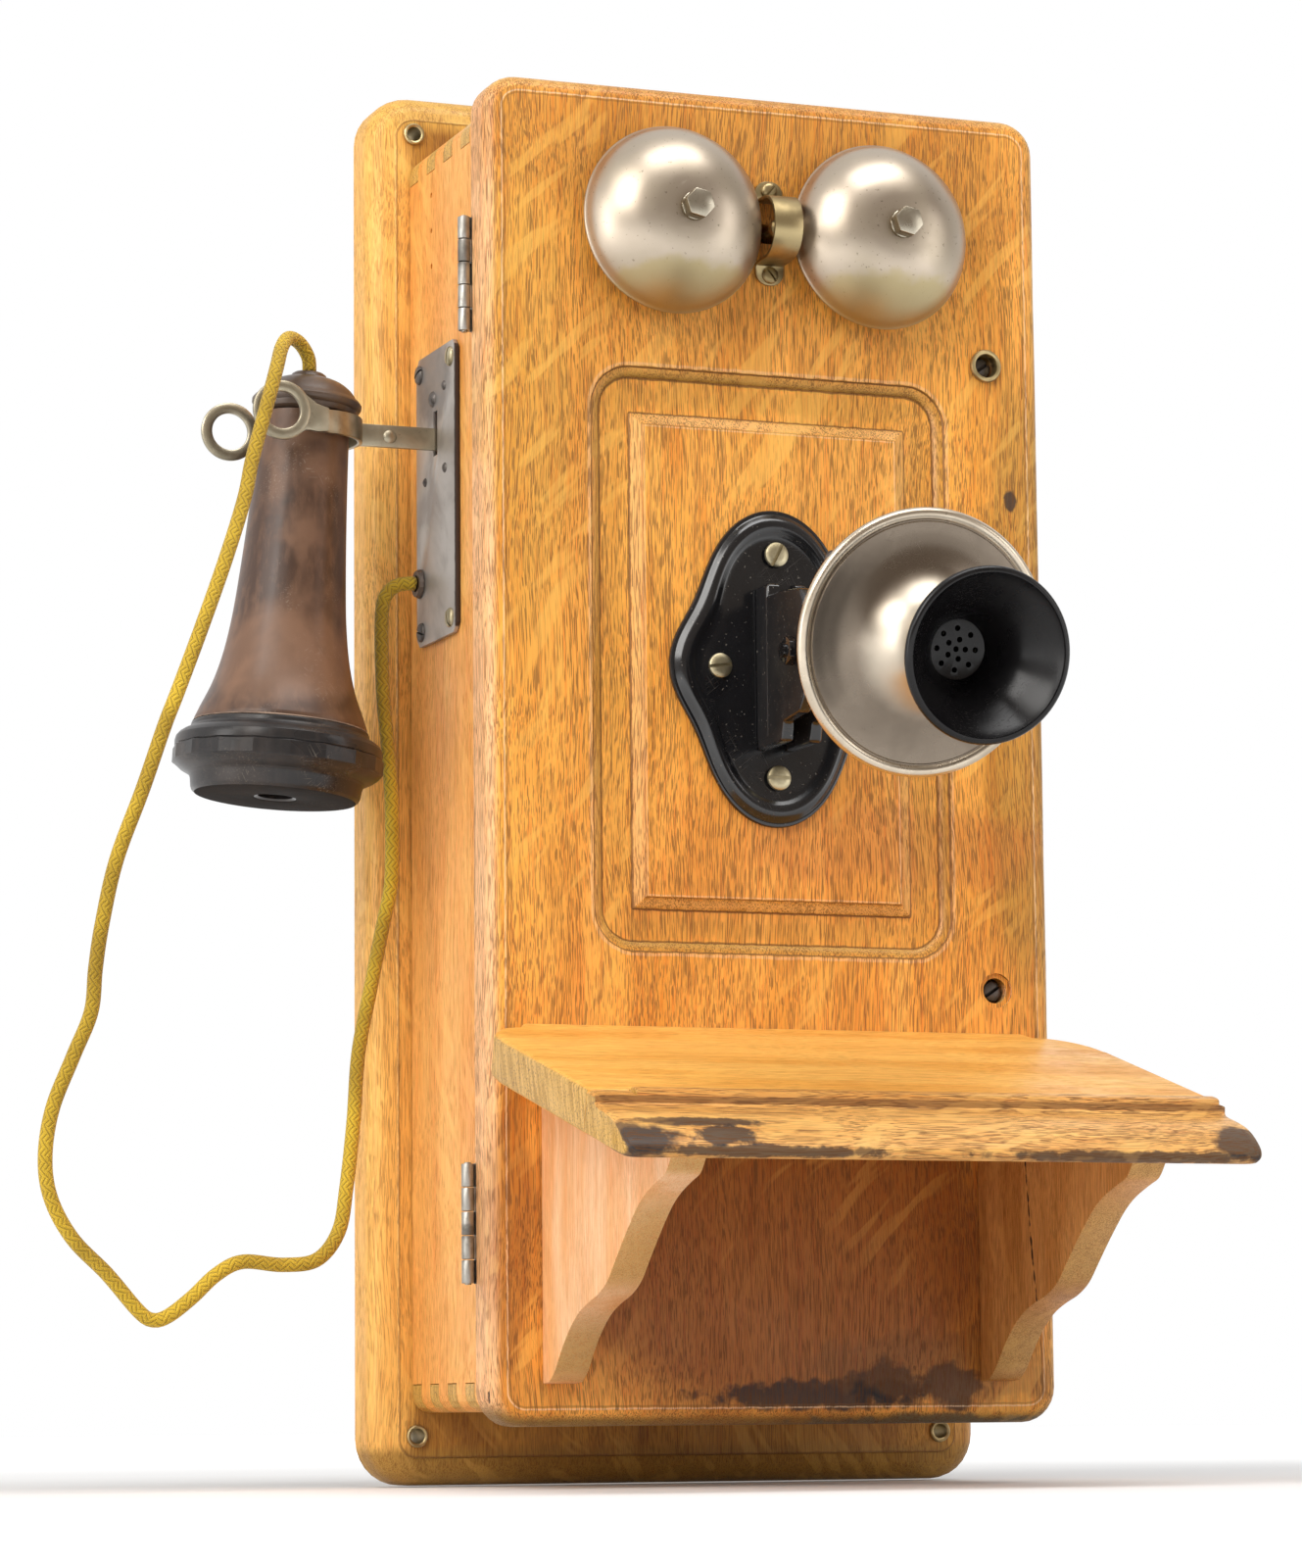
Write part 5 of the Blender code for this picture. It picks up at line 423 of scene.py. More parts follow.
# Backboard: the left and top edges are painted lighter and the bottom edge darker, painted light and shade by
# the way they face; the dark line in the quirk is dirt with painted shade
OAK["back"] = oak("oak_back", light=(0.6, 0.285, 0.04), dark=(0.42, 0.18, 0.024), shift=(310, 0, 90),
    flecks=0.3, pores=0.42, edges=((-X, (1, 0.5, 0.115), 1), (X, (0.8, 0.4, 0.09), 0.8),
        (Z, (0.62, 0.38, 0.065), 0.9), (-Z, (0.33, 0.175, 0.03), 0.9)),
    stains_and_painted_light=(((-112, -14, 0), (13.5, 60, 900), (1, 0.53, 0.12), 0.9, 0.12, 0.05),
        ((0, -14, 246), (900, 60, 13), (0.8, 0.45, 0.09), 0.8, 0.12, 0.05), ((0, -14, -246), (900, 60, 13),
            (0.4, 0.215, 0.035), 0.85, 0.12, 0.05)), lines=((BACK_LINE, -9.8, 0.6, DIRT_AND_SHADE, 0.6),))
OAK["side"] = oak("oak_side", light=(1, 0.5, 0.13), dark=(0.9, 0.385, 0.08), turn=(0, 0, 1.5708),
    shift=(120, 60, 700), flecks=0.2, pores=0.35)
OAK["across"] = oak("oak_across", light=(0.98, 0.5, 0.14), dark=(0.66, 0.32, 0.06), turn=(0, 1.5708, 0),
    shift=(0, 60, 200), flecks=0.2, pores=0.5, end_axis=X)
OAK["shelf"] = oak("oak_shelf", light=(1, 0.55, 0.125), dark=(0.88, 0.42, 0.07), turn=(0.2618, 1.5708, 0),
    shift=(40, 20, 900), flecks=0.15, pores=0.3, end_axis=X)
OAK["strip"] = oak("oak_strip", light=(0.95, 0.52, 0.15), dark=(0.74, 0.36, 0.085),
    turn=(0.2618, 1.5708, 0), shift=(15, 420, 150), flecks=0.25, pores=0.75, end_axis=X,
    stains_and_painted_light=(((-105, -256, -140), (16, 16, 8), CHAR, 0.95, 0.6, 0.12), ((-82, -247, -134), (24, 7, 2.2),
            CHAR, 0.9, 0.6, 0.2), ((-75, -252, -138.5), (11, 12, 4), CHAR, 0.9, 0.8, 0.2),
        ((-62, -254, -143.6), (42, 12, 2.2), CHAR, 0.85, 0.8, 0.2), ((104, -254, -139), (13, 16, 7), CHAR,
            0.9, 0.8, 0.12), ((62, -254, -144.2), (52, 12, 2.2), CHAR, 0.85, 0.8, 0.18),
        ((0, -229, -126.5), (900, 3.2, 1.3), DIRT_AND_SHADE, 0.7, 0.3, 0.2)))
# Bracket oak: faces turned right are darkened, painted shade
OAK["bracket"] = oak("oak_bracket", light=(1, 0.62, 0.34), dark=(0.92, 0.47, 0.19), turn=(0, 0, 0.4),
    shift=(500, 10, 30), flecks=0.1, pores=0.2, edges=((-Y, (0.62, 0.36, 0.11), 0.9),
        (X, (0.5, 0.2, 0.03), 0.5)))
# A darker copy of the bracket oak for the right bracket: painted shade of the shelf above it
OAK["shaded"] = oak("oak_bracket_painted_shade", light=(0.74, 0.36, 0.11), dark=(0.56, 0.24, 0.055),
    turn=(0, 0, 0.4), shift=(540, 30, 60), flecks=0.1, pores=0.4, edges=((-Y, (0.62, 0.36, 0.11), 0.9),),
    cracks=((((73.4, -150.5, -126), (73.4, -151, -141), (73.4, -154, -165), (73.4, -159, -193)), 0.5),))
OAK["inner"] = oak("oak_inner", turn=(0, 1.5708, 0), shift=(70, 80, 20), flecks=0.2)
NICKEL = (0.465, 0.395, 0.315)
METAL = {}
METAL["gong"] = metal("nickel_gong", NICKEL, (0.4, 0.345, 0.25), 0.32, 0.08, 0.35, pits=0.7,
    stains_and_painted_light=(((-38, -128, 155), (36, 18, 13), (0.42, 0.345, 0.17), 0.75, 0.5, 0.06),
        ((38, -128, 155), (36, 18, 13), (0.42, 0.345, 0.17), 0.75, 0.5, 0.06)))
METAL["bright"] = metal("nickel_bright", (0.44, 0.4, 0.32), (0.2, 0.165, 0.11), 0.26, 0.12, 0.6, pits=0.8,
    size=1.6)
# Faceplate nickel: the paler patch over the horn is painted highlight
METAL["face"] = metal("nickel_face", (0.225, 0.185, 0.145), (0.165, 0.135, 0.105), 0.25, 0.06, 0.6,
    pits=0.15, stains_and_painted_light=(((0, -245.8, 17.7), (23, 40, 23), (0.6, 0.53, 0.43), 1, 0.1, 0.05),))
# A paler copy of the faceplate nickel for the rolled rim: painted highlight
METAL["rim"] = metal("nickel_rim_painted_highlight", (0.62, 0.54, 0.43), (0.36, 0.3, 0.22), 0.24, 0.1, 0.5, pits=0.5)
# A darker copy of the post nickel for the sides of posts and nuts: painted shade
METAL["shade"] = metal("nickel_painted_shade", (0.2, 0.16, 0.1), (0.11, 0.085, 0.05), 0.38, 0.12, 0.6, pits=0.5,
    size=1.6)
METAL["strap"] = metal("nickel_strap", (0.41, 0.365, 0.27), (0.18, 0.155, 0.105), 0.32, 0.15, 0.7, pits=0.4,
    size=1.3)
METAL["hood"] = metal("nickel_hood", (0.4, 0.315, 0.165), (0.2, 0.15, 0.07), 0.32, 0.15, 0.7, pits=0.4,
    size=1.4)
METAL["brass"] = metal("brass_eyelet", (0.5, 0.39, 0.2), (0.2, 0.15, 0.07), 0.35, 0.15, 0.7, pits=0.5,
    size=2)
METAL["iron"] = metal("dark_iron", (0.12, 0.105, 0.095), (0.06, 0.05, 0.045), 0.4, 0.15, 0.6, pits=0.4,
    metallic=0.7)
# Hook plate iron: the dark band along the plate's right edge is rust with painted shade of the edge
METAL["plate"] = metal("hook_plate_iron", (0.46, 0.42, 0.38), (0.24, 0.205, 0.18), 0.4, 0.15, 0.6, pits=0.4,
    metallic=0.8, stains_and_painted_light=(((-102, -76.2, 95), (4, 1.7, 200), (0.045, 0.028, 0.022), 0.95, 0.35, 0.3),
        ((-102, -50, 135), (6, 22, 18), (0.12, 0.1, 0.09), 0.6, 0.5, 0.05)))
METAL["steel"] = metal("hinge_steel", (0.4, 0.385, 0.35), (0.13, 0.12, 0.105), 0.36, 0.2, 0.9, pits=0.7,
    size=2.2)
METAL["screw"] = metal("screw_brass", (0.5, 0.44, 0.29), (0.22, 0.18, 0.1), 0.36, 0.15, 0.7, pits=0.6,
    size=2)
DARK = {}
DARK["japan"] = moulded("black_japan", (0.006, 0.006, 0.007), (0.01, 0.01, 0.012), 0.15, share=0.4,
    speck=0.3, coat=0.35, scratch=0.03)
DARK["paint"] = moulded("worn_black_paint", (0.009, 0.009, 0.01), (0.02, 0.018, 0.018), 0.45, share=0.5,
    speck=0.5, shine=0.25)
DARK["joint"] = moulded("worn_joint", (0.34, 0.23, 0.16), (0.06, 0.035, 0.025), 0.6, (0.42, 0.6), 0.9)
DARK["mouth"] = moulded("black_mouthpiece", (0.005, 0.0045, 0.005), (0.01, 0.009, 0.009), 0.19, share=0.4,
    scratch=0.02, shine=0.3)
DARK["cap"] = moulded("black_cap", (0.018, 0.016, 0.016), (0.055, 0.042, 0.036), 0.26, (0.45, 0.66), 0.6,
    scratch=0.2, shine=0.4)
DARK["ear"] = moulded("dull_ear_face", (0.016, 0.014, 0.013), (0.04, 0.032, 0.027), 0.7, shine=0.06)
DARK["shell"] = moulded("brown_shell", (0.06, 0.028, 0.015), (0.185, 0.095, 0.052), 0.34, (0.4, 0.62), 0.8,
    scratch=0.25, stains_and_painted_light=(((-176, -80, 96), (14, 30, 26), (0.022, 0.014, 0.011), 0.75, 0.8, 0.06),
        ((-165, -80, 34), (40, 30, 18), (0.24, 0.125, 0.07), 0.55, 0.6, 0.04)))
DARK["dome"] = moulded("brown_dome", (0.045, 0.025, 0.017), (0.13, 0.085, 0.055), 0.3, (0.4, 0.64), 0.6)
DARK["winding"] = moulded("coil_winding", (0.2, 0.06, 0.04), (0.32, 0.12, 0.07), 0.6, share=0.5)

# Braided cotton: two crossed sets of strands read from the cord's own UV, with a darker seam along one side
braid, net, shader = blank("braided_cotton")
uv = net.add("UVMap", uv_map="UVMap").outputs[0]
parts = net.add("SeparateXYZ", {0: uv}).outputs
strands = []
for sign in (1, -1):
    phase = net.plus(net.times(parts[0], 420), net.times(parts[1], 8 * sign))
    strands.append(net.size(net.math("SINE", net.times(phase, pi))))
cell = net.math("SINE", net.times(net.plus(net.times(parts[0], 210), parts[1]), TAU))
over = net.step(cell, -0.2, 0.2)
weave = net.plus(net.times(strands[0], over), net.times(strands[1], net.minus(1, over)))
place = net.coords()
fade = net.noise(place, 0.03, 3)
fuzz = net.noise(place, 2.2, 2, 0.7)
yarn = net.mix(net.step(fade, 0.35, 0.65), (0.4, 0.245, 0.01), (0.66, 0.43, 0.022))
yarn = net.over(yarn, net.step(weave, 0.55, 0.1), 0.65, (0.14, 0.08, 0.004))
seam = net.step(net.size(net.minus(parts[1], 0.5)), 0.06, 0.02)
yarn = net.over(yarn, seam, 0.5, (0.18, 0.1, 0.008))
yarn = net.over(yarn, net.step(fuzz, 0.55, 0.75), 0.25, (0.78, 0.6, 0.12))
shader["Base Color"] = yarn
shader["Roughness"] = 0.85
shader["Sheen Weight"] = 0.15
shader["Normal"] = net.bump(net.plus(weave, net.times(fuzz, 0.4)), 0.7, 0.0004)


def outward(bm):
    bmesh.ops.recalc_face_normals(bm, faces=bm.faces)


# Every new piece ends here: normals out, smooth but for its sharp edges, riding on its body
def piece(name, bm, body, material, stands_for=(), smooth=32):
    bmesh.ops.remove_doubles(bm, verts=bm.verts, dist=1e-6)
    outward(bm)
    mesh = bpy.data.meshes.new(name)
    bm.to_mesh(mesh)
    bm.free()
    mesh.shade_smooth()
    mesh.set_sharp_from_angle(angle=radians(smooth))
    obj = placed(name, mesh)
    mesh.materials.append(material)
    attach(obj, body)
    if stands_for:
        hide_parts(*stands_for)
    return obj


# Some faces of a finished piece take another material
def also(obj, material, chosen):
    obj.data.materials.append(material)
    index = len(obj.data.materials) - 1
    for face in obj.data.polygons:
        if chosen(face):
            face.material_index = index


def at(x, y, z):
    return Vector((x, y, z)) * MM


def along(start, axis):
    return Matrix.Translation(start) @ Vector(axis).to_track_quat("Z", "Y").to_matrix().to_4x4()


def into(bm, other):
    mesh = bpy.data.meshes.new("joined")
    other.to_mesh(mesh)
    other.free()
    bm.from_mesh(mesh)
    bpy.data.meshes.remove(mesh)


# A turned form from (radius, height) points in millimetres
def turn(profile, place, steps=72):
    bm = bmesh.new()
    verts = [bm.verts.new((r * MM, 0, h * MM)) for r, h in profile]
    edges = [bm.edges.new(pair) for pair in zip(verts, verts[1:])]
    if profile[0][0] > 0 and profile[-1][0] > 0:
        edges.append(bm.edges.new((verts[-1], verts[0])))
    bmesh.ops.spin(bm, geom=verts + edges, cent=(0, 0, 0), axis=(0, 0, 1), angle=TAU, steps=steps,
        use_merge=True)
    bmesh.ops.remove_doubles(bm, verts=bm.verts, dist=1e-7)
    outward(bm)
    bm.transform(place)
    return bm


# Flat points along part of an ellipse, between two angles in degrees
def arc(x, y, wide, high, first, last, steps):
    turns = [radians(first + (last - first) * i / steps) for i in range(steps + 1)]
    return [(x + wide * cos(t), y + high * sin(t)) for t in turns]


# A smooth line through flat points, so that a few points give a rounded profile
def flow(points, steps=6):
    found = []
    last = len(points) - 1
    for i in range(last):
        a, b, c, d = (points[min(max(i + k, 0), last)] for k in (-1, 0, 1, 2))
        for s in range(steps):
            t = s / steps
            found.append(tuple(0.5 * (2 * q + (r - p) * t + (2 * p - 5 * q + 4 * r - w) * t * t
                        + (3 * q - p - 3 * r + w) * t ** 3) for p, q, r, w in zip(a, b, c, d)))
    return found + [points[-1]]


# A closed skin through rings with equally many points, each drawn out of the last and capped at both ends
def loft(rings):
    bm = bmesh.new()
    last = [bm.verts.new(p) for p in rings[0]]
    edges = list(bm.faces.new(last).edges)
    for ring in rings[1:]:
        order = {vert: i for i, vert in enumerate(last)}
        made = bmesh.ops.extrude_edge_only(bm, edges=edges)["geom"]
        fresh = [None] * len(last)
        for vert in made:
            if isinstance(vert, bmesh.types.BMVert):
                old = next(e.other_vert(vert) for e in vert.link_edges if e.other_vert(vert) in order)
                fresh[order[old]] = vert
        for vert, place in zip(fresh, ring):
            vert.co = place
        edges = [e for e in made if isinstance(e, bmesh.types.BMEdge)
            and all(v in set(fresh) for v in e.verts)]
        last = fresh
    bm.faces.new(last)
    outward(bm)
    return bm


# Takes one form out of another, or joins them
def carve(bm, tool, how="DIFFERENCE"):
    scratch = []
    for source in (bm, tool):
        outward(source)
        mesh = bpy.data.meshes.new("scratch")
        source.to_mesh(mesh)
        source.free()
        scratch.append(placed("scratch", mesh))
    mod = scratch[0].modifiers.new("cut", "BOOLEAN")
    mod.operation = how
    mod.solver = "EXACT"
    mod.object = scratch[1]
    result = bmesh.new()
    result.from_object(scratch[0], bpy.context.evaluated_depsgraph_get())
    for obj in scratch:
        mesh = obj.data
        bpy.data.objects.remove(obj)
        bpy.data.meshes.remove(mesh)
    return result


def block(lo, hi, place=Matrix.Identity(4)):
    bm = bmesh.new()
    lo, hi = Vector(lo) * MM, Vector(hi) * MM
    bmesh.ops.create_cube(bm, size=1, matrix=place @ Matrix.Translation((lo + hi) / 2)
        @ Matrix.Diagonal((*(hi - lo), 1)))
    return bm


def bar(start, end, r0, r1=None, sides=32, spin=0):
    bm = bmesh.new()
    start, end = Vector(start) * MM, Vector(end) * MM
    long = (end - start).length
    place = along(start, end - start) @ Matrix.Translation((0, 0, long / 2)) @ Matrix.Rotation(spin, 4, "Z")
    r1 = r0 if r1 is None else r1
    bmesh.ops.create_cone(bm, cap_ends=True, segments=sides, radius1=r0 * MM, radius2=r1 * MM, depth=long,
        matrix=place)
    return bm


# Edges that turn by more than an angle are rounded
def ease(bm, width, segments=2, least=30, only=None):
    bm.normal_update()
    picked = [e for e in bm.edges if len(e.link_faces) == 2 and e.calc_face_angle(0) > radians(least)
        and (only is None or only(e))]
    bmesh.ops.bevel(bm, geom=picked, offset=width * MM, affect="EDGES", segments=segments, profile=0.5,
        material=-1, clamp_overlap=True)
    return bm


# A flat outline of (a, b) points drawn out along a frame's Z from low to high
def prism(outline, low, high, place):
    bm = bmesh.new()
    face = bm.faces.new([bm.verts.new((a * MM, b * MM, low * MM)) for a, b in outline])
    top = bmesh.ops.extrude_face_region(bm, geom=[face])["geom"]
    bmesh.ops.translate(bm, vec=(0, 0, (high - low) * MM),
        verts=[v for v in top if isinstance(v, bmesh.types.BMVert)])
    outward(bm)
    bm.transform(place)
    return bm


FRONTAL = Matrix(((1, 0, 0, 0), (0, 0, -1, 0), (0, 1, 0, 0), (0, 0, 0, 1)))
SIDEWAYS = Matrix(((0, 0, 1, 0), (1, 0, 0, 0), (0, 1, 0, 0), (0, 0, 0, 1)))


# Rounded rectangle in (x, z) with points along its sides too, at an inset
def rounded(half, low, high, radius, inset=0, corner=7, run=24):
    r = max(radius - inset, 0.2)
    x, z0, z1 = half - inset - r, low + inset + r, high - inset - r
    points = []
    for k, (cx, cz) in enumerate(((x, z1), (-x, z1), (-x, z0), (x, z0))):
        for i in range(corner + 1):
            t = (k + i / corner) * pi / 2
            points.append((cx + r * cos(t), cz + r * sin(t)))
        nx, nz = ((-x, z1), (-x, z0), (x, z0), (x, z1))[k]
        t = (k + 1) * pi / 2
        a = points[-1]
        b = (nx + r * cos(t), nz + r * sin(t))
        points += [(a[0] + (b[0] - a[0]) * i / run, a[1] + (b[1] - a[1]) * i / run) for i in range(1, run)]
    return points


def ring_at(points, y, wobble=0, seed=0):
    found = []
    for x, z in points:
        wave = max(noise.noise(Vector((x * 0.11 + seed, z * 0.11, y * 0.1))) * wobble if wobble else 0, 0)
        found.append(at(x - copysign(wave, x), y + wave, z - copysign(wave, z) * 0.4))
    return found


# A slotted screw head, its Z out of the surface
def screw(spot, out, radius, height, spin, slot=0.9):
    place = along(Vector(spot) * MM, out)
    head = turn([(0, height), (radius * 0.5, height * 0.97), (radius * 0.82, height * 0.8),
            (radius * 0.96, height * 0.5), (radius, height * 0.2), (radius, -0.3), (0, -0.3)], place, 36)
    cut = block((-radius * 1.3, -slot / 2, height * 0.15), (radius * 1.3, slot / 2, height * 2),
        place @ Matrix.Rotation(spin, 4, "Z"))
    return carve(head, cut)


# Sizes shared with the CAD solids, in millimetres
DOOR_FRONT, DOOR_REAR, SEAT = -112.3, -96.5, 0.3
ON_DOOR = DOOR_FRONT - SEAT
HINGES = (("upper", 163.5), ("lower", -159.7))
LOCK_X, LOCKS = 82, (("upper", 141, 4.4), ("lower", -79, 6))
GONG_X, GONG_Z, GONG_BACK, BOLT_FOOT = 38.5, 182, -120.5, -141
EYELET_X, EYELET_TOP, EYELET_LOW = 99, 232, -230
PIVOT = (-149, 30)

# Door board: rounded front edge, routed recess with its small step, and the raised field
DOOR = (103.3, -227, 231, 12)
PANEL = (65.8, -68.8, 132, 14.5)
FIELD = (51.2, -54.2, 116.2, 0.6)
rings = [ring_at(rounded(*DOOR, 0.3), DOOR_REAR), ring_at(rounded(*DOOR), DOOR_REAR - 0.4)]
for i in range(7):
    t = i / 6 * pi / 2
    y = DOOR_FRONT + 5.6 * (1 - sin(t))
    rings.append(ring_at(rounded(*DOOR, 5.6 * (1 - cos(t))), y, 0.35 * sin(t), 3))
for inset, deep in ((-0.5, 0), (-0.1, 0.12), (0.1, 0.5), (0.25, 0.8), (1.2, 1), (2.2, 1.4), (2.9, 1.9),
        (3.3, 2.4), (3.5, 2.85), (4.2, 2.9)):
    rings.append(ring_at(rounded(*PANEL, inset), DOOR_FRONT + deep))
for inset, deep in ((-0.5, 2.9), (-0.1, 2.8), (0.1, 2.3), (3.9, 0.5), (4.05, 0.1), (4.4, 0)):
    rings.append(ring_at(rounded(*FIELD, inset), DOOR_FRONT + deep))
door = loft(rings)
cuts = block((-4.2, DOOR_FRONT - 1, 178.6), (4.2, DOOR_REAR + 1, 185.4))
for tag, z, mouth in LOCKS:
    into(cuts, turn([(0, 1), (mouth, 1), (mouth, -1.2), (4.39, -1.2), (4.39, -8), (2.5, -8), (2.5, -17),
                (0, -17)], along(at(LOCK_X, DOOR_FRONT, z), -Y), 32))
for tag, mid in HINGES:
    into(cuts, block((-104.3, DOOR_REAR - 1.3, mid - 20.3), (-92.7, DOOR_REAR + 1, mid + 20.3)))
piece("door_panel_board", carve(door, cuts), "door", OAK["door"], ["door_board"])

# Backboard: a quirk, then a broad rounded edge
BACK = (115, -247, 247, 16)
rings = [ring_at(rounded(*BACK, 0.6), 0), ring_at(rounded(*BACK), -0.6), ring_at(rounded(*BACK), -11.5)]
for i in range(1, 7):
    t = i / 6 * pi / 2
    rings.append(ring_at(rounded(*BACK, 9 * (1 - cos(t))), -11.5 - 8.6 * sin(t), 0.2, 8))
rings += [ring_at(rounded(*BACK, 9.3), -20.2), ring_at(rounded(*BACK, 9.7), -20.8)]
holes = bmesh.new()
for x in (-EYELET_X, EYELET_X):
    for z in (EYELET_TOP, EYELET_LOW):
        into(holes, bar((x, 1, z), (x, -22, z), 3.6))
piece("wall_backboard", carve(loft(rings), holes), "case", OAK["back"], ["backboard"])

for tag, x in (("left", -EYELET_X), ("right", EYELET_X)):
    for where, z in (("top", EYELET_TOP), ("bottom", EYELET_LOW)):
        ring = turn([(2.6, 0.9), (3, 1.2), (3.4, 1.25), (3.8, 0.9), (3.95, 0.3), (3.95, 0), (3.3, 0),
                (3.3, -20.5), (2.6, -20.5)], along(at(x, -21.1, z), -Y), 40)
        piece("brass_eyelet_" + where + "_" + tag, ring, "case", METAL["brass"],
            ["eyelet_" + where + "_" + tag])
ring = turn([(4, 0.6), (4.3, 1.15), (4.9, 1.35), (5.5, 1.15), (5.9, 0.5), (5.9, 0), (4.3, 0), (4.3, -3),
        (4, -3)], along(at(LOCK_X, ON_DOOR, LOCKS[0][1]), -Y), 40)
piece("door_ring", ring, "door", METAL["brass"], ["door_eyelet"])
for tag, z, mouth in LOCKS:
    one = screw((LOCK_X, DOOR_FRONT + 6.5, z), -Y, 3.9, 4, 0.6, 1.2)
    into(one, bar((LOCK_X, DOOR_FRONT + 7.9, z), (LOCK_X, DOOR_REAR - 0.1, z), 2.2))
    piece("sunk_screw_" + tag, one, "door", METAL["iron"], ["lock_screw_" + tag])

# Hinges: leaves, tabs and rolled knuckles
HINGE_X, HINGE_Y = -105.75, -96.35
for tag, mid in HINGES:
    for part, first, body, y0, y1 in (("case_leaf", 0, "case", -96.2, -95.2),
            ("door_leaf", 1, "door", -97.5, -96.5)):
        bm = block((-103.3, y0, mid - 20), (-93, y1, mid + 20))
        for i in range(first, 5, 2):
            z0, z1 = mid - 20 + 8 * i + 0.15, mid - 12 + 8 * i - 0.15
            into(bm, block((HINGE_X + 1.6, y0, z0), (-102.3, y1, z1)))
            into(bm, ease(bar((HINGE_X, HINGE_Y, z0), (HINGE_X, HINGE_Y, z1), 2.15, sides=28), 0.25, 2, 60))
        if not first:
            for z0, z1 in ((mid - 20.3, mid - 19.8), (mid + 19.8, mid + 20.3)):
                into(bm, bar((HINGE_X, HINGE_Y, z0), (HINGE_X, HINGE_Y, z1), 1.1))
        piece("hinge_" + tag + "_" + part + "_formed", bm, body, METAL["steel"],
            ["hinge_" + tag + "_" + part])

# Gongs: drawn shells with a beaded rim, hollow inside
shape = [(3.2, 20.5), (7.5, 20.25), (13, 19.2), (18.5, 17.1), (23.5, 13.9), (27.6, 9.9), (30.5, 5.6),
    (32, 1.8), (32.5, 0.9)]
outer = flow(shape, 6)
rim = [(32.7, 0.5), (32.6, 0.1), (32.2, 0), (31.5, 0.05), (31.1, 0.5)]
inner = flow([(30.4, 2.2), (29, 5.4), (26.2, 9.3), (22.3, 13), (17.6, 15.9), (12.4, 17.8), (7.2, 18.8),
        (3.2, 19)], 4)
for tag, x in (("left", -GONG_X), ("right", GONG_X)):
    piece("gong_shell_" + tag, turn(outer + rim + inner, along(at(x, GONG_BACK, GONG_Z), -Y), 112), "door",
        METAL["gong"], ["gong_" + tag], 50)
    post = turn([(0, 26.6), (4.2, 26.6), (4.2, 7), (5, 5), (7.2, 2.6), (7.8, 1.6), (7.8, 0), (0, 0)],
        along(at(x, ON_DOOR, GONG_Z), -Y), 48)
    post = carve(post, bar((x, -113, GONG_Z), (x, -144, GONG_Z), 2.6), "UNION")
    washer = turn([(2.4, 1.6), (4.3, 1.6), (4.9, 1.2), (5, 0.05), (2.4, 0.05)],
        along(at(x, BOLT_FOOT, GONG_Z), -Y), 40)
    nut = ease(bar((x, BOLT_FOOT - 1.2, GONG_Z), (x, BOLT_FOOT - 6.2, GONG_Z), 5.3, sides=6, spin=0.3),
        0.35, 2)
    into(post, washer)
    into(post, nut)
    post = piece("gong_post_and_nut_" + tag, post, "door", METAL["bright"], ["gong_post_" + tag],
        35)
    # Post and nut faces that do not face the front take the darker nickel, painted shade
    also(post, METAL["shade"], lambda face: face.normal.y > -0.35)


# A bent strip of even thickness along a (y, z) or (x, y) line, between two widths
def strip_along(points, thick, low, high, place):
    outline, back = [], []
    for i, p in enumerate(points):
        a, b = points[max(i - 1, 0)], points[min(i + 1, len(points) - 1)]
        side = Vector((-(b[1] - a[1]), b[0] - a[0])).normalized() * (thick / 2)
        outline.append((p[0] + side.x, p[1] + side.y))
        back.append((p[0] - side.x, p[1] - side.y))
    return prism(outline + back[::-1], low, high, place)


# Hood over the striker: a strap bent to an arch, its two feet screwed down
arch = [(ON_DOOR - 0.6, 18.4), (ON_DOOR - 0.6, 12), (ON_DOOR - 1.4, 10.9)]
arch += arc(ON_DOOR - 9.6, 0, 9.4, 10.4, 90, 270, 18)
arch += [(ON_DOOR - 1.4, -10.9), (ON_DOOR - 0.6, -12), (ON_DOOR - 0.6, -18.4)]
hood = strip_along([(y, z + GONG_Z) for y, z in arch], 1.2, -5.2, 5.2, SIDEWAYS)
corner_tips = []
for edge in hood.edges:
    a, b = edge.verts[0].co, edge.verts[1].co
    middle = (a.z + b.z) / 2 / MM - GONG_Z
    if abs(abs(middle) - 18.4) < 0.1 and abs(a.x - b.x) < 1e-6 and abs(a.z - b.z) < 1e-6:
        corner_tips.append(edge)
hood.normal_update()
bmesh.ops.bevel(hood, geom=corner_tips, offset=4.6 * MM, affect="EDGES", segments=6, profile=0.5,
    material=-1)
ease(hood, 0.2, 2, 50)
for sign in (-1, 1):
    into(hood, screw((0, ON_DOOR - 1.15, GONG_Z + sign * 14.9), -Y, 3, 1.6, 0.9 * sign, 0.8))
piece("arched_hood", hood, "door", METAL["hood"], ["striker_hood"], 40)


# Transmitter cover plate: lobed outline, raised rounded border and a sunk middle
def lobes(inset, y):
    ring = []
    for i in range(180):
        t = TAU * i / 180
        r = 42.7 - 8.15 * cos(2 * t) + 4.05 * cos(4 * t) - inset
        ring.append(at(r * cos(t), y, 29.5 + r * sin(t)))
    return ring


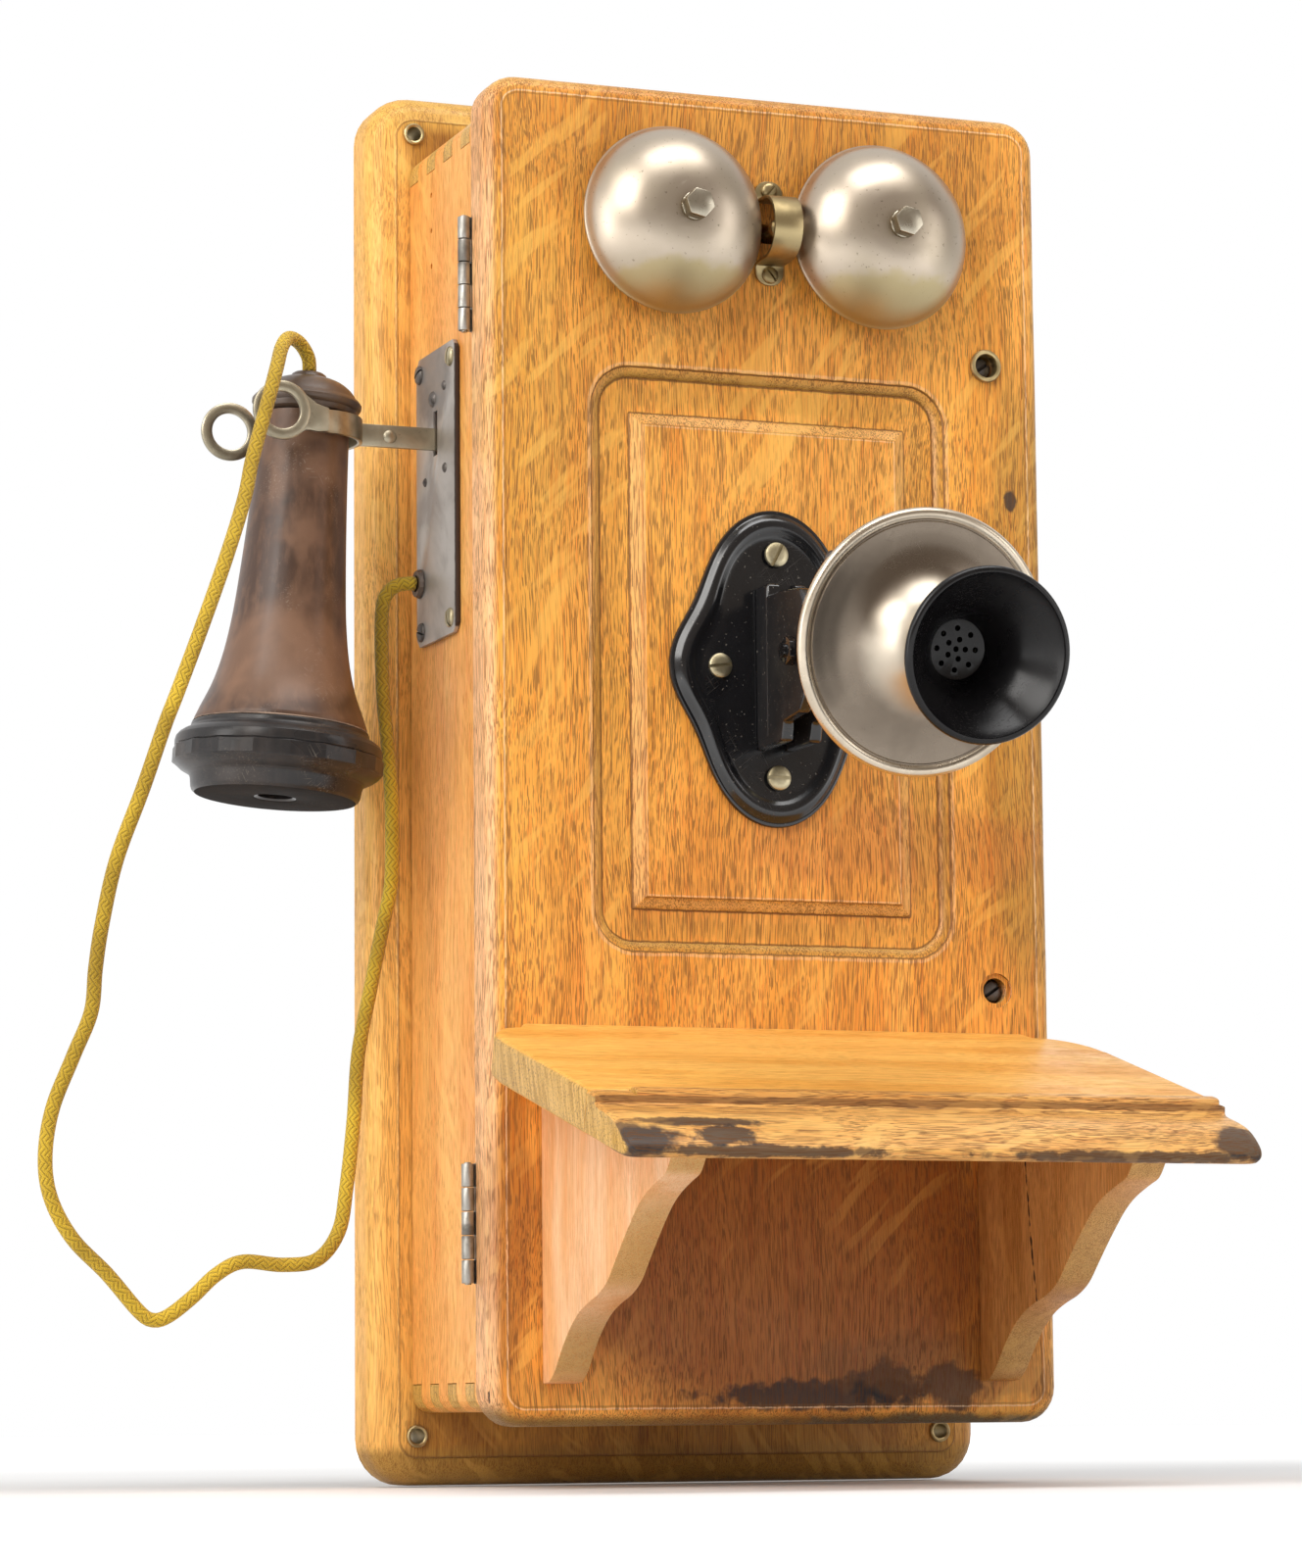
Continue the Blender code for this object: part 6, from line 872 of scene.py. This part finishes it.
rings = [lobes(inset, ON_DOOR - lift) for inset, lift in ((0.2, 0), (0, 0.3), (0, 1.2), (0.3, 1.7),
        (0.9, 1.9), (1.5, 1.9), (2.1, 2.3), (2.9, 3.1), (4, 3.75), (5.4, 4), (6.8, 3.8), (8, 3.2),
        (8.8, 2.6), (9.6, 2.35), (12, 2.3))]
plate = loft(rings)
foot = block((-7.6, -126, 3), (7.6, -114.8, 57))
ease(foot, 1.6, 4, 60)
plate = carve(plate, foot, "UNION")
EAR = [(-115.2, 53), (-115.2, 0.8), (-137, 1.2), (-138.5, 7.6), (-152.5, 9), (-157, 14), (-157, 46),
    (-152.5, 51), (-138, 52.6)]
for sign in (-1, 1):
    low, high = sorted((sign * 2.9, sign * 7.4))
    plate = carve(plate, ease(prism(EAR, low, high, SIDEWAYS), 1.1, 3, 25), "UNION")
gap = block((-3, -160, -6), (3, -123, 62))
plate = carve(plate, gap)
plate = carve(plate, bar((-10, *PIVOT), (10, *PIVOT), 2.65))
plate = piece("transmitter_cover_plate", plate, "door", DARK["japan"],
    ["transmitter_bracket"], 30)
also(plate, DARK["paint"], lambda face: face.normal.x < -0.95 and face.center.y < -0.117)
heads = bmesh.new()
for x, z, deep, spin in ((0, 68.6, 3.9, 1.1), (-20.5, 29.5, 2.3, 0.12), (20.5, 29.5, 2.3, 0.5),
        (0, -8.6, 3.9, 0)):
    into(heads, screw((x, ON_DOOR - deep, z), -Y, 4.3, 1.5, spin, 1.1))
piece("cover_plate_screws", heads, "door", METAL["screw"])
bolt = bar((-12.2, *PIVOT), (11.2, *PIVOT), 2.5)
into(bolt, ease(bar((-7.7, *PIVOT), (-10.9, *PIVOT), 5, sides=6), 0.4, 2))
into(bolt, ease(bar((7.7, *PIVOT), (11.3, *PIVOT), 5.4, 4.4), 0.6, 3, 50))
piece("tilting_bolt_and_nut", bolt, "door", DARK["japan"], ["pivot_bolt"])

# Transmitter: its frame's Z runs out along the sound axis
TILT = radians(13.17)
out = Vector((0, -cos(TILT), -sin(TILT)))
up = Vector((0, -sin(TILT), cos(TILT)))
side = up.cross(out)
pivot = at(0, *PIVOT)
TX = Matrix.Translation(pivot + up * 10.1 * MM) @ Matrix(((side.x, up.x, out.x, 0),
        (side.y, up.y, out.y, 0), (side.z, up.z, out.z, 0), (0, 0, 0, 1)))
FACE = 89.3
cup = [(0, FACE - 22), (22, FACE - 22), (28.5, FACE - 16.4), (35.8, FACE - 7), (35.8, FACE - 3.3)]
cup += [(40.6, FACE - 3.3), (40.6, FACE - 4.4), (39.6, FACE - 8), (38.6, FACE - 9.4)]
cup += flow([(38.2, FACE - 10), (34.6, FACE - 15), (31, FACE - 18), (27.4, FACE - 22.4),
        (24.4, FACE - 24.6), (20, FACE - 25)], 4)
cup += [(0, FACE - 25)]
cup = turn(cup, TX, 96)
TONGUE = Matrix.Translation(pivot) @ Matrix(((out.x, up.x, 1, 0), (out.y, up.y, 0, 0), (out.z, up.z, 0, 0),
        (0, 0, 0, 1)))
edge = arc(0, 0, 7, 7, 100, 260, 16)
edge += [(58.3, -6), (65.3, -11), (65.3, 13), (58.3, 7)]
cup = carve(cup, ease(prism(edge, -2.7, 2.7, TONGUE), 0.5, 2, 60), "UNION")
cup = carve(cup, bar((-9, *PIVOT), (9, *PIVOT), 2.65))
piece("transmitter_back_cup", cup, "transmitter", DARK["japan"], ["transmitter_cup"], 35)

horn = flow([(12.4, FACE + 23), (12.7, FACE + 19), (13.5, FACE + 14.5), (15.6, FACE + 10.3),
        (19.2, FACE + 6.4), (23.8, FACE + 3.2), (29, FACE + 1.4), (34.4, FACE + 0.65), (38.6, FACE + 0.4)],
    5)
horn += [(39, FACE - 0.1), (39.4, FACE - 0.1)] + arc(41.1, FACE - 1.1, 2.1, 2, 150, -90, 14)
horn += [(35.2, FACE - 3), (35.2, FACE - 1.2), (24, FACE), (16.8, FACE + 6.4), (11, FACE + 15),
    (11, FACE + 23)]
horn = piece("nickel_faceplate", turn(horn, TX, 128), "transmitter", METAL["face"], ["faceplate"],
    38)
# The rolled rim takes the paler nickel, painted highlight
also(horn, METAL["rim"], lambda face: (TX.inverted() @ face.center).xy.length > 39.3 * MM)

LIP, NECK = FACE + 50.5, FACE + 23.3
bell = [(0, NECK + 1.6), (8.8, NECK + 1.6)]
bell += flow([(9.6, NECK + 2), (10.4, LIP - 22), (12.2, LIP - 17.4), (15.4, LIP - 12.4), (20, LIP - 7.2),
        (24.2, LIP - 2.6), (25.8, LIP - 0.5)], 5)
bell += arc(26.2, LIP - 1.7, 1.7, 1.7, 100, -60, 10)
bell += flow([(26.6, LIP - 4.2), (22.6, LIP - 8.8), (17.6, LIP - 14.4), (14.2, LIP - 20), (12.9, LIP - 24),
        (12.7, NECK)], 5)
bell += [(0, NECK)]
mouth = turn(bell, TX, 112)
bores = bmesh.new()
for count, r in ((1, 0), (5, 3.2), (8, 6.6)):
    for i in range(count):
        t = TAU * i / count
        a = TX @ at(r * cos(t), r * sin(t), NECK - 1)
        b = TX @ at(r * cos(t), r * sin(t), NECK + 3)
        into(bores, bar(a / MM, b / MM, 0.95, sides=16))
piece("horn_mouthpiece", carve(mouth, bores), "transmitter", DARK["mouth"], ["mouthpiece"],
    40)
rim_way = Vector((-0.79, 0.61, 0)).normalized()
rim_screw = screw(TX @ ((rim_way * 42.2 + Vector((0, 0, FACE - 2.4))) * MM) / MM, TX.to_3x3() @ rim_way,
    1.9, 1.3, 0.8, 0.6)
piece("rim_screw", rim_screw, "transmitter", METAL["iron"])

# Shelf: its frame's Y runs back up the slope
SHELF = Matrix.Translation(at(0, ON_DOOR, -94)) @ Matrix.Rotation(radians(15), 4, "X")
half, notch_x, notch_y = 110, 17.5, 28
plan = [(half - 1, -112), (half, -notch_y - 3)]
plan += arc(half - 0.9 * notch_x - 0.6, -notch_y, 0.9 * notch_x, 0.82 * notch_y, 0, 90, 16)
plan += [(half - notch_x - 1.5, 6)]
plan += [(-a, b) for a, b in reversed(plan)]
top = prism(plan, -14.5, 0, SHELF)
ease(top, 2.4, 4, 50, lambda e: abs((SHELF.inverted() @ e.verts[0].co).z
        - (SHELF.inverted() @ e.verts[1].co).z) < 1e-5)
front = block((-140, -130, -30), (140, -112, 30), SHELF)
rear = block((-140, ON_DOOR, -140), (140, ON_DOOR + 30, -60))
piece("sloping_shelf", carve(carve(top, front), rear), "door", OAK["shelf"], ["shelf_board"], 30)

moulding = [(-112.3, -0.3), (-120.2, -0.3), (-120.6, -2.6), (-121.6, -3.3)]
moulding += flow([(-124.4, -3.6), (-130, -3.7), (-136.4, -4.2), (-141.8, -5.6), (-146.4, -7.8),
        (-149.2, -9.8), (-150, -11.4), (-149.2, -13), (-147.2, -14.2), (-144.5, -14.5)], 4)
moulding += [(-112.3, -14.5)]
stations = []
for reach, drop in ((109, 0.075), (108.5, 0.045), (107.4, 0.018), (105.6, 0.004), (103, 0)):
    stations.append((reach, [(-112.3 + (b + 112.3) * (1 - drop), -7.4 + (c + 7.4) * (1 - 2 * drop))
        for b, c in moulding]))
stations = [(-x, ring) for x, ring in stations] + stations[::-1]
lip = loft([[SHELF @ at(x, b, c) for b, c in ring] for x, ring in stations])
bead = [(-112.3, -1), (-112.3, 0), (-114, 0.2), (-114.6, 1.3), (-115.2, 1.5), (-118.4, 1.5), (-119.4, 1.2),
    (-119.9, 0.4), (-119.9, -1)]
bead = prism(bead, -95.5, 106.8, SHELF @ SIDEWAYS)
ease(bead, 0.9, 3, 50, lambda e: abs((SHELF.inverted() @ e.verts[0].co).x
        - (SHELF.inverted() @ e.verts[1].co).x) < 1e-6)
lip = carve(lip, bead, "UNION")
piece("moulded_front_strip", lip, "door", OAK["strip"], ["shelf_front_strip"], 32)

UNDER = -14.8 / cos(radians(15))
curve = [(-231, -144.8), (-226.4, -149.2), (-219.2, -151.4), (-209.5, -154.6), (-202, -158.4),
    (-195.4, -163.2), (-188.2, -169), (-181, -175.2), (-173.6, -181.4), (-165.2, -185.2), (-156.8, -187.4),
    (-148.2, -190.2), (-141, -194), (-134.8, -198.6), (-129.2, -203.8), (-124.2, -209), (-118.5, -212.6)]
bracket = [(ON_DOOR, -94 + UNDER), (ON_DOOR - 122, -94 + UNDER - 122 * tan(radians(15)))] + flow(curve, 4)
bracket += [(ON_DOOR, -213)]
# The right bracket takes the darker copy of the oak, painted shade
for tag, sign in (("left", -1), ("right", 1)):
    low, high = sorted((sign * 73.5, sign * 85.5))
    piece("curved_bracket_" + tag, ease(prism(bracket, low, high, SIDEWAYS), 0.5, 2, 60), "door",
        OAK["bracket" if sign < 0 else "shaded"], ["shelf_bracket_" + tag], 32)

# Hook plate on the left side, with its screws, rivets and slot
PLATE_X = -102.2
corners = [(-36.2, 146), (-73, 146), (-76, 143), (-76, 46.5), (-73, 43.5), (-36.2, 43.5), (-33.2, 46.5),
    (-33.2, 143)]
plate = prism(corners, -102.2, -100.7, SIDEWAYS)
holes = block((-104, -56.2, 108.6), (-99, -51.8, 124.3))
into(holes, bar((-104, -36.9, 66), (-99, -36.9, 66), 4.3))
plate = ease(carve(plate, holes), 0.3, 2, 50)
dark_heads, bright_heads = bmesh.new(), bmesh.new()
for i, (y, z, to) in enumerate(((-37, 140.5, dark_heads), (-70.5, 140.5, bright_heads),
            (-69.6, 49, bright_heads), (-38.6, 48.5, dark_heads))):
    into(to, screw((PLATE_X + 0.1, y, z), -X, 3.4, 1.5, 0.4 + 0.8 * i, 0.8))
for y, z, r in ((-51.5, 129, 3), (-63.8, 131.6, 1.8), (-43, 101, 1.7), (-64.5, 102.4, 1.9)):
    into(dark_heads, turn([(0, r * 0.55), (r * 0.5, r * 0.45), (r * 0.85, r * 0.2), (r, -0.2), (0, -0.2)],
            along(at(PLATE_X, y, z), -X), 20))
piece("hook_side_plate", plate, "case", METAL["plate"], ["hook_plate"], 35)
piece("hook_plate_screws", dark_heads, "case", METAL["iron"])
piece("hook_plate_bright_screws", bright_heads, "case", METAL["screw"])

# Hook lever: a strap bent round the neck with two rings, and the arm into the case
fork = [(-8, -20.7), (-3, -20.2)]
fork += arc(0, 0, 18.4, 18.4, -80, 80, 28)
fork += [(-3, 20.2), (-13.6, 20.7)]
fork = flow([(x - 149, y - 54) for x, y in fork], 2)
lever = strip_along(fork, 1.8, 110.1, 118.3, Matrix.Identity(4))
ease(lever, 0.35, 2, 60)
into(lever, ease(block((-131.2, -54.9, 110.3), (-73, -53.1, 118.1)), 0.3, 2))
for x, y in ((-164, -74.7), (-170.5, -33.3)):
    ring = turn([(6.5, 0.7), (6.9, 1), (9.7, 1), (10.2, 0.6), (10.2, -0.6), (9.7, -1), (6.9, -1),
            (6.5, -0.7)], along(at(x, y, 116.6), Y), 64)
    into(lever, ring)
    flare = [(x + 5, 125.4), (x + 8.6, 122.2), (x + 12.4, 119.4), (x + 16.6, 118.2), (x + 16.6, 110.2),
        (x + 12.4, 109.8), (x + 8.6, 110.4), (x + 5, 107.8), (x + 7.6, 112.6), (x + 8.2, 116.6),
        (x + 7.6, 120.6)]
    into(lever, ease(prism(flare, -y - 0.95, -y + 0.95, FRONTAL), 0.3, 2, 60))
into(lever, turn([(2.15, 4), (5, 4), (5, -4), (2.15, -4)], along(at(-83, -54, 114.2), Y), 32))
into(lever, turn([(0, 0.8), (1.6, 0.7), (2.4, 0.1), (2.4, -0.3), (0, -0.3)],
        along(at(-119, -54.9, 114), -Y), 24))
piece("forked_hook_lever", lever, "hook", METAL["strap"], ["hook_lever"], 40)

# Receiver: turned cap, shell and dome on an axis that leans a little
REC = Matrix.Translation(at(-160.2, -54, -14)) @ Matrix.Rotation(radians(4.7), 4, "Y")
cap = [(27.6, 4.6), (27.6, 24), (30.1, 24), (30.4, 23.6), (30.6, 22.4), (31.2, 21.6), (33, 20.8),
    (34.4, 19.8), (35.3, 18.6), (35.6, 17.2), (35.5, 15.6), (35, 15), (35, 14.4), (35.6, 13.8),
    (35.6, 10.4), (35.2, 9.7), (34.2, 8.9), (33.4, 8.2), (32.2, 7.6), (30.4, 6.6), (29.7, 5.8), (29.4, 4.8),
    (29, 1.9), (28.6, 1), (27.6, 0.2), (26.4, 0), (9, 0), (7.2, 0.3), (6, 0.8), (6.4, 2), (8, 4.6)]
cap = turn(cap, REC, 96)
into(cap, turn([(33, 15.4), (35.7, 15.2), (36.1, 14.8), (36.1, 10.2), (35.7, 9.8), (33, 9.6)], REC, 18))
cap_piece = piece("receiver_turned_cap", cap, "receiver", DARK["cap"], ["receiver_cap"],
    18)
down = REC.to_3x3() @ -Z
also(cap_piece, DARK["ear"], lambda face: face.normal.dot(down) > 0.9
    and (REC.inverted() @ face.center).z < 0.4 * MM)
piece("worn_joint_line", turn([(29.2, 24.8), (29.9, 24.6), (30.15, 24.2), (29.2, 24.05)], REC, 96),
    "receiver", DARK["joint"])
body = [(15.2, 133.2)] + flow([(15.4, 128), (16.1, 112), (17, 96), (18.2, 78), (19.6, 62), (21.6, 49),
        (24.4, 38.4), (28, 29.6), (29.6, 25.6)], 5)
body += [(29.6, 24.3), (25, 24.3), (25, 28.3), (14, 66), (11.4, 133.2)]
piece("receiver_turned_shell", turn(body, REC, 96), "receiver", DARK["shell"],
    ["receiver_shell"], 32)
dome = [(3, 149), (5, 149), (5.9, 148.4), (6.4, 147.4), (7.4, 147.1)] + flow([(8, 146.9), (12, 145.4),
        (15.2, 143), (17, 140.6)], 4)
dome += [(17.4, 140), (18.2, 139.6), (18.9, 138.6), (18.9, 137.4), (18.4, 136.6), (17.6, 136.2),
    (17.6, 135.6), (17, 134.4), (14, 133.5), (3, 133.5)]
piece("receiver_turned_dome", turn(dome, REC, 80), "receiver", DARK["dome"],
    ["receiver_dome"], 32)

# Receiver cord: the CAD route again, read finely
REC_TOP = REC @ at(0, 0, 149.3) / MM
CORD_END = Vector((-104.2, -36.9, 66))
ROUTE = (REC_TOP, (-148.4, -54.3, 140), (-152.2, -56.6, 144.4), (-157.8, -62.4, 144.6),
    (-162.8, -70.6, 139.4), (-166.8, -78, 130.6), (-170.4, -82.2, 120.6), (-174.2, -84.4, 108.4),
    (-178.2, -87, 95.6), (-181.6, -89.6, 82), (-189.4, -94.6, 60.4), (-198.4, -97.6, 36.6),
    (-206.9, -98.2, 14), (-211, -97.6, 3), (-217.6, -95, -18), (-225, -90, -41), (-228.4, -85, -61.5),
    (-229.3, -80, -76), (-229.4, -75, -90), (-234.4, -71, -104.6), (-240, -66, -121.6),
    (-241.6, -63, -137.6), (-239, -61, -151), (-231.4, -60, -164), (-219.6, -60, -175.6),
    (-209, -60, -187.6), (-204, -60, -190.8), (-198.6, -60, -189.4), (-190.6, -60, -183.4),
    (-182, -60, -175.6), (-173, -60, -171.4), (-159, -60, -172.4), (-147, -60, -170.6), (-138.8, -58, -161),
    (-135.4, -56, -146), (-131.6, -52, -123.4), (-128.6, -48, -100), (-123.6, -46, -77.6),
    (-118.6, -45, -54.6), (-115.4, -44, -40), (-114.8, -43, -15), (-115.9, -42, 8), (-117, -41, 22),
    (-117.2, -39.8, 36), (-117, -38.6, 47), (-116.4, -37.6, 56), (-114.9, -37, 61.2), (-111.4, -36.9, 64.8),
    CORD_END - Vector((2.4, 0, 0)), CORD_END)


def even(points, step):
    walked, found = 0, [points[0]]
    total = sum((b - a).length for a, b in zip(points, points[1:]))
    gap = total / round(total / step)
    for a, b in zip(points, points[1:]):
        while walked + (b - a).length >= gap * len(found):
            found.append(a.lerp(b, (gap * len(found) - walked) / (b - a).length))
        walked += (b - a).length
    return found[:round(total / gap)] + [points[-1]]


# A tube along points, its rings carried without twist, with UV along and round it
def tube(points, radius, sides):
    bm = bmesh.new()
    uv = bm.loops.layers.uv.new("UVMap")
    frame_x = None
    rings = []
    walked = [0]
    for a, b in zip(points, points[1:]):
        walked.append(walked[-1] + (b - a).length)
    for i, p in enumerate(points):
        ahead = (points[min(i + 1, len(points) - 1)] - points[max(i - 1, 0)]).normalized()
        frame_x = ahead.orthogonal() if frame_x is None else frame_x - ahead * frame_x.dot(ahead)
        frame_x.normalize()
        frame_y = ahead.cross(frame_x)
        turns = [TAU * k / sides for k in range(sides)]
        rings.append([bm.verts.new(p + frame_x * cos(t) * radius + frame_y * sin(t) * radius) for t in turns])
    for i, (low, high) in enumerate(zip(rings, rings[1:])):
        for k in range(sides):
            n = (k + 1) % sides
            face = bm.faces.new((low[k], low[n], high[n], high[k]))
            for loop, (u, v) in zip(face.loops, ((walked[i], k), (walked[i], k + 1), (walked[i + 1], k + 1),
                        (walked[i + 1], k))):
                loop[uv].uv = (u, v / sides)
    bm.faces.new(rings[0][::-1])
    bm.faces.new(rings[-1])
    return bm


line = even([Vector(p) * MM for p in flow([tuple(p) for p in ROUTE], 12)], 0.0015)
CORD_R = 2.45 * MM
cord_mesh = bpy.data.meshes.new("braided_cord")
bm = tube(line, CORD_R, 20)
bm.to_mesh(cord_mesh)
bm.free()
cord_mesh.shade_smooth()
cord_mesh.materials.append(braid)
cord = placed("braided_cord", cord_mesh)
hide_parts("receiver_cord")
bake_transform(cord)

# CAD pieces that stay: case boards and what is inside
KEPT = ((OAK["side"], "case_left case_right"), (OAK["across"], "case_top case_bottom"),
    (OAK["inner"], "inner_shelf"),
    (METAL["brass"], "clapper carbon_capsule crank_bushing magneto_frame terminal_strip"),
    (METAL["iron"], "ringer_frame ringer_magnet hook_bracket horseshoe_magnets armature"),
    (METAL["steel"], "transmitter_diaphragm receiver_magnet crank_shaft"), (METAL["strap"], "crank_arm"),
    (DARK["winding"], "ringer_coil_left ringer_coil_right induction_coil"), (DARK["cap"], "crank_knob"),
    (DARK["dome"], "cord_bushing contact_stack"))
for material, names in KEPT:
    for name in names.split():
        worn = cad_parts[name].data.materials
        worn.clear()
        worn.append(material)


# Floor and studio light
def lamp(name, spot, aim, size, watts, tint=(1, 1, 1)):
    data = bpy.data.lights.new(name, "AREA")
    data.shape = "RECTANGLE"
    data.size, data.size_y = size
    data.energy = watts
    data.color = tint
    obj = placed(name, data)
    facing = (Vector(aim) - Vector(spot)).to_track_quat("-Z", "Y")
    obj.matrix_world = Matrix.Translation(spot) @ facing.to_matrix().to_4x4()


lamp("key_softbox", (-1.9, -1.5, 1.5), (0, 0, 0), (1.2, 1.6), 44, (1, 0.98, 0.95))
lamp("left_softbox", (-2.3, -0.5, 0.2), (0, 0, 0), (0.8, 1.6), 16, (1, 0.98, 0.95))
lamp("top_softbox", (0.2, -0.9, 2), (0, 0, -0.1), (1.6, 0.9), 27)
lamp("fill_softbox", (1.9, -1.6, 0.3), (0, 0, 0), (0.9, 1.6), 10)

bm = bmesh.new()
bmesh.ops.create_grid(bm, x_segments=1, y_segments=1, size=6, matrix=Matrix.Translation((0, 0, -0.2476)))
floor_mesh = bpy.data.meshes.new("studio_floor")
bm.to_mesh(floor_mesh)
bm.free()
placed("studio_floor", floor_mesh)
mat, net, shader = blank("pale_floor")
shader["Base Color"] = (0.86, 0.86, 0.86, 1)
shader["Roughness"] = 0.9
rays = net.add("LightPath").outputs
seen = net.most(rays["Is Camera Ray"], net.most(rays["Is Glossy Ray"], rays["Is Transmission Ray"]))
shader["Emission Color"] = (1, 1, 1, 1)
reach = net.vector("LENGTH", net.add("TexCoord").outputs["Object"])
shader["Emission Strength"] = net.times(seen, net.step(reach, 0.2, 1.6, 0.04, 0.8))
floor_mesh.materials.append(mat)

world = bpy.data.worlds.new("studio")
scene.world = world
world.use_nodes = True
net = Net(world.node_tree)
world.node_tree.nodes.clear()
rays = net.add("LightPath").outputs
way = net.add("TexCoord").outputs["Generated"]
front = net.step(net.vector("DOT_PRODUCT", way, (0.15, -0.97, 0.1)), -0.25, 0.65)
room = net.mix(front, (1, 1, 1), (0.36, 0.3, 0.25))
seen = net.most(rays["Is Camera Ray"], rays["Is Transmission Ray"])
shown = net.mix(seen, room, (1, 1, 1))
plain = net.add("Background", {"Color": (1, 1, 1), "Strength": 0.3}).outputs[0]
white = net.add("Background", {"Color": shown, "Strength": 1}).outputs[0]
direct = net.most(seen, rays["Is Glossy Ray"])
net.add("OutputWorld", {"Surface": net.add("MixShader", {0: direct, 1: plain, 2: white}).outputs[0]})
scene.view_settings.view_transform = "Standard"
